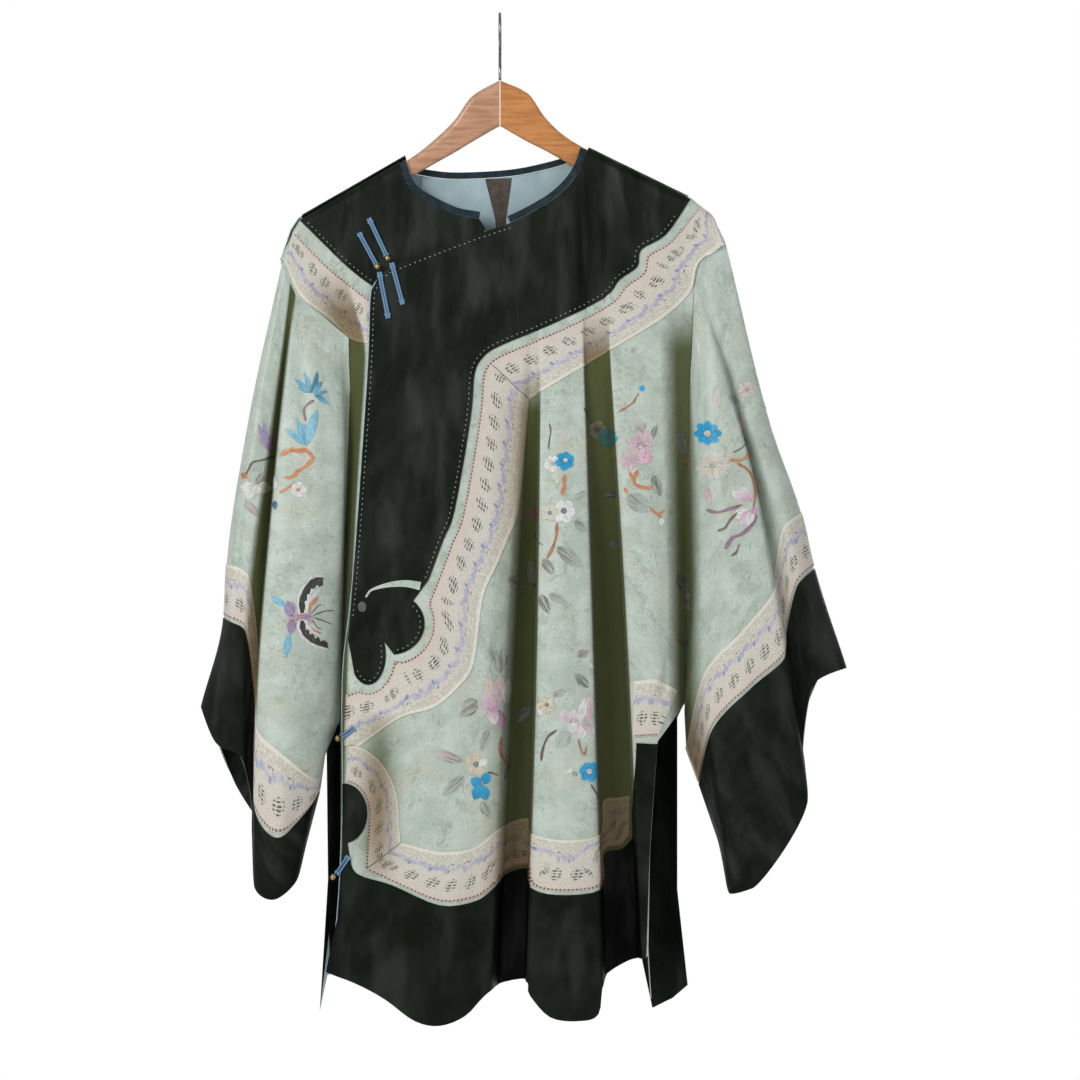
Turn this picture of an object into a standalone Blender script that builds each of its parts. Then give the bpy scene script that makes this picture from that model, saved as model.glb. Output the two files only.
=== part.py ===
"""Side-closing silk jacket with wide sleeves, hung on a wooden hanger.

The origin is the inside top of the hanger's hook, where the whole thing hangs.
Lengths are in millimetres until a mesh is made. The front faces -Y, +Z is up, and
left and right are the wearer's, so the wearer's right side is at -X.
"""
import math

import bmesh
import bpy
import numpy as np
from mathutils import Vector
from mathutils.geometry import delaunay_2d_cdt

MM = 0.001

# Cloth thicknesses and the clearances between pieces
WALL = 1.1
LAID = 1.0
GAP = 0.3
ARMHOLE_GAP = 0.9
BINDING_WIDTH = 7.0
BINDING_PROUD = 0.6
BINDING_GAP = 0.9
UNDER_DEPTH = 3.0

# The hanger's arms sweep forward, and the cloth arches over them
ARM_SWEEP = 8.0
ARM_REACH = 220.0
ARCH_HEIGHT = 12.0
ARCH_FRONT = 10.0
ARCH_BACK = 10.0

# Longest step of a mesh between two fold lines, and heights of the rows of points
FOLD_STEP = 46.0
ARCH_ROWS = (0.0, 2.5, 8.0, 16.0)
SHOULDER_ROWS = (0.3, 0.65, 1.0)
CHEST_Z = -353.0
WAIST_Z = -626.0
HEM_Z = -1054.0
BODY_ROWS = (-485.0, -626.0, -740.0, -850.0, -960.0, -1095.0)

# Crest of the shoulders, seen from the front: name, x, z
SHOULDER_CREST = (
    ("right fall", -236, -268),
    ("right bend", -223, -230),
    ("right point", -215, -218),
    ("right neck", -101, -152),
    ("left neck", 88, -140),
    ("left point", 204, -197),
    ("left bend", 227, -216),
    ("left fall", 243, -250),
)

# Fold lines of the front. Name, x at the crest, chest, waist and hem, then y at chest, waist, hem
FRONT_FOLDS = (
    ("right outer", -236, -222, -186, -206, -6, -4, -12),
    ("right shoulder", -224, -200, -178, -196, -7, -5, -14),
    ("right trough", -215, -163, -170, -186, -8, -6, -16),
    ("placket edge", -186, -141, -158, -168, -18, -30, -32),
    ("placket side", -146, -118, -125, -130, -19, -36, -42),
    ("belly right", -101, -84, -85, -86, -20, -42, -56),
    ("belly middle", -75, -43, -48, -50, -20, -42, -56),
    ("belly left", -32, -6, -14, -27, -19, -38, -48),
    ("belly edge", 2, 24, 8, -12, -19, -35, -42),
    ("first trough right", 14, 34, 20, -2, -18, -8, -6),
    ("first trough left", 36, 41, 38, 27, -18, -5, -5),
    ("first ridge right", 42, 45, 42, 30, -19, -36, -42),
    ("first ridge crown", 63, 67, 70, 70, -20, -42, -56),
    ("first ridge left", 88, 87, 96, 108, -19, -36, -44),
    ("second trough right", 94, 92, 100, 113, -17, -6, -4),
    ("second trough left", 110, 112, 131, 150, -16, -4, -4),
    ("second ridge right", 117, 118, 135, 155, -19, -32, -36),
    ("second ridge crown", 146, 148, 160, 172, -20, -38, -36),
    ("second ridge left", 172, 170, 178, 184, -18, -32, -26),
    ("left trough", 204, 200, 200, 202, -9, -5, -8),
    ("left shoulder", 227, 215, 212, 214, -7, -10, -12),
    ("left outer", 243, 230, 222, 226, -6, -16, -16),
)

# Fold lines of the back, in the same columns
BACK_FOLDS = (
    ("right outer", -236, -222, -186, -206, 6, 4, 10),
    ("right shoulder", -224, -200, -178, -198, 7, 5, 11),
    ("right trough", -215, -163, -170, -190, 8, 6, 12),
    ("first ridge right", -182, -140, -148, -165, 14, 26, 30),
    ("first ridge crown", -143, -115, -118, -128, 18, 36, 48),
    ("first ridge left", -101, -85, -86, -90, 16, 28, 38),
    ("first trough", -80, -62, -62, -60, 13, 12, 14),
    ("middle ridge right", -55, -38, -38, -32, 16, 28, 36),
    ("middle ridge crown", -10, 0, 0, 4, 18, 34, 50),
    ("middle ridge left", 35, 38, 40, 42, 16, 28, 36),
    ("second trough", 62, 62, 66, 72, 13, 12, 14),
    ("last ridge right", 88, 88, 92, 102, 16, 28, 36),
    ("last ridge crown", 122, 122, 128, 140, 18, 36, 46),
    ("last ridge left", 160, 152, 164, 178, 15, 26, 26),
    ("left trough", 204, 200, 200, 202, 9, 5, 4),
    ("left shoulder", 227, 215, 212, 214, 7, 10, 9),
    ("left outer", 243, 230, 222, 226, 6, 16, 14),
)

# Armhole lines, from the silhouette at the shoulder down to the underarm: name, x, z
RIGHT_ARMHOLE = (
    ("silhouette", -234, -262),
    ("band corner", -217, -302),
    ("band middle", -186, -325),
    ("armpit fold", -162, -346),
    ("upper trough", -161, -400),
    ("middle trough", -168, -562),
    ("underarm", -173, -756),
)
LEFT_ARMHOLE = (
    ("silhouette", 240, -245),
    ("band corner", 214, -264),
    ("band middle", 207, -293),
    ("armpit fold", 203, -401),
    ("upper trough", 201, -498),
    ("middle trough", 203, -647),
    ("underarm", 197, -736),
)

# Sleeve folds, from the front armhole round to the back. Name, start along the armhole from the
# armpit fold, then x, z, y at the upper arm, at the top of the ribbon, at the cuff seam and at the end
RIGHT_SLEEVE_FOLDS = (
    ("lobe inner", 0.14, -167, -465, -24, -196, -818, -30, -202, -844, -34, -218, -924, -36),
    ("lobe crown", 0.28, -200, -465, -40, -230, -790, -56, -236, -878, -58, -242, -944, -58),
    ("lobe outer", 0.618, -235, -465, -34, -258, -757, -47, -260, -845, -47, -259, -932, -47),
    ("front gap", 0.70, -239, -468, -14, -258, -690, -29, -261, -762, -30, -264, -852, -31),
    ("strip inner", 0.78, -249, -462, -24, -269, -598, -35, -273, -656, -36, -277, -792, -38),
    ("strip crown", 0.88, -261, -452, -27, -281, -590, -34, -284, -650, -36, -300, -780, -36),
    ("top fold", 1.00, -269, -440, -8, -291, -587, -8, -294, -645, -8, -318, -740, -6),
    ("back outer", 0.84, -258, -455, 16, -276, -615, 22, -282, -672, 26, -303, -778, 30),
    ("back ridge", 0.618, -240, -465, 30, -258, -680, 42, -266, -745, 46, -288, -818, 50),
    ("back trough", 0.45, -216, -470, 11, -238, -735, 12, -245, -798, 12, -258, -862, 12),
    ("back inner", 0.28, -186, -468, 28, -212, -775, 40, -217, -826, 42, -230, -892, 44),
)
RIGHT_UNDERSEAM = ("underseam", 0.0, -173, -756, 0, -189, -794, -6, -194, -830, -10, -210, -892, -14)
LEFT_SLEEVE_FOLDS = (
    ("lobe inner", 0.16, 213, -500, -28, 219, -704, -40, 226, -766, -44, 247, -938, -46),
    ("lobe crown", 0.44, 238, -492, -44, 256, -660, -56, 266, -720, -58, 268, -932, -58),
    ("lobe outer", 0.636, 262, -470, -38, 290, -617, -50, 302, -687, -52, 326, -840, -50),
    ("front gap", 0.74, 266, -474, -16, 293, -600, -29, 305, -668, -31, 323, -790, -32),
    ("strip inner", 0.811, 275, -455, -26, 303, -546, -35, 317, -610, -37, 335, -714, -38),
    ("top fold", 1.00, 288, -438, -9, 321, -533, -9, 335, -593, -8, 369, -699, -6),
    ("back outer", 0.811, 276, -456, 18, 308, -560, 26, 322, -618, 30, 349, -702, 34),
    ("back ridge", 0.636, 256, -470, 34, 286, -620, 46, 299, -684, 50, 317, -780, 54),
    ("back trough", 0.42, 240, -480, 12, 266, -680, 12, 277, -745, 12, 296, -860, 12),
    ("back inner", 0.20, 219, -490, 30, 238, -716, 40, 246, -775, 44, 262, -890, 46),
)
LEFT_UNDERSEAM = ("underseam", 0.0, 197, -736, 0, 200, -784, -4, 214, -822, -6, 238, -892, -10)
SLEEVE_ROWS = (3, 4, 2, 2)
CUFF_SEAM = 0.94

# Edges of the neck, without their ends at the crest: name, x, z
OVER_NECK = (
    ("closing corner", 8, -216),
    ("collarbone", 27, -207),
    ("inner curve", 51, -193),
    ("outer curve", 68, -178),
    ("side of neck", 79, -162),
    ("left neck", 86, -144),
)
UNDER_NECK = (
    ("right neck", -101, -156),
    ("side of neck", -93, -177),
    ("outer curve", -79, -190),
    ("inner curve", -47, -206),
    ("closing corner", -21, -211),
)
BACK_NECK = (
    ("right neck", -95, -161),
    ("right curve", -78, -165),
    ("middle right", -46, -168),
    ("middle left", 10, -165),
    ("left curve", 51, -157),
    ("left neck", 81, -148),
)

# Closing edge of the overlap, from the neck down to the hem: name, x, z
CLOSING_EDGE = (
    ("neck", 9, -224.5),
    ("upper bow", -36, -240),
    ("middle bow", -101, -265),
    ("first frog", -123, -275),
    ("corner", -135, -290),
    ("placket top", -139, -308),
    ("chest", -142, -390),
    ("waist", -157, -609),
    ("underarm", -167, -708),
    ("slit", -167, -840),
    ("slit foot", -173, -966),
    ("hem corner", -185, -1023),
)

# Lower edge of the front, from right to left: name, x, z
FRONT_HEM = (
    ("right corner", -185, -1023),
    ("right rise", -154, -1034),
    ("belly start", -121, -1051),
    ("belly low", -90, -1073),
    ("belly lowest", -64, -1078),
    ("belly end", -38, -1068),
    ("belly rise", -16, -1046),
    ("trough start", -2, -1036),
    ("trough end", 29, -1031),
    ("ridge start", 33, -1046),
    ("ridge low", 54, -1069),
    ("ridge lowest", 84, -1073),
    ("ridge end", 104, -1066),
    ("second trough", 110, -1031),
    ("left rise", 136, -1012),
    ("left corner", 156, -1007),
)
FRONT_LEFT_SLIT = (
    ("hem", 158, -1004),
    ("foot", 160, -893),
    ("middle", 164, -832),
    ("top", 168, -776),
)

# Lower edge of the back with its low corners, from right to left: name, x, z
BACK_HEM = (
    ("right corner", -193, -1066),
    ("right notch", -185, -1028),
    ("right rise", -140, -1018),
    ("right ridge", -118, -1024),
    ("middle right", -60, -1014),
    ("middle ridge", 4, -1024),
    ("middle left", 72, -1012),
    ("left ridge", 128, -1016),
    ("left notch", 154, -1010),
    ("left corner", 164, -1064),
    ("left slope", 184, -1052),
    ("left edge", 199, -1038),
)
BACK_LEFT_SLIT = (("foot", 187, -936), ("middle", 174, -850), ("top", 178, -776))
BACK_RIGHT_SLIT = (("top", -175, -790), ("middle", -176, -880), ("foot", -183, -985))

# Edge of the black satin on the overlap, from the left shoulder to the cloud: name, x, z
YOKE_EDGE = (
    ("shoulder", 203, -199),
    ("upper slope", 177, -236),
    ("step outer", 151, -252),
    ("step inner", 147, -270),
    ("second step", 128, -284),
    ("second drop", 112, -303),
    ("long slope", 59, -330),
    ("corner outer", 2, -354),
    ("corner", -17, -366),
    ("placket top", -27, -385),
    ("placket", -31, -431),
    ("placket bow", -48, -530),
    ("placket low", -60, -562),
    ("neck of cloud", -75, -603),
)
UPPER_LOBE = {"x": -116, "z": -651, "across": 36, "high": 33}
LOWER_LOBE = {"x": -140, "z": -684, "across": 19, "high": 32}

# The ribbon beside the black satin: its outer, lace edge. Name, x, z
RIBBON_OUTER = (
    ("silhouette", 238, -246),
    ("band corner", 212, -266),
    ("band middle", 204, -295),
    ("armpit", 182, -318),
    ("slope", 158, -335),
    ("long slope", 86, -378),
    ("mitre", 30, -412),
    ("placket top", 26, -450),
    ("placket", 17, -533),
    ("placket low", -2, -585),
    ("lobe top", -18, -622),
    ("lobe side", -28, -692),
    ("lobe low", -44, -718),
    ("lobe foot", -70, -740),
    ("second foot", -106, -751),
    ("stub", -150, -782),
)
RIBBON_CLEAR = 9.0

# The black satin and the ribbon of the under front: name, x, z
UNDER_YOKE_LOW = (
    ("shoulder", -215, -219),
    ("upper", -186, -248),
    ("middle", -162, -271),
    ("closing corner", -134, -292),
    ("below overlap", -100, -310),
)
UNDER_RIBBON = (
    ("silhouette", -220, -234),
    ("inner upper", -182, -272),
    ("inner lower", -141, -304),
    ("below overlap", -118, -320),
    ("outer lower", -138, -352),
    ("armpit", -160, -347),
    ("band middle", -184, -324),
    ("band corner", -214, -300),
    ("outer silhouette", -230, -263),
)

# Top edge of the black hem on the front, from right to left: name, x, z
HEM_TOP = (
    ("slit", -160, -896),
    ("right", -152, -917),
    ("belly right", -114, -929),
    ("belly", -64, -950),
    ("belly left", -27, -946),
    ("belly edge", -10, -935),
    ("trough", 6, -919),
    ("trough end", 30, -913),
    ("ridge start", 33, -931),
    ("ridge", 60, -939),
    ("ridge end", 108, -933),
    ("second trough", 111, -898),
    ("left rise", 130, -892),
    ("left slit border", 142, -880),
)
HEM_RIBBON_CLEAR = 4.0
HEM_RIBBON_TOP = (
    ("slit ribbon", -104, -884),
    ("belly", -64, -893),
    ("belly left", -28, -889),
    ("belly edge", 0, -868),
    ("trough end", 30, -859),
    ("ridge start", 34, -874),
    ("ridge", 70, -881),
    ("ridge end", 107, -874),
    ("second trough", 110, -841),
    ("left rise", 128, -837),
    ("left slit border", 139, -835),
)
SLIT_LOBE = {"x": -166, "z": -853, "across": 25, "high": 32}
SLIT_RIBBON = {"inner": 33, "outer": 55, "squash": 1.2, "from": 84, "to": -16}

# The back: lower edge of the black yoke and outer edge of its ribbon. Name, x, z
BACK_YOKE_LOW = (
    ("right shoulder", -212, -219),
    ("right slope", -162, -262),
    ("right cloud", -108, -300),
    ("middle", -6, -318),
    ("left cloud", 96, -300),
    ("left slope", 150, -262),
    ("left shoulder", 202, -199),
)
BACK_RIBBON_OUTER = (
    ("right silhouette", -231, -260),
    ("right corner", -214, -299),
    ("right middle", -184, -322),
    ("right slope", -168, -334),
    ("right cloud", -108, -356),
    ("middle", -6, -372),
    ("left cloud", 96, -358),
    ("left slope", 158, -337),
    ("left armpit", 182, -318),
    ("left middle", 204, -295),
    ("left corner", 211, -266),
    ("left silhouette", 236, -245),
)
BACK_BORDER_TOP = (
    ("right slit", -150, -792),
    ("right corner", -148, -900),
    ("right ridge", -118, -910),
    ("first trough", -60, -902),
    ("middle ridge", 4, -911),
    ("second trough", 70, -900),
    ("left ridge", 124, -904),
    ("left corner", 148, -894),
    ("left slit", 146, -778),
)

BACK_RIBBON_TOP = (
    ("right slit", -98, -793),
    ("right corner", -100, -846),
    ("first trough", -60, -848),
    ("middle ridge", 4, -857),
    ("second trough", 70, -846),
    ("left corner", 98, -842),
    ("left slit", 93, -780),
)

# Lining and facing seen in the neck, and the foot of the under front: name, x, z
RIGHT_LINING = (
    ("top outer", -84, -173),
    ("top middle", -46, -176),
    ("top inner", -16, -175),
    ("low inner", -5, -219),
    ("foot inner", -5, -262),
    ("foot outer", -90, -262),
)
NECK_FACING = (
    ("top right", -15.4, -175),
    ("top left", 12.4, -174),
    ("low left", 6, -219),
    ("foot left", 6, -262),
    ("foot right", -4.4, -262),
    ("low right", -4.4, -219),
)
LEFT_LINING = (
    ("top inner", 13, -174),
    ("top outer", 54, -165.5),
    ("side", 82, -156),
    ("foot outer", 88, -262),
    ("foot inner", 6.6, -262),
    ("low inner", 6.6, -219),
)
UNDER_SLIT = (("top", -172, -790), ("middle", -172, -880), ("foot", -174, -960))
UNDER_EDGE = (("foot", -168, -1000), ("foot inner", -50, -1010), ("waist", -40, -640), ("neck", -15, -230))
LEFT_STUB = (
    ("upper inner", 143, -712),
    ("lower inner", 143, -772),
    ("lower outer", 168, -770),
    ("upper outer", 188, -722),
    ("ridge", 166, -710),
)

# Frogs: name, upper end x and z, lower end x and z, lift of its under face, button at which end
FROGS = (
    ("neck_1_strand", -140, -219, -121, -258, -0.3, "lower"),
    ("neck_1_loop", -114, -270, -104, -310, 2.7, "none"),
    ("neck_2_strand", -150, -234, -132, -268, -0.3, "lower"),
    ("neck_2_loop", -127, -281, -119, -325, 2.7, "none"),
    ("slit_1_loop", -155, -762, -165, -771, 2.7, "end"),
    ("slit_2_loop", -160, -899, -171, -918, 2.7, "end"),
)
FROG_WIDTH = 4.4
FROG_THICK = 1.8
BUTTON_RADIUS = 3.5

# Hanger arms: name, distance out, top and bottom of the right arm, top and bottom of the left arm
HANGER_SECTIONS = (
    ("mitre", 0.4, -70, -119, -70, -119),
    ("crown side", 30, -87, -136, -84, -136),
    ("neck", 48, -112, -147, -109, -145),
    ("arm start", 66, -130, -157, -127, -155),
    ("shoulder", 92, -151, -172, -143.5, -170),
    ("middle", 155, -187.3, -209, -173.9, -200),
    ("tip", 203, -216.5, -233, -199, -219),
    ("end", 209, -221, -231, -204, -215),
)
ARM_SECTION = (("crest", 1.0, 0.0), ("brow", 3.8, 3.6), ("cheek", 5.2, 9.0))
HOOK_WIRE_RADIUS = 1.6
HOOK_BEND_RADIUS = 17.0
HOOK_FOOT_Z = -69.7
HOOK_TIP_DROP = 12.0

# How near a cut point is drawn to a fold line or row, in steps of the sheet's own grid,
# how far in mm a cut edge may leave its straight line, and how much longer a row's step counts
SNAP = 0.01
STRAIGHT = 0.5
ROW_STRETCH = 3.0


def clear_scene():
    for old in list(bpy.data.objects):
        bpy.data.objects.remove(old, do_unlink=True)


def material(name, colour, roughness, metallic=0.0):
    made = bpy.data.materials.new(name)
    made.use_nodes = True
    shader = made.node_tree.nodes["Principled BSDF"]
    shader.inputs["Base Color"].default_value = (*colour, 1.0)
    shader.inputs["Roughness"].default_value = roughness
    shader.inputs["Metallic"].default_value = metallic
    return made


def places(rows):
    """The x and z of each row of a table whose last two columns they are."""
    return [(row[-2], row[-1]) for row in rows]


def blend(stations, values, at):
    """A smooth line through the values that never swings past them."""
    slopes = np.diff(values) / np.diff(stations)
    ends = np.zeros(len(values))
    ends[0], ends[-1] = slopes[0], slopes[-1]
    for k in range(1, len(values) - 1):
        if slopes[k - 1] * slopes[k] > 0:
            ends[k] = 2 * slopes[k - 1] * slopes[k] / (slopes[k - 1] + slopes[k])
    k = int(np.clip(np.searchsorted(stations, at) - 1, 0, len(values) - 2))
    step = stations[k + 1] - stations[k]
    t = (at - stations[k]) / step
    if t < 0:
        return values[0] + ends[0] * (at - stations[0])
    if t > 1:
        return values[-1] + ends[-1] * (at - stations[-1])
    rise = values[k + 1] - values[k]
    return values[k] + rise * t * t * (3 - 2 * t) + step * (
        ends[k] * t * (1 - t) ** 2 - ends[k + 1] * t * t * (1 - t)
    )


def along(path, share):
    """The point at a share of a path's length."""
    steps = [math.dist(a, b) for a, b in zip(path, path[1:])]
    left = share * sum(steps)
    for (a, b), step in zip(zip(path, path[1:]), steps):
        if left <= step:
            return tuple(p + (q - p) * left / step for p, q in zip(a, b))
        left -= step
    return tuple(path[-1])


def beside(path, distance):
    """A path moved sideways: to its left as it runs, seen from the front."""
    moved = []
    for k, (x, z) in enumerate(path):
        before = path[max(k - 1, 0)]
        after = path[min(k + 1, len(path) - 1)]
        run = math.dist(before, after)
        moved.append((x - (after[1] - before[1]) / run * distance,
                      z + (after[0] - before[0]) / run * distance))
    return moved


def rounded(path, steps=2):
    """A path with points added along a curve through its own."""
    line = [Vector(p) for p in path]
    line = [line[0] * 2 - line[1]] + line + [line[-1] * 2 - line[-2]]
    made = []
    for a, b, c, d in zip(line, line[1:], line[2:], line[3:]):
        for k in range(steps):
            t = k / steps
            made.append(tuple(0.5 * (2 * b + (c - a) * t + (2 * a - 5 * b + 4 * c - d) * t * t
                                     + (3 * b - a - 3 * c + d) * t ** 3)))
    return made + [tuple(path[-1])]


def oval(lobe, start, end, steps):
    """Part of an oval, between two angles in degrees, anticlockwise from +X."""
    turns = [math.radians(start + (end - start) * k / steps) for k in range(steps + 1)]
    return [(lobe["x"] + lobe["across"] * math.cos(a), lobe["z"] + lobe["high"] * math.sin(a))
            for a in turns]


class Cloth:
    """A sheet given by rows of points. Its outside is where its lift is positive."""

    def __init__(self, rows, outside):
        self.points = np.array(rows, dtype=float)
        normals = np.cross(self.runs(1), self.runs(0)) * outside
        length = np.linalg.norm(normals, axis=2, keepdims=True)
        self.normals = normals / np.maximum(length, 1e-9)
        self.down_count, self.across_count = self.points.shape[0] - 1, self.points.shape[1] - 1

    def runs(self, axis):
        """The way the sheet runs at each point: the mean of the steps before and after it."""
        steps = np.diff(self.points, axis=axis)
        steps = steps / np.maximum(np.linalg.norm(steps, axis=2, keepdims=True), 1e-9)
        first, last = np.take(steps, [0], axis), np.take(steps, [-1], axis)
        return np.concatenate((first, steps), axis) + np.concatenate((steps, last), axis)

    def corners(self, u, v):
        """The three grid points round a place, with their shares."""
        i = min(max(int(math.floor(u + 1e-9)), 0), self.across_count - 1)
        j = min(max(int(math.floor(v + 1e-9)), 0), self.down_count - 1)
        s, t = u - i, v - j
        if s >= t:
            return ((j, i, 1 - s), (j, i + 1, s - t), (j + 1, i + 1, t))
        return ((j, i, 1 - t), (j + 1, i, t - s), (j + 1, i + 1, s))

    def at(self, u, v, lift):
        place = np.zeros(3)
        for j, i, share in self.corners(u, v):
            place += share * (self.points[j, i] + lift * self.normals[j, i])
        return place

    def normal(self, u, v):
        total = sum(share * self.normals[j, i] for j, i, share in self.corners(u, v))
        return total / np.linalg.norm(total)

    def find(self, x, z):
        """Where on the sheet a place seen from the front is."""
        if not hasattr(self, "flat"):
            plain = self.points[:, :, (0, 2)]
            a, b, c, d = plain[:-1, :-1], plain[:-1, 1:], plain[1:, 1:], plain[1:, :-1]
            self.flat = ((a, b, c), (a, d, c))
        best = (-1e9, 0.0, 0.0)
        for half, (a, b, c) in enumerate(self.flat):
            ab, ac = b - a, c - a
            to = np.array((x, z)) - a
            area = ab[..., 0] * ac[..., 1] - ab[..., 1] * ac[..., 0]
            area = np.where(np.abs(area) < 1e-9, 1e-9, area)
            q = (to[..., 0] * ac[..., 1] - to[..., 1] * ac[..., 0]) / area
            r = (ab[..., 0] * to[..., 1] - ab[..., 1] * to[..., 0]) / area
            worst = np.minimum(np.minimum(q, r), 1 - q - r)
            j, i = np.unravel_index(np.argmax(worst), worst.shape)
            if worst[j, i] > best[0]:
                q, r = q[j, i], r[j, i]
                u, v = (q + r, r) if half == 0 else (r, q + r)
                best = (worst[j, i], i + u, j + v)
        return (min(max(best[1], 0.0), self.across_count), min(max(best[2], 0.0), self.down_count))


def finish_piece(name, mesh, finish, smooth=True):
    """An object from a bmesh in millimetres."""
    bmesh.ops.scale(mesh, vec=(MM, MM, MM), verts=mesh.verts)
    data = bpy.data.meshes.new(name)
    mesh.to_mesh(data)
    mesh.free()
    data.materials.append(finish)
    if smooth:
        data.shade_smooth()
        data.set_sharp_from_angle(angle=math.radians(40))
    made = bpy.data.objects.new(name, data)
    bpy.context.scene.collection.objects.link(made)
    return made


def straight(cloth, outline):
    """The places on a sheet of an outline, with points added to keep its edges straight from the front."""
    def between(a, b, start, end, depth):
        middle = ((a[0] + b[0]) / 2, (a[1] + b[1]) / 2)
        place = cloth.at((start[0] + end[0]) / 2, (start[1] + end[1]) / 2, 0.0)
        if depth == 0 or math.dist(middle, (place[0], place[2])) < STRAIGHT:
            return []
        spot = cloth.find(*middle)
        return (between(a, middle, start, spot, depth - 1) + [spot]
                + between(middle, b, spot, end, depth - 1))

    spots = [cloth.find(x, z) for x, z in outline]
    made = []
    for k, start in enumerate(spots):
        n = (k + 1) % len(spots)
        made += [start] + between(outline[k], outline[n], start, spots[n], 3)
    return made


def thicken(name, cloth, spots, faces, low, high, finish):
    """A closed wall over part of a sheet, from its places and faces on the sheet."""
    wall = bmesh.new()
    inner = [wall.verts.new(cloth.at(u, v, low)) for u, v in spots]
    outer = [wall.verts.new(cloth.at(u, v, high)) for u, v in spots]
    sides = {}
    for face in faces:
        wall.faces.new([outer[k] for k in face])
        wall.faces.new([inner[k] for k in reversed(face)])
        for a, b in zip(face, face[1:] + face[:1]):
            sides[(a, b)] = True
    for a, b in sides:
        if (b, a) not in sides:
            wall.faces.new((outer[b], outer[a], inner[a], inner[b]))
    bmesh.ops.triangulate(wall, faces=wall.faces)
    bmesh.ops.recalc_face_normals(wall, faces=wall.faces)
    return finish_piece(name, wall, finish)


def cut(name, cloth, outline, low, high, finish):
    """A piece of cloth cut to an outline seen from the front and laid on a sheet."""
    corners = straight(cloth, outline)
    turn = sum(a[0] * b[1] - b[0] * a[1] for a, b in zip(corners, corners[1:] + corners[:1]))
    if turn < 0:
        corners.reverse()
    count = len(corners)
    first_u, first_v = (int(math.floor(min(place[k] for place in corners))) for k in (0, 1))
    last_u, last_v = (int(math.ceil(max(place[k] for place in corners))) for k in (0, 1))
    nodes = {}
    for j in range(first_v, last_v + 1):
        for i in range(first_u, last_u + 1):
            nodes[(i, j)] = count + len(nodes)
    edges = [(nodes[a], nodes[b]) for a in nodes
             for b in ((a[0] + 1, a[1]), (a[0], a[1] + 1), (a[0] + 1, a[1] + 1)) if b in nodes]
    coords = [Vector((u, v * ROW_STRETCH)) for u, v in corners + list(nodes)]
    spots, _, faces, _, _, owners = delaunay_2d_cdt(coords, edges, [list(range(count))], 0, SNAP, True)
    faces = [list(face) for face, owner in zip(faces, owners) if owner]
    used = sorted({k for face in faces for k in face})
    place = {k: n for n, k in enumerate(used)}
    return thicken(name, cloth, [(spots[k].x, spots[k].y / ROW_STRETCH) for k in used],
                   [[place[k] for k in face] for face in faces], low, high, finish)


def crest_z(x):
    rows = places(SHOULDER_CREST)
    return float(np.interp(x, [row[0] for row in rows], [row[1] for row in rows]))


def crest_y(x):
    return -ARM_SWEEP * (min(abs(x), ARM_REACH) / ARM_REACH) ** 2


def body_sheet(folds, facing, arch):
    """The front or the back as one draped sheet, from its table of fold lines."""
    columns = []
    for left, right in zip(folds, folds[1:]):
        steps = math.ceil(max(b - a for a, b in zip(left[1:5], right[1:5])) / FOLD_STEP)
        columns += [(left, right, k / steps) for k in range(steps)]
    columns.append((folds[-2], folds[-1], 1.0))
    names = [row[0] for row in folds]
    spots = [names.index(left[0]) + share for left, right, share in columns]

    def row_of(value_of):
        values = [value_of(fold) for fold in folds]
        return [blend(list(range(len(folds))), values, spot) for spot in spots]

    stations = (-CHEST_Z, -WAIST_Z, -HEM_Z)
    crest = row_of(lambda fold: fold[1])
    chest_x = row_of(lambda fold: fold[2])
    chest_y = row_of(lambda fold: fold[5])
    rows = []
    for drop in ARCH_ROWS:
        arc = arch * math.sqrt(1 - (1 - min(drop / ARCH_HEIGHT, 1.0)) ** 2)
        row = []
        for x, x_low, y_low in zip(crest, chest_x, chest_y):
            share = drop / (crest_z(x) - CHEST_Z)
            row.append((x + (x_low - x) * share,
                        (crest_y(x) + facing * (arc + 0.2)) * (1 - share) + y_low * share,
                        crest_z(x) - drop))
        rows.append(row)
    for part in SHOULDER_ROWS:
        row = []
        for x, x_low, y_low in zip(crest, chest_x, chest_y):
            drop = ARCH_ROWS[-1] + (crest_z(x) - CHEST_Z - ARCH_ROWS[-1]) * part
            share = drop / (crest_z(x) - CHEST_Z)
            row.append((x + (x_low - x) * share,
                        (crest_y(x) + facing * (arch + 0.2)) * (1 - share) + y_low * share,
                        crest_z(x) - drop))
        rows.append(row)
    for z in BODY_ROWS:
        xs = row_of(lambda fold: blend(stations, fold[2:5], min(-z, -HEM_Z)))
        ys = row_of(lambda fold: blend(stations, fold[5:8], min(-z, -HEM_Z)))
        rows.append([(x, y, z) for x, y in zip(xs, ys)])
    return Cloth(rows, facing)


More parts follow.
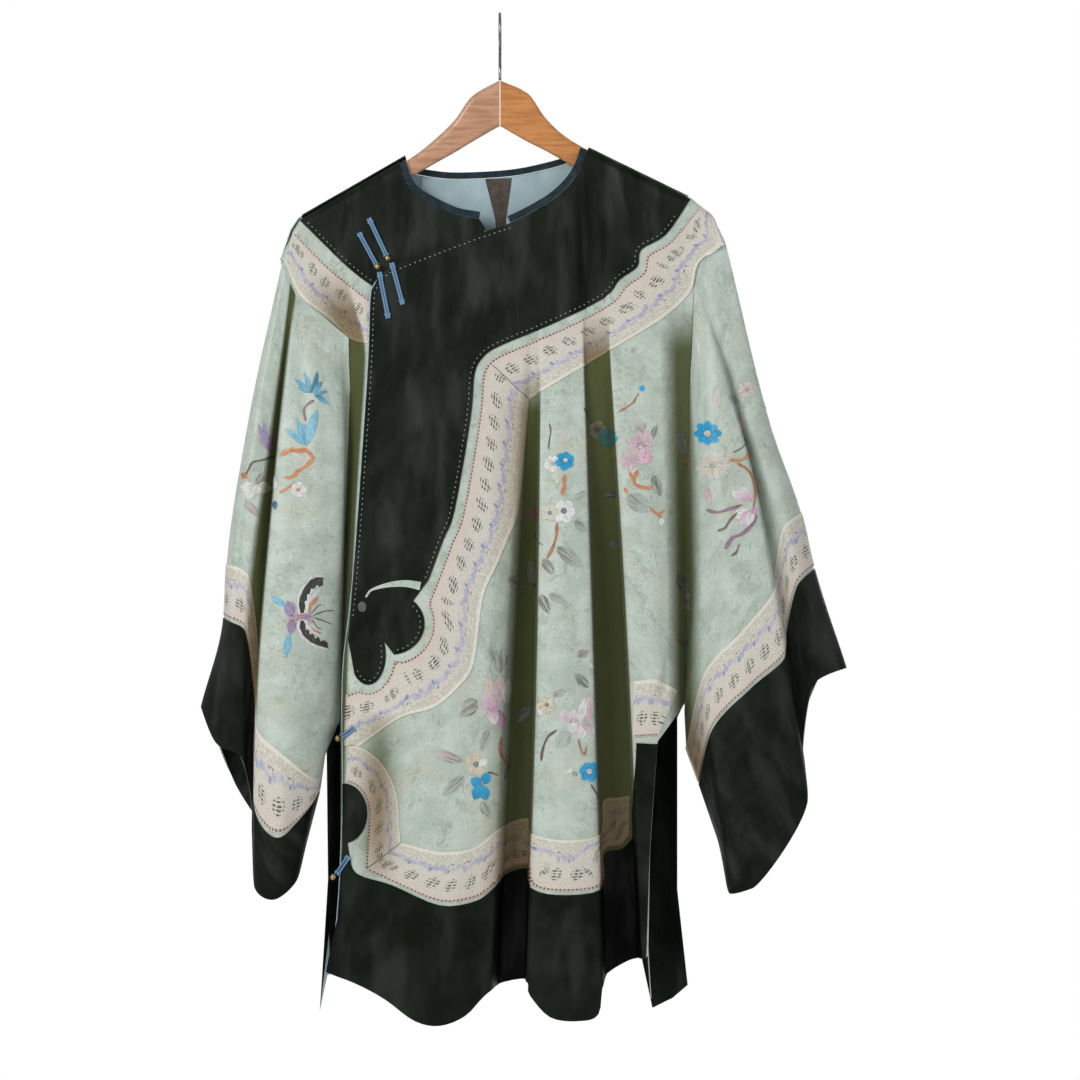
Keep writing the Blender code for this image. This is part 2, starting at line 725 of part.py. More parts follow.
def sleeve_sheet(side, folds, underseam, armhole, front, back, front_lift):
    """A sleeve as one tube, open along the armhole as far as the underarm."""
    line = places(armhole)
    shoulder = list(reversed(line[:4]))
    drop = line[3:]
    upper = SLEEVE_ROWS[0] + SLEEVE_ROWS[1]

    def from_body(body, place, lift):
        u, v = body.find(*place)
        point = body.at(u, v, lift)
        normal = body.normal(u, v)
        return point, normal

    def shifted(point, away):
        return point + np.array((away[0], 0.0, away[1])) * ARMHOLE_GAP

    columns = []
    edge_normals = []
    names = [fold[0] for fold in folds]
    top = names.index("top fold")
    for number, fold in enumerate(folds):
        body, lift = (front, front_lift) if number <= top else (back, 0.0)
        start, normal = from_body(body, along(shoulder, fold[1]), lift)
        away = (0.75 * side, -0.66) if fold[1] > 0.3 else (side * 0.95, -0.3)
        edge_normals.append(normal)
        stops = [shifted(start, away)] + [np.array((x, y, z)) for x, z, y in
                                          (fold[2:5], fold[5:8], fold[8:11], fold[11:14])]
        columns.append(stops)
    rows_at = [k + step / count for k, count in enumerate(SLEEVE_ROWS) for step in range(count)] + [4.0]
    rows_at[upper + 1] = 2 + CUFF_SEAM

    def smooth_column(stops):
        lengths = [0.0]
        for a, b in zip(stops, stops[1:]):
            lengths.append(lengths[-1] + float(np.linalg.norm(b - a)))
        made = []
        for at in rows_at:
            k = min(int(at), 3)
            length = lengths[k] + (lengths[k + 1] - lengths[k]) * (at - k)
            made.append(np.array([blend(lengths, [stop[axis] for stop in stops], length)
                                  for axis in range(3)]))
        return made

    grid = [smooth_column(stops) for stops in columns]
    seam = [np.array((x, y, z)) for x, z, y in (underseam[5:8], underseam[8:11], underseam[11:14])]
    low = [seam[0], seam[0] + (seam[1] - seam[0]) * CUFF_SEAM, seam[1], (seam[1] + seam[2]) / 2, seam[2]]
    edges = []
    seam_normals = []
    for body, lift in ((front, front_lift), (back, 0.0)):
        spots = [from_body(body, along(drop, k / upper * 0.995), lift) for k in range(upper)]
        edges.append([shifted(point, (side, 0.0)) for point, _ in spots] + low)
        seam_normals.append([normal for _, normal in spots])
    grid = [edges[0]] + grid + [edges[1]]

    wide = []
    for number, (a, b) in enumerate(zip(grid, grid[1:])):
        span = max(float(np.linalg.norm(p - q)) for p, q in zip(a, b))
        steps = math.ceil(span / (FOLD_STEP * 1.3))
        wide += [number + k / steps for k in range(steps)]
    wide.append(len(grid) - 1.0)
    numbers = list(range(len(grid)))
    rows = []
    for j in range(len(rows_at)):
        values = [column[j] for column in grid]
        line = np.interp if j == 0 else lambda spot, at, heights: blend(at, heights, spot)
        rows.append([[line(spot, numbers, [p[axis] for p in values])
                      for axis in range(3)] for spot in wide])
    sheet = Cloth(rows, -side)
    for j in range(upper):
        sheet.normals[j, 0] = seam_normals[0][j]
        sheet.normals[j, -1] = seam_normals[1][j]
    tops = [seam_normals[0][0]] + edge_normals + [seam_normals[1][0]]
    for i, spot in enumerate(wide):
        normal = np.array([np.interp(spot, numbers, [top[axis] for top in tops]) for axis in range(3)])
        sheet.normals[0, i] = normal / np.linalg.norm(normal)
    for j in range(upper, len(rows_at)):
        joined = sheet.normals[j, 0] + sheet.normals[j, -1]
        sheet.normals[j, 0] = sheet.normals[j, -1] = joined / np.linalg.norm(joined)
    return sheet, upper, wide.index(top + 1.0)


def sleeve_half(name, sheet, columns, low, high, finish, welded_from):
    """The front or back half of a sleeve, a seam's clearance short of the top fold and the underseam."""
    first, last = columns
    spots = []
    for j in range(sheet.down_count + 1):
        for i in range(first, last + 1):
            u = float(i)
            meets = i not in (0, sheet.across_count) or j >= welded_from
            if i in columns and meets:
                inward = 1 if i == first else -1
                run = np.linalg.norm(sheet.points[j, i + inward] - sheet.points[j, i])
                u += inward * GAP / 2 / run
            spots.append((u, float(j)))
    wide = last - first + 1
    faces = []
    for j in range(sheet.down_count):
        for i in range(wide - 1):
            a = j * wide + i
            faces.append([a, a + 1, a + wide + 1])
            faces.append([a, a + wide + 1, a + wide])
    return thicken(name, sheet, spots, faces, low, high, finish)


def sleeve_wall(name, sheet, first, last, low, high, finish, welded_from):
    """All round a sleeve between two of its rows."""
    across = sheet.across_count
    spots = [(float(i), float(j)) for j in range(first, last + 1) for i in range(across + 1)]

    def index(i, j):
        if i == across and j >= welded_from:
            i = 0
        return (j - first) * (across + 1) + i

    faces = []
    for j in range(first, last):
        for i in range(across):
            a, b, c, d = index(i, j), index(i + 1, j), index(i + 1, j + 1), index(i, j + 1)
            faces.append([a, b, c])
            faces.append([a, c, d])
    used = sorted({k for face in faces for k in face})
    place = {k: n for n, k in enumerate(used)}
    return thicken(name, sheet, [spots[k] for k in used],
                   [[place[k] for k in face] for face in faces], low, high, finish)


def loft(name, rings, finish, smooth=True):
    """A closed solid through rings of points, capped at both ends."""
    mesh = bmesh.new()
    made = [[mesh.verts.new(p) for p in ring] for ring in rings]
    count = len(rings[0])
    for a, b in zip(made, made[1:]):
        for k in range(count):
            n = (k + 1) % count
            mesh.faces.new((a[k], a[n], b[n], b[k]))
    mesh.faces.new(list(reversed(made[0])))
    mesh.faces.new(made[-1])
    bmesh.ops.triangulate(mesh, faces=mesh.faces)
    bmesh.ops.recalc_face_normals(mesh, faces=mesh.faces)
    return finish_piece(name, mesh, finish, smooth)


def make_hanger(wood, steel):
    for name, side, top, bottom in (("hanger_arm_right", -1, 2, 3), ("hanger_arm_left", 1, 4, 5)):
        rings = []
        for row in HANGER_SECTIONS:
            x = row[1] * side
            high = row[top]
            low = row[bottom]
            y = crest_y(x)
            depth = high - low
            upper = [(wide, high - down * min(1.0, depth / 24)) for _, wide, down in ARM_SECTION]
            lower = [(4.6, low + 2.5), (2.5, low)]
            half = upper + lower
            ring = [(x, y + wide, z) for wide, z in half]
            ring += [(x, y - wide, z) for wide, z in reversed(half)]
            rings.append(ring)
        loft(name, rings, wood)
    bend = Vector((0.0, 0.0, HOOK_WIRE_RADIUS - HOOK_BEND_RADIUS))
    route = [Vector((0, 0, HOOK_FOOT_Z)), Vector((0, 0, HOOK_FOOT_Z + 12)), Vector((0, 5, -47)),
             Vector((0, HOOK_BEND_RADIUS, -32))]
    for k in range(9):
        turn = math.radians(22.5 * k)
        route.append(bend + Vector((0, math.cos(turn), math.sin(turn))) * HOOK_BEND_RADIUS)
    route.append(Vector((0, -HOOK_BEND_RADIUS + 1, bend.z - HOOK_TIP_DROP)))
    rings = []
    for k, place in enumerate(route):
        ahead = (route[min(k + 1, len(route) - 1)] - route[max(k - 1, 0)]).normalized()
        side = Vector((1, 0, 0))
        across = ahead.cross(side)
        rings.append([place + (side * math.cos(a) + across * math.sin(a)) * HOOK_WIRE_RADIUS
                      for a in (math.tau * n / 8 for n in range(8))])
    loft("hanger_hook", rings, steel)


def make_overlap(front, silk, satin, ribbon, binding):
    """The overlap, from the left armhole to the closing edge, with what lies on it."""
    neck = places(OVER_NECK)
    below_binding = rounded(beside(neck, -BINDING_WIDTH - BINDING_GAP))
    closing = places(CLOSING_EDGE)
    hem = list(reversed(places(FRONT_HEM)))
    slit = list(reversed(places(FRONT_LEFT_SLIT)))
    crest = [(95, -143.4), (204, -197), (227, -216)]
    cut("front_over", front, crest + places(LEFT_ARMHOLE) + slit + hem
        + list(reversed(closing))[1:] + below_binding, 0.0, WALL, silk)
    cut("neck_binding_over", front, rounded(neck) + list(reversed(rounded(beside(neck, -BINDING_WIDTH)))),
        -BINDING_PROUD, WALL + GAP + LAID + BINDING_PROUD, binding)

    low, high = WALL + GAP, WALL + GAP + LAID
    edge = rounded(places(YOKE_EDGE))
    cloud = oval(UPPER_LOBE, 48, -84, 7) + oval(LOWER_LOBE, 26, -140, 7)
    placket = [place for place in beside(closing, 0.5) if place[1] > -620]
    placket.append((-160.5, -668))
    cut("yoke_over", front, [(95, -143.8), (150, -171)] + edge + cloud
        + list(reversed(placket)) + below_binding, low, high, satin)

    wider = {"x": UPPER_LOBE["x"], "z": UPPER_LOBE["z"],
             "across": UPPER_LOBE["across"] + RIBBON_CLEAR, "high": UPPER_LOBE["high"] + RIBBON_CLEAR}
    lower = {"x": LOWER_LOBE["x"], "z": LOWER_LOBE["z"],
             "across": LOWER_LOBE["across"] + RIBBON_CLEAR, "high": LOWER_LOBE["high"] + RIBBON_CLEAR}
    inner = rounded(beside(places(YOKE_EDGE), RIBBON_CLEAR))[1:]
    around = oval(wider, 30, -72, 6) + oval(lower, -8, -110, 4)
    cut("ribbon_yoke_over", front, [(213, -208)] + inner + around + [(-163, -727), (-165, -781)]
        + list(reversed(places(RIBBON_OUTER))) + [(226, -217)], low, high, ribbon)

    top = places(HEM_TOP)
    cut("border_front", front, list(reversed(oval(SLIT_LOBE, -80, 84, 8))) + top
        + [(146, -778), (164, -780), (162, -832), (158.5, -893)] + hem
        + [(-172, -966), (-166.5, -893), (-166.5, -822)], low, high, satin)
    cut("ribbon_hem_front", front, [(x, z + HEM_RIBBON_CLEAR) for x, z in top[2:-1]] + [(138, -878)]
        + list(reversed(places(HEM_RIBBON_TOP))), low, high, ribbon)
    turn = [math.radians(SLIT_RIBBON["from"] + (SLIT_RIBBON["to"] - SLIT_RIBBON["from"]) * k / 6)
            for k in range(7)]
    rings = []
    for radius in (SLIT_RIBBON["inner"], SLIT_RIBBON["outer"]):
        rings.append([(SLIT_LOBE["x"] + radius * math.cos(a),
                       SLIT_LOBE["z"] + radius * SLIT_RIBBON["squash"] * math.sin(a)) for a in turn])
    cut("ribbon_slit_right", front, rings[0] + list(reversed(rings[1])), low, high, ribbon)
    cut("ribbon_slit_left", front, places(LEFT_STUB), low, high, ribbon)


def make_under_front(front, silk, satin, ribbon, binding):
    """The right front, which passes below the overlap."""
    neck = places(UNDER_NECK)
    below_binding = rounded(beside(neck, -BINDING_WIDTH - BINDING_GAP))
    crest = [(-110, -157.2), (-215, -218), (-223, -230)]
    armhole = places(RIGHT_ARMHOLE)
    low = -UNDER_DEPTH
    cut("front_under", front, crest + armhole + places(UNDER_SLIT) + places(UNDER_EDGE)
        + list(reversed(below_binding)), low, low + WALL, silk)
    cut("neck_binding_under", front, rounded(neck)
        + list(reversed(rounded(beside(neck, -BINDING_WIDTH)))),
        low - BINDING_PROUD, low + WALL + GAP + LAID + BINDING_PROUD, binding)
    low += WALL + GAP
    cut("yoke_under", front, crest[:1] + places(UNDER_YOKE_LOW) + places(UNDER_EDGE)[-1:]
        + list(reversed(below_binding)), low, low + LAID, satin)
    cut("ribbon_yoke_under", front, places(UNDER_RIBBON), low, low + LAID, ribbon)


def make_back(back, silk, satin, ribbon, binding, lining):
    """The back with its yoke, ribbons, border and the lining seen in the neck."""
    neck = places(BACK_NECK)
    below_binding = rounded(beside(neck, -BINDING_WIDTH - BINDING_GAP))
    right_side = list(reversed(places(BACK_RIGHT_SLIT))) + list(reversed(places(RIGHT_ARMHOLE)))
    left_side = list(reversed(places(BACK_LEFT_SLIT)))
    cut("back", back, [(-223, -230), (-215, -218), (-101, -152)] + below_binding
        + [(95, -143.4), (204, -197), (227, -216)] + places(LEFT_ARMHOLE) + left_side
        + list(reversed(places(BACK_HEM))) + right_side, 0.0, WALL, silk)
    cut("neck_binding_back", back, rounded(neck) + list(reversed(rounded(beside(neck, -BINDING_WIDTH)))),
        -GAP - LAID, WALL + GAP + LAID + BINDING_PROUD, binding)
    low, high = WALL + GAP, WALL + GAP + LAID
    edge = places(BACK_YOKE_LOW)
    cut("yoke_back", back, [(-210, -215.5), (-102, -153)] + below_binding + [(96, -144.2), (200, -195.5)]
        + list(reversed(rounded(edge)))[1:-1], low, high, satin)
    cut("ribbon_yoke_back", back, rounded(beside(edge, -RIBBON_CLEAR))[1:-1]
        + list(reversed(places(BACK_RIBBON_OUTER))), low, high, ribbon)
    top = places(BACK_BORDER_TOP)
    cut("border_back", back, top + [(170, -779)] + left_side[1:] + list(reversed(places(BACK_HEM)))
        + list(reversed(places(BACK_RIGHT_SLIT))), low, high, satin)
    cut("ribbon_hem_back", back, beside(top, HEM_RIBBON_CLEAR) + list(reversed(places(BACK_RIBBON_TOP))),
        low, high, ribbon)
    for name, part, finish in (("lining_neck_right", RIGHT_LINING, lining),
                               ("facing_neck", NECK_FACING, binding),
                               ("lining_neck_left", LEFT_LINING, lining)):
        cut(name, back, places(part), -GAP - LAID, -GAP, finish)


def make_sleeve(side_name, sheet, welded_from, fold_column, silk, satin, ribbon):
    """A sleeve in two halves, with the ribbon and the black cuff round it."""
    last = sheet.down_count
    for half, columns in (("front", (0, fold_column)), ("back", (fold_column, sheet.across_count))):
        sleeve_half("sleeve_" + side_name + "_" + half, sheet, columns, 0.0, WALL, silk, welded_from)
    low, high = WALL + GAP, WALL + GAP + LAID
    sleeve_wall("ribbon_sleeve_" + side_name, sheet, welded_from, welded_from + 1, low, high,
                ribbon, welded_from)
    sleeve_wall("cuff_" + side_name, sheet, welded_from + 2, last, low, high, satin, welded_from)


def make_frogs(front, cord, brass):
    """Cord frogs at the neck and at the right slit, with ball buttons."""
    for name, x_high, z_high, x_low, z_low, lift, button in FROGS:
        path = [(x_high, z_high), ((x_high + x_low) / 2, (z_high + z_low) / 2), (x_low, z_low)]
        half = FROG_WIDTH / 2
        cut("frog_" + name, front, beside(path, half) + list(reversed(beside(path, -half))),
            lift, lift + FROG_THICK, cord)
        if button == "none":
            continue
        run = math.dist((x_high, z_high), (x_low, z_low))
        ahead = BUTTON_RADIUS + GAP if button == "end" else 0.0
        spot = (x_low + (x_low - x_high) / run * ahead, z_low + (z_low - z_high) / run * ahead)
        under = WALL + LAID if button == "end" else lift + FROG_THICK
        raised = under + GAP + BUTTON_RADIUS
        centre = front.at(*front.find(*spot), raised)
        ball = bmesh.new()
        bmesh.ops.create_uvsphere(ball, u_segments=10, v_segments=6, radius=BUTTON_RADIUS)
        bmesh.ops.translate(ball, vec=Vector(centre), verts=ball.verts)
        finish_piece("button_" + name.rsplit("_", 1)[0], ball, brass)


def make_jacket():
    silk = material("celadon_silk", (0.58, 0.66, 0.58), 0.42)
    satin = material("black_satin", (0.018, 0.019, 0.015), 0.38)
    ribbon = material("woven_ribbon", (0.74, 0.66, 0.58), 0.6)
    binding = material("teal_binding", (0.012, 0.032, 0.042), 0.5)
    lining = material("blue_lining", (0.40, 0.56, 0.62), 0.7)
    cord = material("blue_cord", (0.10, 0.22, 0.38), 0.55)
    brass = material("button_brass", (0.45, 0.33, 0.14), 0.3, 1.0)
    front = body_sheet(FRONT_FOLDS, -1, ARCH_FRONT)
    back = body_sheet(BACK_FOLDS, 1, ARCH_BACK)
    make_overlap(front, silk, satin, ribbon, binding)
    make_under_front(front, silk, satin, ribbon, binding)
    make_back(back, silk, satin, ribbon, binding, lining)
    for side_name, side, folds, underseam, armhole, lift in (
            ("right", -1, RIGHT_SLEEVE_FOLDS, RIGHT_UNDERSEAM, RIGHT_ARMHOLE, -UNDER_DEPTH),
            ("left", 1, LEFT_SLEEVE_FOLDS, LEFT_UNDERSEAM, LEFT_ARMHOLE, 0.0)):
        sheet, welded_from, fold_column = sleeve_sheet(side, folds, underseam, armhole, front, back, lift)
        make_sleeve(side_name, sheet, welded_from, fold_column, silk, satin, ribbon)
    make_frogs(front, cord, brass)


clear_scene()
make_hanger(material("hanger_wood", (0.52, 0.27, 0.13), 0.45),
            material("hook_wire", (0.35, 0.35, 0.36), 0.3, 1.0))
make_jacket()
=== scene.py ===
import math

import bmesh
import bpy
import numpy as np
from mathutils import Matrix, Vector
from mathutils.geometry import delaunay_2d_cdt


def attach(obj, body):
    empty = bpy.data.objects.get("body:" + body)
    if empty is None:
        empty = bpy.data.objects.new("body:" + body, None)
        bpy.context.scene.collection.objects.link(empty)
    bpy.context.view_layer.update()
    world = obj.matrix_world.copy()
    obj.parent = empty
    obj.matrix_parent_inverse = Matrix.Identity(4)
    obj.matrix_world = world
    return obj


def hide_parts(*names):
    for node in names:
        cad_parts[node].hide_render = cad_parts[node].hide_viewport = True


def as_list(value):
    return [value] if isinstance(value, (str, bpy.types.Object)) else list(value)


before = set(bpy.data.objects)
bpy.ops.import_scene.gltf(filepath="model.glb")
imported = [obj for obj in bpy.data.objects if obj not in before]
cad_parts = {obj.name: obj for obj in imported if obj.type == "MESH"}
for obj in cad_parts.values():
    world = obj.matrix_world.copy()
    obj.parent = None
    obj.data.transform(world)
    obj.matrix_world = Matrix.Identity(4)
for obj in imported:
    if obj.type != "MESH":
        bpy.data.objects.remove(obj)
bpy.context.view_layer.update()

# The studio: white all round, soft light from the left front with a weaker one from the right,
# a pale floor far below the hem, and a camera square to the front from a long way off.
MM = 0.001
VIEW_SCALE = 1.07
VIEW_CENTRE = (540, 540)
VIEW_HOOK = (500, 15)
PICTURE_SIDE = 1080
CAMERA_AWAY = 8.0
SENSOR = 36.0
FLOOR_Z = -1.35
FLOOR_RADIUS = 2.3

scene = bpy.context.scene
scene.view_settings.view_transform = "Standard"
root = "root"


def seen(x, y):
    """The x and z in millimetres of a place in the square picture, whose sides count 1080."""
    return ((x - VIEW_HOOK[0]) * VIEW_SCALE, (VIEW_HOOK[1] - y) * VIEW_SCALE)


def node(tree, kind, values=None, **settings):
    """A node with its settings, and its inputs set or linked."""
    made = tree.nodes.new(kind)
    for name, value in settings.items():
        setattr(made, name, value)
    for name, value in (values or {}).items():
        socket = made.inputs[name]
        if isinstance(value, bpy.types.NodeSocket):
            tree.links.new(value, socket)
        else:
            socket.default_value = value
    return made


camera_data = bpy.data.cameras.new("camera")
camera_data.sensor_width = SENSOR
camera_data.lens = SENSOR * CAMERA_AWAY / (PICTURE_SIDE * VIEW_SCALE * MM)
camera_data.clip_end = 60
camera = bpy.data.objects.new("camera", camera_data)
middle = seen(*VIEW_CENTRE)
camera.location = (middle[0] * MM, -CAMERA_AWAY, middle[1] * MM)
camera.rotation_euler = (math.radians(90), 0, 0)
scene.collection.objects.link(camera)
scene.camera = camera

room = bpy.data.worlds.new("white_room")
room.use_nodes = True
room.node_tree.nodes.clear()
backdrop = node(room.node_tree, "ShaderNodeBackground", {"Color": (1, 1, 1, 1), "Strength": 1.0})
daylight = node(room.node_tree, "ShaderNodeBackground", {"Color": (0.94, 0.97, 1.0, 1), "Strength": 0.50})
direct = node(room.node_tree, "ShaderNodeLightPath")
either = node(room.node_tree, "ShaderNodeMixShader", {0: direct.outputs["Is Camera Ray"],
                                                      1: daylight.outputs[0], 2: backdrop.outputs[0]})
node(room.node_tree, "ShaderNodeOutputWorld", {"Surface": either.outputs[0]})
scene.world = room

for name, place, aim, size, power in (
        ("key", (-1.9, -2.3, 0.8), (0.0, 0.0, -0.6), 1.4, 62.0),
        ("fill", (2.2, -2.2, -0.3), (0.0, 0.0, -0.6), 1.8, 18.0),
        ("rear", (0.6, 2.6, 0.4), (0.0, 0.0, -0.6), 2.0, 40.0)):
    light = bpy.data.lights.new(name, "AREA")
    light.size = size
    light.energy = power
    lamp = bpy.data.objects.new(name, light)
    lamp.location = place
    lamp.rotation_euler = (Vector(aim) - Vector(place)).to_track_quat("-Z", "Y").to_euler()
    scene.collection.objects.link(lamp)


def principled(name, colour, roughness, metallic=0.0):
    """A material, with its node tree and its shader."""
    made = bpy.data.materials.new(name)
    made.use_nodes = True
    shader = made.node_tree.nodes["Principled BSDF"]
    shader.inputs["Base Color"].default_value = (*colour, 1)
    shader.inputs["Roughness"].default_value = roughness
    shader.inputs["Metallic"].default_value = metallic
    made.diffuse_color = (*colour, 1)
    return made, made.node_tree, shader


floor_mesh = bmesh.new()
bmesh.ops.create_circle(floor_mesh, cap_ends=True, segments=64, radius=FLOOR_RADIUS)
bmesh.ops.translate(floor_mesh, vec=(0, 0, FLOOR_Z), verts=floor_mesh.verts)
floor_data = bpy.data.meshes.new("floor")
floor_mesh.to_mesh(floor_data)
floor_mesh.free()
floor_data.materials.append(principled("floor_paint", (0.82, 0.82, 0.81), 0.9)[0])
floor = bpy.data.objects.new("floor", floor_data)
scene.collection.objects.link(floor)


# The wooden hanger: two arms of varnished wood, mitred at the crown and swept a little forward,
# which carry the shoulders. The right arm is painted paler than the left: one wood, with painted
# light on the right arm and painted shade on the left.
ARM_SWEEP = 8.0
ARM_REACH = 220.0
HANGER_SECTIONS = (
    ("mitre", 0.4, -70, -119, -70, -119),
    ("crown side", 30, -87, -136, -84, -136),
    ("neck", 48, -112, -147, -109, -145),
    ("arm start", 66, -130, -157, -127, -155),
    ("shoulder", 92, -151, -172, -143.5, -170),
    ("middle", 155, -187.3, -209, -173.9, -200),
    ("tip", 203, -216.5, -233, -199, -219),
    ("end", 209, -221, -231, -204, -215),
)
ARM_PROFILE = (
    ("crest", 0.8, 0.0),
    ("brow", 2.6, 1.1),
    ("upper", 3.9, 3.4),
    ("cheek", 4.8, 6.4),
    ("side", 5.2, 10.0),
)
ARM_UNDER = (("side", 5.1, 5.5), ("lower", 4.4, 2.4), ("edge", 3.0, 0.7), ("keel", 0.9, 0.0))


def smooth(stations, values, at):
    """A smooth line through a table's values that never swings past them."""
    stations = np.asarray(stations, float)
    values = np.asarray(values, float).reshape(len(stations), -1)
    steps = np.diff(stations)[:, None]
    slopes = np.diff(values, axis=0) / steps
    ends = np.zeros_like(values)
    ends[0], ends[-1] = slopes[0], slopes[-1]
    before, after = slopes[:-1], slopes[1:]
    level = before * after > 0
    ends[1:-1] = np.where(level, 2 * before * after / np.where(level, before + after, 1.0), 0.0)
    at = np.atleast_1d(np.asarray(at, float))
    k = np.clip(np.searchsorted(stations, at) - 1, 0, len(stations) - 2)
    t = np.clip((at[:, None] - stations[k, None]) / steps[k], 0.0, 1.0)
    rise = values[k + 1] - values[k]
    return values[k] + rise * t * t * (3 - 2 * t) + steps[k] * (
        ends[k] * t * (1 - t) ** 2 - ends[k + 1] * t * t * (1 - t))


def crest_y(x):
    return -ARM_SWEEP * (np.minimum(np.abs(x), ARM_REACH) / ARM_REACH) ** 2


def piece(name, points, faces, finishes, corner_uv=None, which=None, crisp=45):
    """A mesh object from points in millimetres, with its finishes and its own map."""
    mesh = bpy.data.meshes.new(name)
    mesh.from_pydata([tuple(p) for p in np.asarray(points, float) * MM], [], faces)
    for finish in finishes:
        mesh.materials.append(finish)
    if which is not None:
        mesh.polygons.foreach_set("material_index", which)
    if corner_uv is not None:
        layer = mesh.uv_layers.new(name="cloth")
        layer.data.foreach_set("uv", np.asarray(corner_uv, np.float32).ravel())
    mesh.shade_smooth()
    mesh.set_sharp_from_angle(angle=math.radians(crisp))
    mesh.update()
    made = bpy.data.objects.new(name, mesh)
    scene.collection.objects.link(made)
    return made


def hold(made, slot, *nodes):
    """The piece hangs with the whole and stands for its solids. The slot is not used."""
    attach(made, root)
    if nodes:
        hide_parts(*nodes)
    return made


def ringed(name, rings, finish, lengths=None, crisp=45):
    """A closed solid through rings of points in millimetres, with a map round and along it."""
    rings = np.asarray(rings, float)
    count, around = rings.shape[:2]
    if lengths is None:
        centres = rings.mean(axis=1)
        lengths = np.concatenate(([0.0], np.cumsum(np.linalg.norm(np.diff(centres, axis=0), axis=1))))
    points = np.concatenate((rings.reshape(-1, 3), [rings[0].mean(axis=0), rings[-1].mean(axis=0)]))
    faces, corner_uv = [], []
    for k in range(count - 1):
        for n in range(around):
            m = (n + 1) % around
            faces.append((k * around + n, k * around + m, (k + 1) * around + m, (k + 1) * around + n))
            low, high = lengths[k] * MM, lengths[k + 1] * MM
            here, there = n / around, (n + 1) / around
            corner_uv += [(here, low), (there, low), (there, high), (here, high)]
    last = (count - 1) * around
    for n in range(around):
        m = (n + 1) % around
        faces.append((m, n, count * around))
        faces.append((last + n, last + m, count * around + 1))
        corner_uv += [(m / around, 0), (n / around, 0), (0.5, 0)]
        corner_uv += [(n / around, lengths[-1] * MM), (m / around, lengths[-1] * MM), (0.5, lengths[-1] * MM)]
    made = piece(name, points, faces, [finish], corner_uv, crisp=crisp)
    work = bmesh.new()
    work.from_mesh(made.data)
    bmesh.ops.recalc_face_normals(work, faces=work.faces)
    work.to_mesh(made.data)
    work.free()
    return made


def mix(tree, share, first, second):
    """The colour between two colours."""
    made = tree.nodes.new("ShaderNodeMix")
    made.data_type = "RGBA"
    for socket, value in ((0, share), (6, first), (7, second)):
        if isinstance(value, bpy.types.NodeSocket):
            tree.links.new(value, made.inputs[socket])
        else:
            made.inputs[socket].default_value = value if socket == 0 else (*value, 1)
    return made.outputs[2]


def reckon(tree, how, *values):
    """The result of a sum on numbers."""
    return node(tree, "ShaderNodeMath", dict(enumerate(values)), operation=how).outputs[0]


def between(tree, value, low, high, start=0.0, end=1.0):
    """A value spread from one range to another, softly and within its ends."""
    return node(tree, "ShaderNodeMapRange", {"Value": value, "From Min": low, "From Max": high,
                                             "To Min": start, "To Max": end},
                interpolation_type="SMOOTHSTEP").outputs[0]


def noise(tree, where, scale, detail=3.0, roughness=0.5):
    return node(tree, "ShaderNodeTexNoise", {"Vector": where, "Scale": scale, "Detail": detail,
                                             "Roughness": roughness}).outputs["Fac"]


def bumped(tree, shader, height, strength, distance):
    relief = node(tree, "ShaderNodeBump", {"Height": height, "Strength": strength, "Distance": distance})
    tree.links.new(relief.outputs[0], shader.inputs["Normal"])


def wood(name, pale, dark, slope):
    """Varnished wood with its grain along an arm that slopes down from the crown."""
    made, tree, shader = principled(name, pale, 0.38)
    place = node(tree, "ShaderNodeTexCoord").outputs["Object"]
    turned = node(tree, "ShaderNodeMapping", {"Vector": place, "Rotation": (0, math.radians(slope), 0),
                                              "Scale": (6, 60, 60)}).outputs[0]
    streaks = noise(tree, turned, 5.0, 6.0, 0.6)
    pores = noise(tree, turned, 34.0, 3.0, 0.6)
    colour = mix(tree, between(tree, streaks, 0.38, 0.66), pale, dark)
    colour = mix(tree, between(tree, pores, 0.56, 0.72, 0.0, 0.35), colour, (0.16, 0.07, 0.03))
    tree.links.new(colour, shader.inputs["Base Color"])
    tree.links.new(between(tree, streaks, 0.3, 0.7, 0.30, 0.46), shader.inputs["Roughness"])
    shader.inputs["Coat Weight"].default_value = 0.25
    shader.inputs["Coat Roughness"].default_value = 0.25
    bumped(tree, shader, pores, 0.12, 0.0006)
    return made


def hanger_arm(name, side, top, bottom, finish):
    table = np.array([row[1:] for row in HANGER_SECTIONS], float)
    reach = np.concatenate((np.linspace(0.4, 203, 46), (206, 208.2, 209)))
    sizes = smooth(table[:, 0], table[:, (top, bottom)], reach)
    rings = []
    for out, (high, low) in zip(reach, sizes):
        y = crest_y(out)
        squeeze = 1.0 if out < 204 else 1.0 - 0.5 * ((out - 204) / 5) ** 2
        scale = min(1.0, (high - low) / 16.5)
        half = [(wide * squeeze, high - down * scale) for _, wide, down in ARM_PROFILE]
        half += [(wide * squeeze, low + up * scale) for _, wide, up in ARM_UNDER]
        ring = [(out * side, y + wide, z) for wide, z in half]
        ring += [(out * side, y - wide, z) for wide, z in reversed(half)]
        rings.append(ring)
    return ringed(name, rings, finish, crisp=60)


# One wood in two tones: the paler right arm is painted light, the more orange left arm painted shade.
painted_lit_wood = wood("hanger_wood_painted_lit", (0.50, 0.27, 0.16), (0.36, 0.17, 0.085), -30)
painted_shaded_wood = wood("hanger_wood_painted_shade", (0.56, 0.235, 0.065), (0.42, 0.15, 0.035), 30)
hold(hanger_arm("hanger_right_wood", -1, 1, 2, painted_lit_wood), "hanger_wood", "hanger_arm_right")
hold(hanger_arm("hanger_left_wood", 1, 3, 4, painted_shaded_wood), "hanger_wood", "hanger_arm_left")


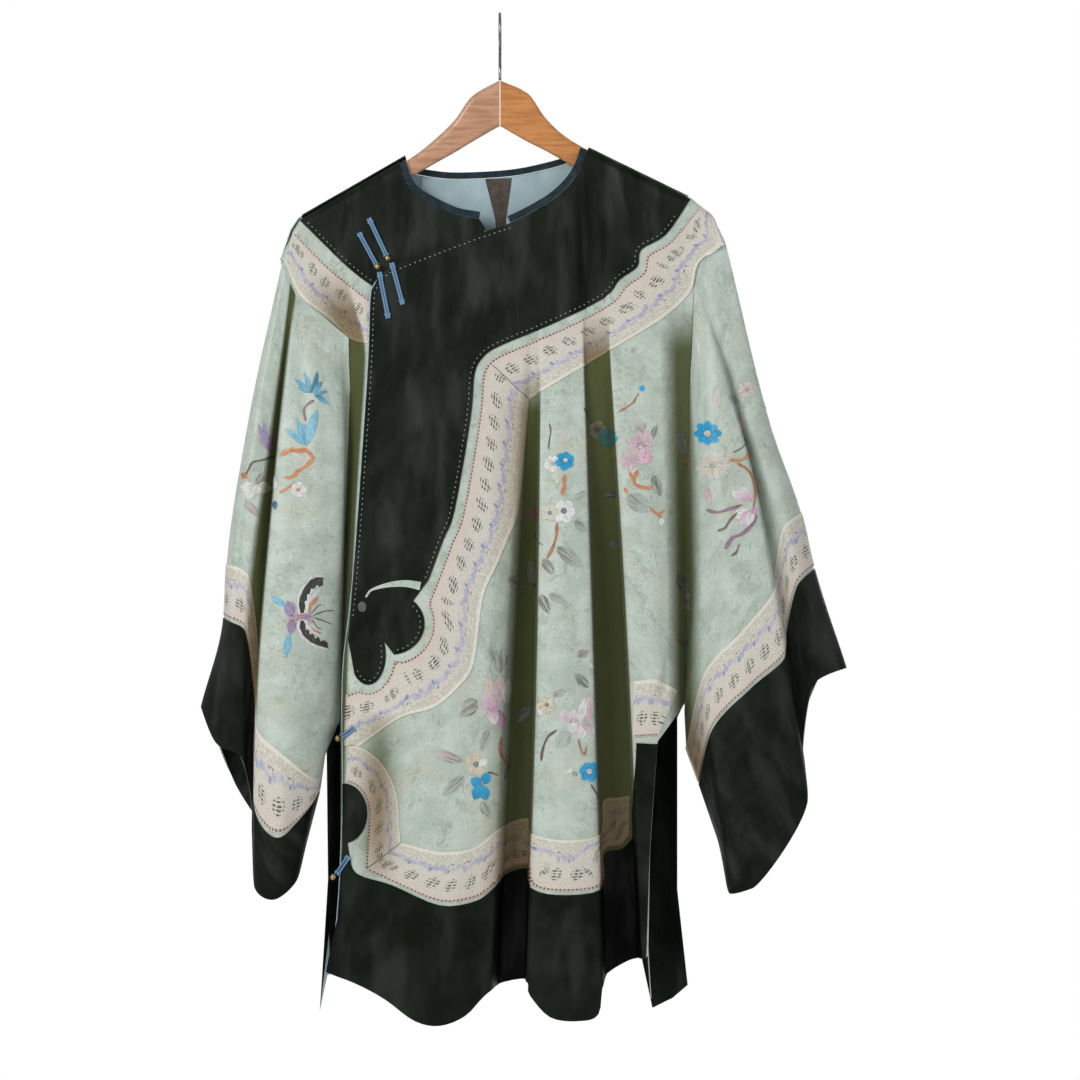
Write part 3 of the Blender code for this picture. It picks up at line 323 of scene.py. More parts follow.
# The hook: one steel wire that rises from the mitre, bends back and over, and is seen edge-on
# from the front. The whole thing hangs from the inside of its bend.
HOOK_WIRE_RADIUS = 1.6
HOOK_BEND_RADIUS = 17.0
HOOK_FOOT_Z = -69.7
HOOK_TIP_DROP = 12.0


def curved(path, steps):
    """A path with points added along a curve through its own."""
    line = [Vector(p) for p in path]
    line = [line[0] * 2 - line[1]] + line + [line[-1] * 2 - line[-2]]
    made = []
    for a, b, c, d in zip(line, line[1:], line[2:], line[3:]):
        for k in range(steps):
            t = k / steps
            made.append(tuple(0.5 * (2 * b + (c - a) * t + (2 * a - 5 * b + 4 * c - d) * t * t
                                     + (3 * b - a - 3 * c + d) * t ** 3)))
    return made + [tuple(path[-1])]


def tube(name, path, radii, finish, sides=12):
    """A round wire or cord along a path, with rounded ends."""
    path = [Vector(p) for p in path]
    radii = list(radii) if hasattr(radii, "__len__") else [radii] * len(path)
    first, last = (path[1] - path[0]).normalized(), (path[-1] - path[-2]).normalized()
    path = [path[0] - first * radii[0] * 0.6, path[0] - first * radii[0] * 0.35] + path
    path += [path[-1] + last * radii[-1] * 0.35, path[-1] + last * radii[-1] * 0.6]
    radii = [radii[0] * 0.35, radii[0] * 0.8] + radii + [radii[-1] * 0.8, radii[-1] * 0.35]
    side = first.orthogonal().normalized()
    rings = []
    for k, (place, radius) in enumerate(zip(path, radii)):
        ahead = (path[min(k + 1, len(path) - 1)] - path[max(k - 1, 0)]).normalized()
        side = (side - ahead * side.dot(ahead)).normalized()
        across = ahead.cross(side)
        rings.append([place + (side * math.cos(a) + across * math.sin(a)) * radius
                      for a in (math.tau * n / sides for n in range(sides))])
    return ringed(name, rings, finish)


wire, tree, shader = principled("hook_wire_steel", (0.22, 0.22, 0.23), 0.34, 1.0)
place = node(tree, "ShaderNodeTexCoord").outputs["Object"]
dull = noise(tree, place, 160.0, 4.0, 0.6)
tree.links.new(mix(tree, between(tree, dull, 0.4, 0.65), (0.26, 0.26, 0.27), (0.12, 0.115, 0.11)),
               shader.inputs["Base Color"])
tree.links.new(between(tree, dull, 0.35, 0.7, 0.28, 0.5), shader.inputs["Roughness"])
bumped(tree, shader, dull, 0.15, 0.0003)

bend_z = HOOK_WIRE_RADIUS - HOOK_BEND_RADIUS
route = [(0, 0, HOOK_FOOT_Z + 0.9), (0, 0, HOOK_FOOT_Z + 12), (0, 5, -47), (0, HOOK_BEND_RADIUS, -32)]
for k in range(9):
    turn = math.radians(22.5 * k)
    route.append((0, math.cos(turn) * HOOK_BEND_RADIUS, bend_z + math.sin(turn) * HOOK_BEND_RADIUS))
route.append((0, -HOOK_BEND_RADIUS + 1, bend_z - HOOK_TIP_DROP))
hold(tube("hook", curved(route, 5), HOOK_WIRE_RADIUS, wire, 16), "hook_wire", "hanger_hook")


# The front overlap: celadon silk damask, cut from the left armhole across to the closing edge.
# It hangs from the crest of the shoulders in deep folds. Each fold line is a row of the table.
CREST_LINE = (
    ("right fall", -236, -268),
    ("right bend", -223, -230),
    ("right point", -215, -218),
    ("right neck", -101, -152),
    ("left neck", 88, -140),
    ("left point", 204, -197),
    ("left bend", 227, -216),
    ("left fall", 243, -250),
)
ARCH_HEIGHT = 12.0
ARCH_OUT = 10.0
ARCH_DROPS = (0.0, 0.6, 1.5, 3.0, 5.0, 8.0, 11.5, 15.0, 20.0)
SHOULDER_STEPS = 24
EASED_ABOVE = 12
EASED_BELOW = 8
EASING_ROUNDS = 8
CHEST_Z, WAIST_Z, HEM_Z, FOOT_Z = -353.0, -626.0, -1054.0, -1095.0
COLUMN_STEP = 5.0
ROW_STEP = 8.0
SILK = (0.1, 1.0)
LAID = (1.1, 2.0)
# Name, x at the crest, chest, waist and hem, then y at chest, waist and hem
FRONT_FOLDS = (
    ("right outer", -236, -222, -186, -206, -6, -4, -12),
    ("right shoulder", -224, -200, -178, -196, -7, -5, -14),
    ("right trough", -215, -163, -170, -186, -8, -6, -16),
    ("placket edge", -186, -141, -158, -168, -18, -30, -32),
    ("placket side", -146, -118, -125, -130, -19, -36, -42),
    ("belly right", -101, -84, -85, -86, -20, -42, -56),
    ("belly middle", -75, -43, -48, -50, -20, -42, -56),
    ("belly left", -32, -6, -14, -27, -19, -38, -48),
    ("belly edge", 2, 24, 8, -12, -19, -35, -42),
    ("first trough right", 14, 34, 20, -2, -18, -8, -6),
    ("first trough left", 36, 41, 38, 27, -18, -5, -5),
    ("first ridge right", 42, 45, 42, 30, -19, -36, -42),
    ("first ridge crown", 63, 67, 70, 70, -20, -42, -56),
    ("first ridge left", 88, 87, 96, 108, -19, -36, -44),
    ("second trough right", 94, 92, 100, 113, -17, -6, -4),
    ("second trough left", 110, 112, 131, 150, -16, -4, -4),
    ("second ridge right", 117, 118, 135, 155, -19, -32, -36),
    ("second ridge crown", 146, 148, 160, 172, -20, -38, -36),
    ("second ridge left", 172, 170, 178, 184, -18, -32, -26),
    ("left trough", 204, 200, 200, 202, -9, -5, -8),
    ("left shoulder", 227, 215, 212, 214, -7, -10, -12),
    ("left outer", 243, 230, 222, 226, -6, -16, -16),
)
# Soft creases: x and z of both ends, half width, and height, which is negative in a trough
FRONT_CREASES = (
    (82, -170, 92, -320, 5, -2.4),
    (96, -172, 99, -330, 5, -2.2),
    (106, -178, 118, -300, 5, -1.8),
    (88, -160, 78, -330, 6, 1.6),
    (118, -170, 150, -250, 9, 2.2),
    (140, -180, 178, -226, 7, -1.6),
    (60, -200, 40, -330, 9, 1.2),
    (30, -230, 8, -360, 10, -1.3),
    (4, -232, -30, -330, 9, 1.2),
    (-20, -260, -70, -380, 11, -1.4),
    (-50, -280, -100, -420, 10, 1.3),
    (-60, -350, -130, -440, 8, -1.2),
    (-48, -400, -128, -500, 9, 1.2),
    (-66, -430, -148, -545, 8, -1.3),
    (-58, -500, -120, -585, 9, 1.1),
    (-100, -260, -112, -410, 9, -1.0),
    (-118, -470, -150, -640, 7, -1.0),
    (-10, -420, -20, -700, 8, 0.9),
    (6, -460, -2, -820, 6, -0.9),
    (-36, -600, -60, -900, 9, 0.9),
    (-90, -760, -84, -1000, 10, -1.1),
    (-130, -800, -134, -1010, 8, 1.0),
    (-56, -940, -62, -1070, 9, 1.2),
    (-20, -930, -34, -1060, 8, -1.4),
    (62, -380, 66, -640, 6, 0.8),
    (76, -420, 84, -900, 5, -0.8),
    (56, -620, 52, -1000, 7, -0.9),
    (74, -900, 88, -1070, 7, 1.2),
    (46, -930, 48, -1060, 6, -1.0),
    (146, -370, 152, -560, 7, -1.0),
    (162, -420, 168, -700, 6, 0.9),
    (150, -600, 156, -760, 6, -1.0),
    (178, -690, 150, -740, 5, 1.8),
    (182, -704, 160, -752, 4, -1.8),
    (186, -660, 170, -735, 5, -1.4),
)
# Painted shade in the troughs: name, the fold lines that it lies between, how soft its two sides are, its
# top, and how dark it is
FRONT_SHADES = (
    ("placket shadow", "right shoulder", "placket edge", 1.0, 0.1, -272, 1.0),
    ("first trough", "belly left", "first ridge right", 1.9, 0.12, -378, 1.0),
    ("second trough", "first ridge left", "second ridge right", 0.25, 0.12, -318, 1.0),
    ("left trough", "second ridge left", "left outer", 0.55, 0.15, -312, 0.97),
)
# Painted shade along creases and over the right slit's ribbon: x and z of both ends, half width, and how dark
# it is
FRONT_CREASE_SHADES = (
    (-108, -158, -103, -268, 4.2, 1.0),
    (-100, -200, -99, -268, 2.6, 1.0),
    (84, -172, 85, -322, 3.4, 0.8),
    (97, -168, 96, -305, 3.0, 0.75),
    (110, -200, 112, -262, 3.0, 0.7),
    (128, -196, 138, -230, 3.0, 0.5),
    (23, -380, 24, -520, 1.0, 0.5),
    (-128, -745, -130, -925, 19.0, 0.95),
    (-140, -560, -160, -690, 8.0, 0.35),
)
RIGHT_ARMHOLE = (
    ("silhouette", -234, -262),
    ("band corner", -217, -302),
    ("band middle", -186, -325),
    ("armpit fold", -162, -346),
    ("upper trough", -161, -400),
    ("middle trough", -168, -562),
    ("underarm", -173, -756),
)
LEFT_ARMHOLE = (
    ("silhouette", 240, -245),
    ("band corner", 214, -264),
    ("band middle", 207, -293),
    ("armpit fold", 203, -401),
    ("upper trough", 201, -498),
    ("middle trough", 203, -647),
    ("underarm", 197, -736),
)
OVER_NECK = (
    ("closing corner", 8, -216),
    ("collarbone", 27, -207),
    ("inner curve", 51, -193),
    ("outer curve", 68, -178),
    ("side of neck", 79, -162),
    ("left neck", 86, -144),
)
BINDING_WIDTH = 7.0
BINDING_GAP = 0.4
CLOSING_EDGE = (
    ("neck", 9, -224.5),
    ("upper bow", -36, -240),
    ("middle bow", -101, -265),
    ("first frog", -123, -275),
    ("corner", -135, -290),
    ("placket top", -139, -308),
    ("chest", -142, -390),
    ("waist", -157, -609),
    ("underarm", -167, -708),
    ("slit", -167, -840),
    ("slit foot", -173, -966),
    ("hem corner", -185, -1023),
)
FRONT_HEM = (
    ("right corner", -185, -1023),
    ("right rise", -154, -1034),
    ("belly start", -121, -1051),
    ("belly low", -90, -1073),
    ("belly lowest", -64, -1078),
    ("belly end", -38, -1068),
    ("belly rise", -16, -1046),
    ("trough start", -2, -1036),
    ("trough end", 29, -1031),
    ("ridge start", 33, -1046),
    ("ridge low", 54, -1069),
    ("ridge lowest", 84, -1073),
    ("ridge end", 104, -1066),
    ("second trough", 110, -1031),
    ("left rise", 136, -1012),
    ("left corner", 156, -1007),
)
FRONT_LEFT_SLIT = (
    ("hem", 158, -1004),
    ("foot", 160, -893),
    ("middle", 164, -832),
    ("top", 168, -776),
)


def places(rows):
    """The x and z of each row of a table whose last two columns they are."""
    return [(row[-2], row[-1]) for row in rows]


def beside(path, distance):
    """A path moved sideways: to its left as it runs, seen from the front."""
    moved = []
    for k, (x, z) in enumerate(path):
        before = path[max(k - 1, 0)]
        after = path[min(k + 1, len(path) - 1)]
        run = math.dist(before, after)
        moved.append((x - (after[1] - before[1]) / run * distance,
                      z + (after[0] - before[0]) / run * distance))
    return moved


def stepped(path, step, closed=True):
    """A path with points added so that none is further than a step from the next."""
    made = []
    ends = path[1:] + path[:1] if closed else path[1:]
    for a, b in zip(path, ends):
        count = max(1, math.ceil(math.dist(a, b) / step))
        made += [tuple(p + (q - p) * k / count for p, q in zip(a, b)) for k in range(count)]
    return made if closed else made + [tuple(path[-1])]


SORT_SQUARE = 10
# How far below its top the painted shade of a fold grows to its full strength, in millimetres
DARK_OVER = 45.0


class Cloth:
    """A sheet as it hangs, in rows of points down it. Its outside is where a lift is positive."""

    def __init__(self, rows, outside):
        self.points = np.array(rows, float)
        self.outside = outside
        self.down_count, self.across_count = self.points.shape[0] - 1, self.points.shape[1] - 1
        # The painted shade of the deep folds and creases, from 0 to 1, which the materials read as fold
        self.fold = np.zeros(self.points.shape[:2])
        self.settle()

    def runs(self, axis):
        """The way the sheet runs at each point: the mean of the steps before and after it."""
        steps = np.diff(self.points, axis=axis)
        steps = steps / np.maximum(np.linalg.norm(steps, axis=2, keepdims=True), 1e-9)
        first, last = np.take(steps, [0], axis), np.take(steps, [-1], axis)
        return np.concatenate((first, steps), axis) + np.concatenate((steps, last), axis)

    def settle(self):
        """The outward direction at each point, and how far across and down the flat cloth it is."""
        normals = np.cross(self.runs(1), self.runs(0)) * self.outside
        self.normals = normals / np.maximum(np.linalg.norm(normals, axis=2, keepdims=True), 1e-9)
        across = np.linalg.norm(np.diff(self.points, axis=1), axis=2)
        down = np.linalg.norm(np.diff(self.points, axis=0), axis=2)
        across = np.pad(np.cumsum(across, axis=1), ((0, 0), (1, 0)))
        across -= across[:, [self.across_count // 2]]
        self.flat_place = np.stack((across, np.pad(np.cumsum(down, axis=0), ((1, 0), (0, 0)))), 2)
        self.bins = None

    def along(self, x0, z0, x1, z1, half_width):
        """How far along a crease each point is, from 0 to 1, and how near it is to its line."""
        run = np.array((x1 - x0, z1 - z0), float)
        to = self.points[:, :, (0, 2)] - np.array((x0, z0), float)
        share = np.clip(to @ run / (run @ run), 0, 1)
        away = np.linalg.norm(to - share[..., None] * run, axis=2)
        return share, np.exp(-(away / half_width) ** 2)

    def crease(self, rows, facing):
        """Lays soft creases into the side of the sheet that faces the front (-1) or the back (1)."""
        side = self.normals[:, :, 1] * facing > 0
        rise = np.zeros(side.shape)
        for *line, height in rows:
            share, near = self.along(*line)
            rise += height * near * 4 * share * (1 - share)
        self.points += self.normals * (rise * side)[..., None]
        self.settle()

    def paint_fold_shade(self, folds, spots, rows):
        """Marks painted shade in the deep folds, from 0 to 1, between named fold lines and below a height."""
        names = [fold[0] for fold in folds]
        height = self.points[:, :, 2]
        for _, first, last, first_soft, last_soft, z_top, amount in rows:
            share = np.clip((spots - names.index(first)) / first_soft, 0, 1)
            share *= np.clip((names.index(last) - spots) / last_soft, 0, 1)
            below = np.clip((z_top - height) / DARK_OVER, 0, 1)
            self.fold = np.maximum(self.fold, amount * share[None, :] * below)

    def paint_crease_shade(self, rows, facing):
        """Marks painted shade along narrow creases between two places each."""
        side = self.normals[:, :, 1] * facing > 0
        for *line, amount in rows:
            share, near = self.along(*line)
            mark = amount * near * np.sqrt(4 * share * (1 - share) + 1e-9)
            self.fold = np.maximum(self.fold, mark * side)

    def shares(self, spots):
        """The three grid points round each place, with their shares."""
        spots = np.asarray(spots, float)
        i = np.clip(np.floor(spots[:, 0] + 1e-9).astype(int), 0, self.across_count - 1)
        j = np.clip(np.floor(spots[:, 1] + 1e-9).astype(int), 0, self.down_count - 1)
        s, t = spots[:, 0] - i, spots[:, 1] - j
        upper = s >= t
        return ((j, i, 1 - np.maximum(s, t)),
                (np.where(upper, j, j + 1), np.where(upper, i + 1, i), np.abs(s - t)),
                (j + 1, i + 1, np.minimum(s, t)))

    def read(self, spots, values):
        """A value of the sheet at each place."""
        total = 0
        for j, i, share in self.shares(spots):
            total = total + values[j, i] * (share[:, None] if values.ndim == 3 else share)
        return total

    def at(self, spots, lift):
        lift = np.broadcast_to(np.asarray(lift, float), (len(spots),))
        return self.read(spots, self.points) + self.read(spots, self.normals) * lift[:, None]

    def sort(self):
        """Sorts the sheet's triangles into small squares, seen from the front."""
        p = self.points
        a, b, c, d = p[:-1, :-1], p[:-1, 1:], p[1:, 1:], p[1:, :-1]
        j, i = np.mgrid[0:self.down_count, 0:self.across_count]
        parts = []
        for half, (p0, p1, p2) in enumerate(((a, b, c), (a, d, c))):
            ab, ac = p1 - p0, p2 - p0
            area = ab[..., 0] * ac[..., 2] - ab[..., 2] * ac[..., 0]
            area = np.where(np.abs(area) < 1e-9, 1e-9, area)
            low = np.minimum(np.minimum(p0, p1), p2)
            high = np.maximum(np.maximum(p0, p1), p2)
            parts.append(np.stack([x.ravel() for x in (
                p0[..., 0], p0[..., 2], p0[..., 1], ab[..., 0], ab[..., 2], ab[..., 1],
                ac[..., 0], ac[..., 2], ac[..., 1], area, i, j, np.full(i.shape, half),
                low[..., 0], high[..., 0], low[..., 2], high[..., 2])], axis=1))
        self.parts = np.concatenate(parts)
        self.bins = {}
        spans = np.floor(self.parts[:, 13:17] / SORT_SQUARE).astype(int)
        for k, (x0, x1, z0, z1) in enumerate(spans):
            for x in range(x0, x1 + 1):
                for z in range(z0, z1 + 1):
                    self.bins.setdefault((x, z), []).append(k)
        self.bins = {key: np.array(found) for key, found in self.bins.items()}
        self.every = np.arange(len(self.parts))

    def find(self, x, z, facing=-1):
        """The place on the sheet that is seen at x and z from the front, or from the back."""
        if self.bins is None:
            self.sort()
        square = (math.floor(x / SORT_SQUARE), math.floor(z / SORT_SQUARE))
        found = self.bins.get(square, self.every)
        x0, z0, y0, abx, abz, aby, acx, acz, acy, area, i, j, half = self.parts[found, :13].T
        q = ((x - x0) * acz - (z - z0) * acx) / area
        r = (abx * (z - z0) - abz * (x - x0)) / area
        worst = np.minimum(np.minimum(q, r), 1 - q - r)
        inside = worst > -1e-6
        if inside.any():
            best = int(np.argmax(np.where(inside, (y0 + q * aby + r * acy) * facing, -1e9)))
        else:
            best = int(np.argmax(worst * np.sqrt(np.abs(area))))
        q, r = q[best], r[best]
        u, v = (q + r, r) if half[best] == 0 else (r, q + r)
        return (min(max(i[best] + u, 0.0), self.across_count), min(max(j[best] + v, 0.0), self.down_count))


def crossings(a, b):
    """Where a line between two places on a sheet passes from one square of its grid to the next."""
    stops = [0.0, 1.0]
    for k in (0, 1):
        low, high = sorted((a[k], b[k]))
        for line in range(math.floor(low) + 1, math.ceil(high)):
            stops.append((line - a[k]) / (b[k] - a[k]))
    return sorted(stops)


def cut(cloth, outline, facing=-1, step=4.0):
    """The places and faces on a sheet of a piece that is cut to an outline seen from the front."""
    rough = [cloth.find(x, z, facing) for x, z in stepped(list(outline), step)]
    corners = [p for k, p in enumerate(rough) if math.dist(p, rough[k - 1]) > 1e-4]
    if len(corners) < 3:
        return np.zeros((0, 2)), []
    if sum(a[0] * b[1] - b[0] * a[1] for a, b in zip(corners, corners[1:] + corners[:1])) < 0:
        corners.reverse()
    touched = set()
    for a, b in zip(corners, corners[1:] + corners[:1]):
        stops = crossings(a, b)
        for s, t in zip(stops, stops[1:]):
            middle = [p + (q - p) * (s + t) / 2 for p, q in zip(a, b)]
            touched.add((min(max(math.floor(middle[0]), 0), cloth.across_count - 1),
                         min(max(math.floor(middle[1]), 0), cloth.down_count - 1)))
    nodes = {}
    for i, j in sorted(touched):
        for corner in ((i, j), (i + 1, j), (i + 1, j + 1), (i, j + 1)):
            nodes.setdefault(corner, len(corners) + len(nodes))
    edges = set()
    for i, j in touched:
        for a, b in (((i, j), (i + 1, j)), ((i, j), (i, j + 1)), ((i, j), (i + 1, j + 1)),
                     ((i + 1, j), (i + 1, j + 1)), ((i, j + 1), (i + 1, j + 1))):
            edges.add((nodes[a], nodes[b]))
    coords = [Vector(p) for p in corners + list(nodes)]
    found, _, faces, origins, _, owners = delaunay_2d_cdt(coords, sorted(edges), [list(range(len(corners)))],
                                                          0, 1e-5, True)
    order = list(nodes)
    spots, place_of = [], {}

    def spot_of(key, place):
        if key not in place_of:
            place_of[key] = len(spots)
            spots.append(place)
        return place_of[key]

    names = []
    for k in range(len(found)):
        grid = [n for n in origins[k] if n >= len(corners)]
        names.append((order[grid[0] - len(corners)], True) if grid else (k, False))
    kept = []
    for face, owner in zip(faces, owners):
        if not owner:
            continue
        centre = sum((found[k] for k in face), Vector((0, 0))) / len(face)
        if (math.floor(centre[0]), math.floor(centre[1])) not in touched:
            continue
        kept.append([spot_of(names[k], names[k][0] if names[k][1] else tuple(found[k])) for k in face])
    shape = np.array(corners)
    low, high = np.floor(shape.min(axis=0)).astype(int), np.ceil(shape.max(axis=0)).astype(int)
    inner = [(i, j) for j in range(low[1], high[1]) for i in range(low[0], high[0]) if (i, j) not in touched]
    if inner:
        centres = np.array(inner) + 0.5
        begin, end = shape, np.roll(shape, -1, axis=0)
        odd = np.zeros(len(centres), bool)
        for (x0, y0), (x1, y1) in zip(begin, end):
            crossed = (y0 > centres[:, 1]) != (y1 > centres[:, 1])
            if crossed.any():
                odd ^= crossed & (centres[:, 0] < x0 + (x1 - x0) * (centres[:, 1] - y0) / (y1 - y0 + 1e-30))
        for (i, j), take in zip(inner, odd):
            if take:
                a, b, c, d = (spot_of((corner, True), corner) for corner in
                              ((i, j), (i + 1, j), (i + 1, j + 1), (i, j + 1)))
                kept += [[a, b, c], [a, c, d]]
    return np.array(spots, float), kept


def shell(cloth, spots, faces, lifts, own_map=None, weld=None):
    """The points, faces and map of a closed thin shell over part of a sheet, and its face counts."""
    low, high = lifts
    count = len(spots)
    faces = np.array(faces)
    own_map = cloth.read(spots, cloth.flat_place) * MM if own_map is None else np.asarray(own_map)
    weld = np.arange(count) if weld is None else weld
    joined = weld[faces]
    directed = {}
    for face, plain in zip(joined.tolist(), faces.tolist()):
        for k in range(3):
            directed[(face[k], face[(k + 1) % 3])] = (plain[k], plain[(k + 1) % 3])
    rims, rim_spots = [], []
    for (a, b), (p, q) in directed.items():
        if (b, a) in directed:
            continue
        if cloth.outside > 0:
            rims.append((b, a, a + count, b + count))
            rim_spots.append((q, p, p, q))
        else:
            rims.append((a, b, b + count, a + count))
            rim_spots.append((p, q, q, p))
    outer, inner = (joined, joined[:, ::-1]) if cloth.outside > 0 else (joined[:, ::-1], joined)
    outer_map, inner_map = (faces, faces[:, ::-1]) if cloth.outside > 0 else (faces[:, ::-1], faces)
    points = np.concatenate((cloth.at(spots, high), cloth.at(spots, low)))
    # The painted fold shade of each point, on both faces
    painted_shade = np.tile(cloth.read(spots, cloth.fold), 2)
    every = outer.tolist() + (inner + count).tolist() + rims
    corner_map = np.concatenate((own_map[outer_map.ravel()], own_map[inner_map.ravel()],
                                 own_map[np.array(rim_spots, int).ravel()]))
    used = np.zeros(2 * count, bool)
    used[np.unique(np.concatenate([outer.ravel(), (inner + count).ravel()]))] = True
    renumber = np.cumsum(used) - 1
    every = [[int(renumber[k]) for k in face] for face in every]
    return points[used], every, corner_map, painted_shade[used], (len(outer), len(inner), len(rims))


def mark(made, name, values):
    """A value for each point of a piece, which its material reads."""
    made.data.attributes.new(name, "FLOAT", "POINT").data.foreach_set("value", np.asarray(values, np.float32))


def thicken(name, cloth, spots, faces, lifts, finishes, own_map=None, weld=None):
    """A closed thin shell over part of a sheet. A second finish goes on its inner face."""
    points, every, corner_map, painted_shade, (outer, inner, rims) = shell(cloth, spots, faces, lifts, own_map, weld)
    which = [0] * outer + [1] * inner + [0] * rims if len(finishes) > 1 else None
    made = piece(name, points, every, finishes, corner_map, which)
    # Each point carries its painted fold shade, which the materials read
    mark(made, "fold", painted_shade)
    return made


def parted(gaps, step):
    """Places along a row of fold lines, counted by them, with no gap wider than a step."""
    counts = np.ceil(gaps / step).astype(int)
    return np.concatenate([k + np.arange(n) / n for k, n in enumerate(counts)] + [[float(len(gaps))]])


def body_sheet(folds, facing, arch, shades):
    """The front or the back as one draped sheet, from its table of fold lines."""
    table = np.array([row[1:] for row in folds], float)
    number = np.arange(len(folds))
    gaps = np.abs(np.diff(table[:, 0]))
    for x, y in ((1, 4), (2, 5), (3, 6)):
        gaps = np.maximum(gaps, np.hypot(np.diff(table[:, x]), np.diff(table[:, y])))
    spots = parted(gaps, COLUMN_STEP)
    crest, chest_x, chest_y = (smooth(number, table[:, k], spots)[:, 0] for k in (0, 1, 4))
    line = np.array(places(CREST_LINE), float)
    top = np.interp(crest, line[:, 0], line[:, 1])
    fall = top - CHEST_Z
    drops = [np.full(len(spots), drop) for drop in ARCH_DROPS]
    lowest = ARCH_DROPS[-1]
    drops += [lowest + (fall - lowest) * k / SHOULDER_STEPS for k in range(1, SHOULDER_STEPS + 1)]
    rows = []
    for drop in drops:
        arc = arch * np.sqrt(1 - (1 - np.minimum(drop / ARCH_HEIGHT, 1.0)) ** 2)
        share = drop / fall
        rows.append(np.stack((crest + (chest_x - crest) * share,
                              (crest_y(crest) + facing * (arc + 0.2)) * (1 - share) + chest_y * share,
                              top - drop), axis=1))
    levels = np.linspace(CHEST_Z, FOOT_Z, 2 + int((CHEST_Z - FOOT_Z) / ROW_STEP))[1:]
    stations = (-CHEST_Z, -WAIST_Z, -HEM_Z)
    at = np.minimum(-levels, -HEM_Z)
    xs = smooth(number, smooth(stations, table[:, 1:4].T, at).T, spots)
    ys = smooth(number, smooth(stations, table[:, 4:7].T, at).T, spots)
    for k, z in enumerate(levels):
        rows.append(np.stack((xs[:, k], ys[:, k], np.full(len(spots), z)), axis=1))
    rows = np.array(rows)
    join = len(ARCH_DROPS) + SHOULDER_STEPS
    for _ in range(EASING_ROUNDS):
        part = rows[join - EASED_ABOVE - 1:join + EASED_BELOW + 1]
        rows[join - EASED_ABOVE:join + EASED_BELOW] = (part[:-2] + 2 * part[1:-1] + part[2:]) / 4
    sheet = Cloth(rows, facing)
    sheet.paint_fold_shade(folds, spots, shades)
    return sheet


def damask_group():
    """Tone-on-tone scrolls of a silk damask: thin outlines, filled leaves, mottling and weave."""
    group = bpy.data.node_groups.new("damask", "ShaderNodeTree")
    group.interface.new_socket("Place", in_out="INPUT", socket_type="NodeSocketVector")
    group.interface.new_socket("Motif Scale", in_out="INPUT", socket_type="NodeSocketFloat")
    for name in ("Outline", "Leaf", "Mottle", "Weave"):
        group.interface.new_socket(name, in_out="OUTPUT", socket_type="NodeSocketFloat")
    given = group.nodes.new("NodeGroupInput")
    where, scale = given.outputs["Place"], given.outputs["Motif Scale"]
    drift = node(group, "ShaderNodeTexNoise", {"Vector": where, "Scale": scale, "Detail": 2.0})
    moved = node(group, "ShaderNodeVectorMath", {0: drift.outputs["Color"], 1: (0.012, 0.012, 0.012)},
                 operation="MULTIPLY").outputs[0]
    warped = node(group, "ShaderNodeVectorMath", {0: where, 1: moved}, operation="ADD").outputs[0]
    swirl = noise(group, warped, scale, 1.5, 0.45)
    thin = reckon(group, "ABSOLUTE", reckon(group, "SUBTRACT", reckon(group, "FRACT", reckon(
        group, "MULTIPLY", swirl, 7.0)), 0.5))
    patches = noise(group, where, reckon(group, "MULTIPLY", scale, 0.3), 1.0)
    shown = between(group, patches, 0.38, 0.54)
    outline = reckon(group, "MULTIPLY", between(group, thin, 0.10, 0.03), shown)
    leaf = reckon(group, "MULTIPLY", between(group, noise(group, warped, scale, 2.0), 0.56, 0.60), shown)
    mottle = noise(group, where, 34.0, 4.0, 0.6)
    threads = node(group, "ShaderNodeTexWave", {"Vector": where, "Scale": 420.0, "Distortion": 0.6,
                                                "Detail": 1.0}, bands_direction="Y").outputs["Fac"]
    grain = noise(group, where, 1700.0, 2.0)
    result = group.nodes.new("NodeGroupOutput")
    for name, value in (("Outline", outline), ("Leaf", leaf), ("Mottle", mottle),
                        ("Weave", reckon(group, "MULTIPLY", reckon(group, "ADD", threads, grain), 0.5))):
        group.links.new(value, result.inputs[name])
    return group


def wrinkle_group():
    """Soft shallow wrinkles of hanging cloth, longer one way than the other."""
    group = bpy.data.node_groups.new("soft_wrinkles", "ShaderNodeTree")
    group.interface.new_socket("Place", in_out="INPUT", socket_type="NodeSocketVector")
    group.interface.new_socket("Turn", in_out="INPUT", socket_type="NodeSocketVector")
    group.interface.new_socket("Stretch", in_out="INPUT", socket_type="NodeSocketVector")
    group.interface.new_socket("Height", in_out="OUTPUT", socket_type="NodeSocketFloat")
    given = group.nodes.new("NodeGroupInput")
    turned = node(group, "ShaderNodeMapping", {
        "Vector": given.outputs["Place"], "Rotation": given.outputs["Turn"],
        "Scale": given.outputs["Stretch"]}).outputs[0]
    height = noise(group, turned, 1.0, 3.0, 0.45)
    group.links.new(height, group.nodes.new("NodeGroupOutput").inputs["Height"])
    return group


damask = damask_group()
wrinkles = wrinkle_group()


# The painted shade of the deep folds, as each point of a piece carries it
def painted_fold_shade(tree):
    return node(tree, "ShaderNodeAttribute", attribute_name="fold").outputs["Fac"]


def own_place(tree):
    return node(tree, "ShaderNodeUVMap", uv_map="cloth").outputs[0]


def grouped(tree, group, values):
    made = tree.nodes.new("ShaderNodeGroup")
    made.node_tree = group
    for name, value in values.items():
        if isinstance(value, bpy.types.NodeSocket):
            tree.links.new(value, made.inputs[name])
        else:
            made.inputs[name].default_value = value
    return made


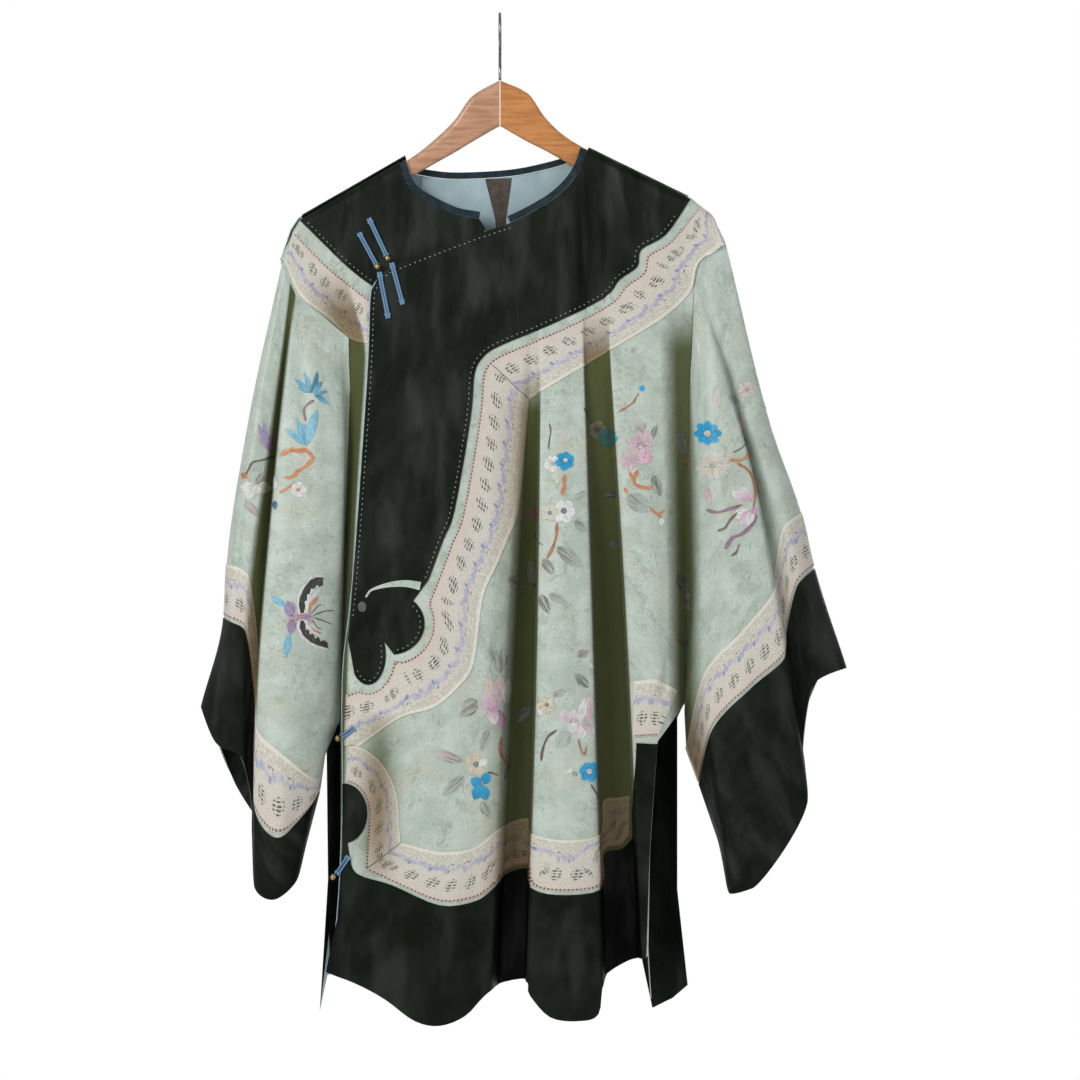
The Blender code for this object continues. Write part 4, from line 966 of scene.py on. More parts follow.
silk, tree, shader = principled("celadon_damask", (0.46, 0.54, 0.48), 0.42)
pattern = grouped(tree, damask, {"Place": own_place(tree), "Motif Scale": 74.0})
mottled = between(tree, pattern.outputs["Mottle"], 0.36, 0.66)
colour = mix(tree, mottled, (0.465, 0.525, 0.465), (0.365, 0.430, 0.365))
warm = noise(tree, own_place(tree), 17.0, 3.0, 0.6)
colour = mix(tree, between(tree, warm, 0.50, 0.70, 0.0, 0.65), colour, (0.51, 0.50, 0.40))
rubbed = noise(tree, own_place(tree), 260.0, 3.0, 0.65)
colour = mix(tree, between(tree, rubbed, 0.52, 0.68, 0.0, 0.30), colour, (0.33, 0.40, 0.33))
colour = mix(tree, between(tree, rubbed, 0.44, 0.34, 0.0, 0.30), colour, (0.60, 0.66, 0.60))
colour = mix(tree, reckon(tree, "MULTIPLY", pattern.outputs["Leaf"], 0.46), colour, (0.31, 0.36, 0.29))
colour = mix(tree, reckon(tree, "MULTIPLY", pattern.outputs["Outline"], 0.44), colour, (0.20, 0.23, 0.16))
# Painted shade: the silk turns dark olive in the deep folds, and reflects less there.
colour = mix(tree, reckon(tree, "MULTIPLY", painted_fold_shade(tree), 0.95), colour, (0.054, 0.062, 0.010))
tree.links.new(colour, shader.inputs["Base Color"])
tree.links.new(between(tree, painted_fold_shade(tree), 0.0, 0.8, 0.45, 0.08), shader.inputs["Specular IOR Level"])
gloss = reckon(tree, "SUBTRACT", 0.46, reckon(tree, "MULTIPLY", pattern.outputs["Leaf"], 0.12))
tree.links.new(gloss, shader.inputs["Roughness"])
shader.inputs["Sheen Weight"].default_value = 0.12
shader.inputs["Sheen Roughness"].default_value = 0.4
soft = grouped(tree, wrinkles, {"Place": own_place(tree), "Turn": (0, 0, 0.12), "Stretch": (60, 11, 20)})
height = reckon(tree, "ADD", reckon(tree, "MULTIPLY", pattern.outputs["Weave"], 0.03), soft.outputs[0])
height = reckon(tree, "ADD", height, reckon(tree, "MULTIPLY", pattern.outputs["Leaf"], 0.04))
bumped(tree, shader, height, 0.55, 0.0022)

lining, tree, shader = principled("pale_blue_cotton", (0.38, 0.53, 0.60), 0.8)
place = own_place(tree)
weave = node(tree, "ShaderNodeTexChecker", {"Vector": place, "Scale": 900.0}).outputs["Fac"]
faded = noise(tree, place, 22.0, 4.0, 0.6)
colour = mix(tree, between(tree, faded, 0.35, 0.7), (0.36, 0.465, 0.49), (0.27, 0.365, 0.40))
tree.links.new(colour, shader.inputs["Base Color"])
bumped(tree, shader, reckon(tree, "ADD", reckon(tree, "MULTIPLY", weave, 0.1), faded), 0.35, 0.0015)

front = body_sheet(FRONT_FOLDS, -1, ARCH_OUT, FRONT_SHADES)
front.crease(FRONT_CREASES, -1)
front.paint_crease_shade(FRONT_CREASE_SHADES, -1)

over_neck = curved(places(OVER_NECK), 5)
below_over_binding = beside(over_neck, -BINDING_WIDTH - BINDING_GAP)
closing = curved(places(CLOSING_EDGE), 4)
hem = list(reversed(curved(places(FRONT_HEM), 4)))
left_slit = list(reversed(places(FRONT_LEFT_SLIT)))
over_outline = ([(95, -143.4), (204, -197), (227, -216)] + curved(places(LEFT_ARMHOLE), 3) + left_slit + hem
                + list(reversed(closing))[1:] + below_over_binding)
sheets = {}
LEAST_CUT = 0.0101


def flat_size(cloth, spots, faces):
    """The width, length and area in metres that a cut piece had when it lay flat."""
    place = cloth.read(spots, cloth.flat_place) * MM
    a, b, c = (cloth.at(spots, 0.0)[np.array(faces)[:, k]] * MM for k in range(3))
    area = float(np.linalg.norm(np.cross(b - a, c - a), axis=1).sum() / 2)
    width, length = (max(float(x), LEAST_CUT) for x in place.max(axis=0) - place.min(axis=0))
    if area < 0.45 * width * length:
        # A narrow strip on a slant or a curve is measured along its own length.
        length = math.hypot(width, length)
        width = max(area / length, LEAST_CUT)
    return (round(width, 4), round(length, 4)), area


def sew(name, cloth, outline, lifts, finishes, slot, nodes=(), facing=-1, own_map=None, step=4.0):
    """A piece of cloth cut to an outline and laid on a sheet."""
    spots, faces = cut(cloth, outline, facing, step)
    if own_map is not None:
        own_map = own_map(cloth.at(spots, lifts[1])[:, (0, 2)])
    made = hold(thicken(name, cloth, spots, faces, lifts, finishes, own_map), slot, *nodes)
    sheets[name] = flat_size(cloth, spots, faces)
    return made


sew("overlap_silk", front, over_outline, SILK, [silk, lining], "celadon_silk", ["front_over"])


# The under front: the right front, which passes below the overlap and shows beside its yoke.
# It lies 3 mm behind the overlap and is held to it by the frogs.
UNDER_SILK = (-3.0, -2.1)
UNDER_LAID = (-2.0, -1.1)
UNDER_NECK = (
    ("right neck", -101, -156),
    ("side of neck", -93, -177),
    ("outer curve", -79, -190),
    ("inner curve", -47, -206),
    ("closing corner", -21, -211),
)
UNDER_SLIT = (("top", -172, -790), ("middle", -172, -880), ("foot", -174, -960))
UNDER_EDGE = (("foot", -168, -1000), ("foot inner", -50, -1010), ("waist", -40, -640), ("neck", -15, -230))
under_neck = curved(places(UNDER_NECK), 5)
below_under_binding = beside(under_neck, -BINDING_WIDTH - BINDING_GAP)
sew("under_front_silk", front, [(-110, -157.2), (-215, -218), (-223, -230)] + curved(places(RIGHT_ARMHOLE), 3)
    + places(UNDER_SLIT) + places(UNDER_EDGE) + list(reversed(below_under_binding)),
    UNDER_SILK, [silk, lining], "celadon_silk", ["front_under"])


# The back: one panel of the same damask from the crest of the shoulders to the hem, with three
# broad folds, open at the side slits. Its right and left low corners hang below the front's.
BACK_FOLDS = (
    ("right outer", -236, -222, -186, -206, 6, 4, 10),
    ("right shoulder", -224, -200, -178, -198, 7, 5, 11),
    ("right trough", -215, -163, -170, -190, 8, 6, 12),
    ("first ridge right", -182, -140, -148, -165, 14, 26, 30),
    ("first ridge crown", -143, -115, -118, -128, 18, 36, 48),
    ("first ridge left", -101, -85, -86, -90, 16, 28, 38),
    ("first trough", -80, -62, -62, -60, 13, 12, 14),
    ("middle ridge right", -55, -38, -38, -32, 16, 28, 36),
    ("middle ridge crown", -10, 0, 0, 4, 18, 34, 50),
    ("middle ridge left", 35, 38, 40, 42, 16, 28, 36),
    ("second trough", 62, 62, 66, 72, 13, 12, 14),
    ("last ridge right", 88, 88, 92, 102, 16, 28, 36),
    ("last ridge crown", 122, 122, 128, 140, 18, 36, 46),
    ("last ridge left", 160, 152, 164, 178, 15, 26, 26),
    ("left trough", 204, 200, 200, 202, 9, 5, 4),
    ("left shoulder", 227, 215, 212, 214, 7, 10, 9),
    ("left outer", 243, 230, 222, 226, 6, 16, 14),
)
BACK_CREASES = (
    (-120, -190, -110, -400, 9, 1.6),
    (-96, -200, -80, -420, 8, -1.6),
    (70, -190, 60, -420, 9, -1.5),
    (100, -180, 104, -380, 8, 1.5),
    (-10, -200, -4, -460, 10, 1.2),
    (-130, -420, -126, -820, 8, 1.0),
    (-108, -500, -112, -900, 7, -1.1),
    (-20, -460, -16, -860, 8, -1.0),
    (16, -520, 20, -960, 8, 1.1),
    (110, -440, 118, -860, 7, -1.1),
    (138, -500, 146, -920, 7, 1.0),
    (-150, -700, -158, -1000, 8, -1.3),
    (0, -800, 4, -1016, 9, 1.4),
    (150, -760, 160, -1040, 8, -1.3),
)
BACK_NECK = (
    ("right neck", -95, -161),
    ("right curve", -78, -165),
    ("middle right", -46, -168),
    ("middle left", 10, -165),
    ("left curve", 51, -157),
    ("left neck", 81, -148),
)
BACK_HEM = (
    ("right corner", -193, -1066),
    ("right notch", -185, -1028),
    ("right rise", -140, -1018),
    ("right ridge", -118, -1024),
    ("middle right", -60, -1014),
    ("middle ridge", 4, -1024),
    ("middle left", 72, -1012),
    ("left ridge", 128, -1016),
    ("left notch", 154, -1010),
    ("left corner", 164, -1064),
    ("left slope", 184, -1052),
    ("left edge", 199, -1038),
)
BACK_LEFT_SLIT = (("foot", 187, -936), ("middle", 174, -850), ("top", 178, -776))
BACK_RIGHT_SLIT = (("top", -175, -790), ("middle", -176, -880), ("foot", -183, -985))
# Painted shade in the back's troughs, in the same columns as the front's
BACK_SHADES = (
    ("right trough", "right shoulder", "first ridge right", 0.8, 0.3, -340, 0.8),
    ("first trough", "first ridge left", "middle ridge right", 0.7, 0.3, -360, 0.9),
    ("second trough", "middle ridge left", "last ridge right", 0.7, 0.3, -360, 0.9),
    ("left trough", "last ridge left", "left shoulder", 0.7, 0.3, -340, 0.8),
)
back = body_sheet(BACK_FOLDS, 1, ARCH_OUT, BACK_SHADES)
back.crease(BACK_CREASES, 1)
back_neck = curved(places(BACK_NECK), 5)
below_back_binding = beside(back_neck, -BINDING_WIDTH - BINDING_GAP)
back_left_slit = list(reversed(places(BACK_LEFT_SLIT)))
back_right_slit = list(reversed(places(BACK_RIGHT_SLIT)))
back_hem = list(reversed(places(BACK_HEM)))
sew("back_silk", back, [(-223, -230), (-215, -218), (-101, -152)] + below_back_binding
    + [(95, -143.4), (204, -197), (227, -216)] + curved(places(LEFT_ARMHOLE), 3) + back_left_slit
    + back_hem + back_right_slit + list(reversed(curved(places(RIGHT_ARMHOLE), 3))),
    SILK, [silk, lining], "celadon_silk", ["back"], facing=1)


# The wide sleeves: damask tubes sewn into the armholes, open at the cuff. Each hangs in a lobe at
# the front, with a narrow outer strip behind it and a fold at the top.
SLEEVE_ROWS = (24, 24)
ATTACHED_ROWS = 45
RIBBON_ROWS = 9
CUFF_ROWS = 14
CUFF_SEAM = 0.94
SLEEVE_STEP = 5.5
ARMHOLE_GAP = 0.4
# Name, start along the armhole from the armpit fold, then x, z, y at the upper arm, at the top of the
# ribbon, at the cuff seam and at the end
RIGHT_SLEEVE_FOLDS = (
    ("lobe inner", 0.14, -167, -465, -24, -196, -818, -30, -202, -844, -34, -218, -924, -36),
    ("lobe crown", 0.28, -200, -465, -40, -230, -790, -56, -236, -878, -58, -242, -944, -58),
    ("lobe outer", 0.618, -235, -465, -34, -258, -757, -47, -260, -845, -47, -259, -932, -47),
    ("front gap", 0.70, -239, -468, -14, -258, -690, -29, -261, -762, -30, -264, -852, -31),
    ("strip inner", 0.78, -249, -462, -24, -269, -598, -35, -273, -656, -36, -277, -792, -38),
    ("strip crown", 0.88, -261, -452, -27, -281, -590, -34, -284, -650, -36, -300, -780, -36),
    ("top fold", 1.00, -269, -440, -8, -291, -587, -8, -294, -645, -8, -318, -740, -6),
    ("back outer", 0.84, -258, -455, 16, -276, -615, 22, -282, -672, 26, -303, -778, 30),
    ("back ridge", 0.618, -240, -465, 30, -258, -680, 42, -266, -745, 46, -288, -818, 50),
    ("back trough", 0.45, -216, -470, 11, -238, -735, 12, -245, -798, 12, -258, -862, 12),
    ("back inner", 0.28, -186, -468, 28, -212, -775, 40, -217, -826, 42, -230, -892, 44),
)
RIGHT_UNDERSEAM = ("underseam", 0.0, -173, -756, 0, -189, -794, -6, -194, -830, -10, -210, -892, -14)
LEFT_SLEEVE_FOLDS = (
    ("lobe inner", 0.16, 213, -500, -28, 219, -704, -40, 226, -766, -44, 247, -938, -46),
    ("lobe crown", 0.44, 238, -492, -44, 256, -660, -56, 266, -720, -58, 268, -932, -58),
    ("lobe outer", 0.636, 262, -470, -38, 290, -617, -50, 302, -687, -52, 326, -840, -50),
    ("front gap", 0.74, 266, -474, -16, 293, -600, -29, 305, -668, -31, 323, -790, -32),
    ("strip inner", 0.811, 275, -455, -26, 303, -546, -35, 317, -610, -37, 335, -714, -38),
    ("top fold", 1.00, 288, -438, -9, 321, -533, -9, 335, -593, -8, 369, -699, -6),
    ("back outer", 0.811, 276, -456, 18, 308, -560, 26, 322, -618, 30, 349, -702, 34),
    ("back ridge", 0.636, 256, -470, 34, 286, -620, 46, 299, -684, 50, 317, -780, 54),
    ("back trough", 0.42, 240, -480, 12, 266, -680, 12, 277, -745, 12, 296, -860, 12),
    ("back inner", 0.20, 219, -490, 30, 238, -716, 40, 246, -775, 44, 262, -890, 46),
)
LEFT_UNDERSEAM = ("underseam", 0.0, 197, -736, 0, 200, -784, -4, 214, -822, -6, 238, -892, -10)
# Painted shade in each sleeve's gap, troughs and armhole seam, in the same columns as the front's
SLEEVE_SHADES = {
    "right": (
        ("gap", "lobe outer", "strip inner", 0.5, 0.35, -232, 1.0),
        ("back trough", "back ridge", "back inner", 0.7, 0.5, -380, 0.8)),
    "left": (
        ("seam", "armhole", "lobe inner", 0.01, 0.7, -330, 0.95),
        ("gap", "lobe outer", "strip inner", 0.6, 0.5, -420, 0.22),
        ("back trough", "back ridge", "back inner", 0.7, 0.5, -380, 0.8)),
}
SLEEVE_CREASES = {
    "right": (
        (-216, -310, -206, -470, 5, -1.4), (-206, -330, -186, -560, 7, 1.2),
        (-190, -350, -180, -620, 6, -1.2), (-224, -420, -232, -700, 8, 1.2),
        (-208, -480, -206, -760, 7, -1.1), (-232, -560, -246, -800, 6, -0.9),
        (-228, -800, -240, -930, 6, 1.2), (-214, -820, -226, -930, 6, -1.2),
        (-250, -340, -264, -520, 4, 0.8), (-268, -480, -280, -640, 4, -0.8),
        (-284, -640, -300, -760, 6, -1.0)),
    "left": (
        (214, -300, 222, -480, 6, -1.4), (222, -290, 246, -470, 6, 1.3), (238, -320, 262, -520, 6, -1.2),
        (224, -400, 240, -650, 8, 1.2), (246, -440, 262, -660, 6, -1.1), (262, -420, 292, -600, 5, 1.0),
        (280, -440, 306, -560, 5, -0.9), (252, -680, 262, -900, 8, 1.2), (274, -690, 280, -880, 8, -1.3),
        (296, -680, 306, -850, 7, 1.2), (236, -740, 244, -900, 6, -1.0), (300, -560, 346, -700, 6, -1.0)),
}


def along(path, share):
    """The point at a share of a path's length."""
    steps = [math.dist(a, b) for a, b in zip(path, path[1:])]
    left = share * sum(steps)
    for (a, b), step in zip(zip(path, path[1:]), steps):
        if left <= step:
            return tuple(p + (q - p) * left / step for p, q in zip(a, b))
        left -= step
    return tuple(path[-1])


def sleeve_sheet(side, folds, underseam, armhole, front_lift):
    """A sleeve as one tube, open along the armhole as far as the underarm."""
    line = places(armhole)
    shoulder = list(reversed(line[:4]))
    drop = line[3:]
    upper = sum(SLEEVE_ROWS)
    at = [k / SLEEVE_ROWS[0] for k in range(SLEEVE_ROWS[0])]
    at += [1 + k / SLEEVE_ROWS[1] for k in range(SLEEVE_ROWS[1])]
    at += [2 + CUFF_SEAM * k / RIBBON_ROWS for k in range(RIBBON_ROWS + 1)]
    at += [3 + k / CUFF_ROWS for k in range(CUFF_ROWS + 1)]
    at = np.array(at)

    def from_body(body, facing, place, lift):
        spot = [body.find(*place, facing)]
        return body.at(spot, lift)[0], body.read(spot, body.normals)[0]

    names = [fold[0] for fold in folds]
    top = names.index("top fold")
    grid, tops = [], []
    for number, fold in enumerate(folds):
        body, facing, lift = (front, -1, front_lift) if number <= top else (back, 1, 0.0)
        start, normal = from_body(body, facing, along(shoulder, fold[1]), lift)
        away = (0.75 * side, 0.0, -0.66) if fold[1] > 0.3 else (side * 0.95, 0.0, -0.3)
        tops.append(normal)
        stops = [start + np.array(away) * ARMHOLE_GAP]
        stops += [np.array((x, y, z)) for x, z, y in (fold[2:5], fold[5:8], fold[8:11], fold[11:14])]
        steps = [np.linalg.norm(b - a) for a, b in zip(stops, stops[1:])]
        lengths = np.concatenate(([0.0], np.cumsum(steps)))
        grid.append(smooth(lengths, np.array(stops), np.interp(at, range(5), lengths)))
    seam = np.array([(x, y, z) for x, z, y in (underseam[5:8], underseam[8:11], underseam[11:14])])
    low = np.stack([np.interp(at[upper:], (2, 3, 4), seam[:, k]) for k in range(3)], axis=1)
    sides, side_normals = [], []
    for body, facing, lift in ((front, -1, front_lift), (back, 1, 0.0)):
        found = [from_body(body, facing, along(drop, min(k / (ATTACHED_ROWS - 1), 1.0) * 0.995), lift)
                 for k in range(ATTACHED_ROWS)]
        sides.append([point + np.array((side, 0.0, 0.0)) * ARMHOLE_GAP for point, _ in found])
        side_normals.append([normal for _, normal in found])
    foot = (sides[0][-1] + sides[1][-1]) / 2
    free = upper - ATTACHED_ROWS + 1
    rest = [foot + (low[0] - foot) * k / free for k in range(1, free)]
    sides = [np.array(edge + rest + list(low)) for edge in sides]
    grid = np.array([sides[0]] + grid + [sides[1]])
    spans = np.linalg.norm(np.diff(grid, axis=0), axis=2).max(axis=1)
    wide = parted(spans, SLEEVE_STEP)
    numbers = np.arange(len(grid))
    curvy = smooth(numbers, grid.reshape(len(grid), -1), wide).reshape(len(wide), len(at), 3)
    plain = np.stack([np.interp(wide, numbers, grid[:, 0, k]) for k in range(3)], axis=1)
    ease = np.clip(at / 0.3, 0, 1)[None, :, None]
    tilt = plain[:, None, :] - curvy[:, :1, :]
    sheet = Cloth(np.transpose(curvy + tilt * (1 - ease), (1, 0, 2)), -side)
    side_name = "right" if side < 0 else "left"
    sheet.crease(SLEEVE_CREASES[side_name], -1)
    sheet.crease([row[:5] + (-row[5],) for row in SLEEVE_CREASES[side_name]], 1)
    for j in range(ATTACHED_ROWS):
        sheet.normals[j, 0], sheet.normals[j, -1] = side_normals[0][j], side_normals[1][j]
    tops = np.array([side_normals[0][0]] + tops + [side_normals[1][0]])
    edge = np.stack([np.interp(wide, numbers, tops[:, k]) for k in range(3)], axis=1)
    sheet.normals[0] = edge / np.linalg.norm(edge, axis=1, keepdims=True)
    joined = sheet.normals[ATTACHED_ROWS:, 0] + sheet.normals[ATTACHED_ROWS:, -1]
    joined /= np.linalg.norm(joined, axis=1, keepdims=True)
    sheet.normals[ATTACHED_ROWS:, 0] = sheet.normals[ATTACHED_ROWS:, -1] = joined
    sheet.paint_fold_shade([("armhole",)] + list(folds) + [("back armhole",)], wide, SLEEVE_SHADES[side_name])
    return sheet


def round_sleeve(name, sheet, first, last, lifts, finishes, slot, nodes, ribbon=False):
    """A piece all round a sleeve between two of its rows."""
    wide = sheet.across_count + 1
    spots = [(float(i), float(j)) for j in range(first, last + 1) for i in range(wide)]
    weld = np.arange(len(spots))
    for j in range(max(first, ATTACHED_ROWS), last + 1):
        weld[(j - first) * wide + wide - 1] = (j - first) * wide
    faces = []
    for j in range(last - first):
        for i in range(wide - 1):
            a = j * wide + i
            faces += [[a, a + 1, a + wide + 1], [a, a + wide + 1, a + wide]]
    own_map = None
    if ribbon:
        around = np.cumsum(np.linalg.norm(np.diff(sheet.points[(first + last) // 2], axis=0), axis=1))
        around = np.concatenate(([0.0], around)) * MM
        own_map = [(around[int(i)], 1 - (j - first) / (last - first)) for i, j in spots]
    made = thicken(name, sheet, spots, faces, lifts, finishes, own_map, weld)
    hold(made, slot, *nodes)
    area = flat_size(sheet, spots, faces)[1]
    run = sheet.flat_place[last, :, 1] - sheet.flat_place[first, :, 1]
    length = float(run.mean()) * MM
    sheets[name] = ((round(area / length, 4), round(length, 4)), area)
    return made


right_sleeve = sleeve_sheet(-1, RIGHT_SLEEVE_FOLDS, RIGHT_UNDERSEAM, RIGHT_ARMHOLE, UNDER_SILK[0])
left_sleeve = sleeve_sheet(1, LEFT_SLEEVE_FOLDS, LEFT_UNDERSEAM, LEFT_ARMHOLE, 0.0)
RIBBON_TOP_ROW = sum(SLEEVE_ROWS)
RIBBON_LOW_ROW = RIBBON_TOP_ROW + RIBBON_ROWS
CUFF_TOP_ROW = RIBBON_LOW_ROW + 1
for side_name, sheet in (("right", right_sleeve), ("left", left_sleeve)):
    round_sleeve("sleeve_" + side_name + "_silk", sheet, 0, sheet.down_count, SILK, [silk, lining],
                 "celadon_silk", ["sleeve_" + side_name + "_front", "sleeve_" + side_name + "_back"])


# The folds over the shoulder points: the damask runs on over each shoulder without a seam above the
# sleeve. It closes the body between the front and the back, and turns in inside the sleeve's crown.
SHOULDER_FOLDS = {
    "right": (RIGHT_ARMHOLE, ((-212, -217.5), (-218, -229), (-225, -243), (-230, -253), (-234.5, -263)),
              UNDER_SILK, 1.0, -1.5),
    "left": (LEFT_ARMHOLE, ((205, -197.8), (216, -206.9), (227, -216), (234, -231), (240, -244)),
             SILK, -1.0, 1.5),
}
FOLD_DEPTH = 4.0


def bridge(name, rows, inward):
    """A thin closed strip of silk through several rows of places, from the front to the back."""
    count, last = len(rows[0]), len(rows) - 1

    def number(level, row, k):
        return (level * (last + 1) + row) * count + k

    points = np.concatenate([row + np.array(inward) * level for level in (0.0, 1.0) for row in rows])
    faces = []
    for row in range(last):
        for k in range(count - 1):
            square = [(row, k), (row, k + 1), (row + 1, k + 1), (row + 1, k)]
            faces.append([number(0, *place) for place in square])
            faces.append([number(1, *place) for place in reversed(square)])
        faces.append([number(0, row, 0), number(0, row + 1, 0), number(1, row + 1, 0), number(1, row, 0)])
        faces.append([number(0, row + 1, count - 1), number(0, row, count - 1), number(1, row, count - 1),
                      number(1, row + 1, count - 1)])
    for k in range(count - 1):
        faces.append([number(0, 0, k + 1), number(0, 0, k), number(1, 0, k), number(1, 0, k + 1)])
        faces.append([number(0, last, k), number(0, last, k + 1), number(1, last, k + 1), number(1, last, k)])
    halves = [part for a, b, c, d in faces for part in ((a, b, c), (a, c, d))]
    volume = sum(float(np.dot(points[a], np.cross(points[b], points[c]))) for a, b, c in halves)
    if volume < 0:
        faces = [list(reversed(face)) for face in faces]
    own_map = np.array([points[k][1:] * MM for face in faces for k in face])
    made = piece(name, points, faces, [silk], own_map)
    mark(made, "fold", np.zeros(len(points)))
    hold(made, "celadon_silk")
    width = sum(float(np.linalg.norm(rows[k + 1] - rows[k], axis=1).mean()) for k in range(last)) * MM
    length = float(np.linalg.norm(np.diff(rows[0], axis=0), axis=1).sum()) * MM
    sheets[name] = ((round(max(width, LEAST_CUT), 4), round(length, 4)), width * length)


for side_name, (armhole, crest, lifts, way, turned_in) in SHOULDER_FOLDS.items():
    line = beside(curved(places(armhole), 5)[:14], turned_in)
    fore = front.at([front.find(x, z, -1) for x, z in line], lifts[0] - 0.2)
    aft = back.at([back.find(x, z, 1) for x, z in line], -0.2)
    turned = [fore * (1 - k) + aft * k for k in np.linspace(0, 1, 7)]
    bridge("shoulder_turning_" + side_name + "_silk", turned, (0.9 * way, 0.0, -0.4))
    crest = curved(list(crest), 4)
    inner = [(x + way * FOLD_DEPTH, z - 0.5) for x, z in crest]
    fore = front.at([front.find(x, z, -1) for x, z in inner], lifts[1] + 0.35)
    aft = back.at([back.find(x, z, 1) for x, z in inner], SILK[1] + 0.35)
    top = np.array([(x - way * 1.1, 0.0, z + 0.7) for x, z in crest])
    top[:, 1] = (fore[:, 1] + aft[:, 1]) / 2
    before = (fore + top) / 2 + (top - (fore + aft) / 2) * 0.24
    after = (aft + top) / 2 + (top - (fore + aft) / 2) * 0.24
    bridge("shoulder_fold_" + side_name + "_silk", [fore, before, top, after, aft], (0.5 * way, 0.0, -0.3))


# The armhole seams: narrow turnings of the damask, which lie behind the join of each sleeve to the
# front and the back.
TURNING = 3.2
BEHIND = (-0.9, -0.1)
ARM_SEAMS = (
    ("front_right", front, -1, RIGHT_ARMHOLE, (-4.0, -3.1)),
    ("front_left", front, -1, LEFT_ARMHOLE, BEHIND),
    ("back_right", back, 1, RIGHT_ARMHOLE, BEHIND),
    ("back_left", back, 1, LEFT_ARMHOLE, BEHIND),
)
for name, cloth, facing, armhole, lifts in ARM_SEAMS:
    line = curved(places(armhole), 3)[2:-1]
    outline = beside(line, TURNING) + list(reversed(beside(line, -TURNING)))
    sew("turning_" + name + "_silk", cloth, outline, lifts, [silk], "celadon_silk", facing=facing)


# The black satin: a yoke and placket on the overlap that end in a cloud, yokes on the under front and
# the back, cuffs, borders at the hem and a lobe at the right slit. All are laid on the damask.
YOKE_EDGE = (
    ("shoulder", 203, -199),
    ("upper slope", 177, -236),
    ("step outer", 151, -252),
    ("step inner", 147, -270),
    ("second step", 128, -284),
    ("second drop", 112, -303),
    ("long slope", 59, -330),
    ("corner outer", 2, -354),
    ("corner", -17, -366),
    ("placket top", -27, -385),
    ("placket", -31, -431),
    ("placket bow", -48, -530),
    ("placket low", -60, -562),
    ("neck of cloud", -75, -603),
)
UPPER_LOBE = {"x": -116, "z": -651, "across": 36, "high": 33}
LOWER_LOBE = {"x": -140, "z": -684, "across": 19, "high": 32}
UNDER_YOKE_LOW = (
    ("shoulder", -215, -219),
    ("upper", -186, -248),
    ("middle", -162, -271),
    ("closing corner", -134, -292),
    ("below overlap", -100, -310),
)
BACK_YOKE_LOW = (
    ("right shoulder", -212, -219),
    ("right slope", -162, -262),
    ("right cloud", -108, -300),
    ("middle", -6, -318),
    ("left cloud", 96, -300),
    ("left slope", 150, -262),
    ("left shoulder", 202, -199),
)
HEM_TOP = (
    ("slit", -160, -896),
    ("right", -152, -917),
    ("belly right", -114, -929),
    ("belly", -64, -950),
    ("belly left", -27, -946),
    ("belly edge", -10, -935),
    ("trough", 6, -919),
    ("trough end", 30, -913),
    ("ridge start", 33, -931),
    ("ridge", 60, -939),
    ("ridge end", 108, -933),
    ("second trough", 111, -898),
    ("left rise", 130, -892),
    ("left slit border", 142, -880),
)
BACK_BORDER_TOP = (
    ("right slit", -150, -792),
    ("right corner", -148, -900),
    ("right ridge", -118, -910),
    ("first trough", -60, -902),
    ("middle ridge", 4, -911),
    ("second trough", 70, -900),
    ("left ridge", 124, -904),
    ("left corner", 148, -894),
    ("left slit", 146, -778),
)
SLIT_LOBE = {"x": -166, "z": -853, "across": 25, "high": 32}


def oval(lobe, start, end, steps):
    """Part of an oval, between two angles in degrees, anticlockwise from +X."""
    turns = [math.radians(start + (end - start) * k / steps) for k in range(steps + 1)]
    return [(lobe["x"] + lobe["across"] * math.cos(a), lobe["z"] + lobe["high"] * math.sin(a)) for a in turns]


# The edges of silk that the satin wraps along the shoulders, and how far down
SHOULDER_EDGES = ((-212, -216.3, -101, -152.1), (95, -143.5, 201, -195.6))
EDGE_WRAP = 2.2

satin, tree, shader = principled("black_satin_cloth", (0.02, 0.021, 0.017), 0.4)
place = own_place(tree)
# Painted sheen: the satin's colour is lighter where the fine sheen noise is high, and lighter still in broad
# soft patches.
sheen = noise(tree, place, 26.0, 4.0, 0.6)
colour = mix(tree, between(tree, sheen, 0.38, 0.66), (0.0030, 0.0056, 0.0022), (0.0085, 0.0115, 0.0070))
painted_sheen_patches = noise(tree, place, 9.0, 3.0, 0.55)
colour = mix(tree, between(tree, painted_sheen_patches, 0.48, 0.72, 0.0, 0.8), colour, (0.0150, 0.0185, 0.0135))
# Painted shade: the satin goes almost black in the deep folds and creases.
colour = mix(tree, painted_fold_shade(tree), colour, (0.0008, 0.0016, 0.0008))
tree.links.new(colour, shader.inputs["Base Color"])
tree.links.new(between(tree, sheen, 0.35, 0.7, 0.36, 0.50), shader.inputs["Roughness"])
lit = grouped(tree, wrinkles, {"Place": place, "Turn": (0, 0, 0.5), "Stretch": (30, 9, 10)})
tree.links.new(between(tree, lit.outputs[0], 0.45, 0.68, 0.07, 0.24), shader.inputs["Specular IOR Level"])
across = grouped(tree, wrinkles, {"Place": place, "Turn": (0, 0, 0.75), "Stretch": (44, 12, 20)})
down = grouped(tree, wrinkles, {"Place": place, "Turn": (0, 0, -0.1), "Stretch": (38, 8, 20)})
ribs = node(tree, "ShaderNodeTexWave", {"Vector": place, "Scale": 380.0, "Distortion": 0.4}).outputs["Fac"]
height = reckon(tree, "ADD", across.outputs[0], down.outputs[0])
height = reckon(tree, "ADD", height, reckon(tree, "MULTIPLY", ribs, 0.03))
bumped(tree, shader, height, 0.8, 0.0045)

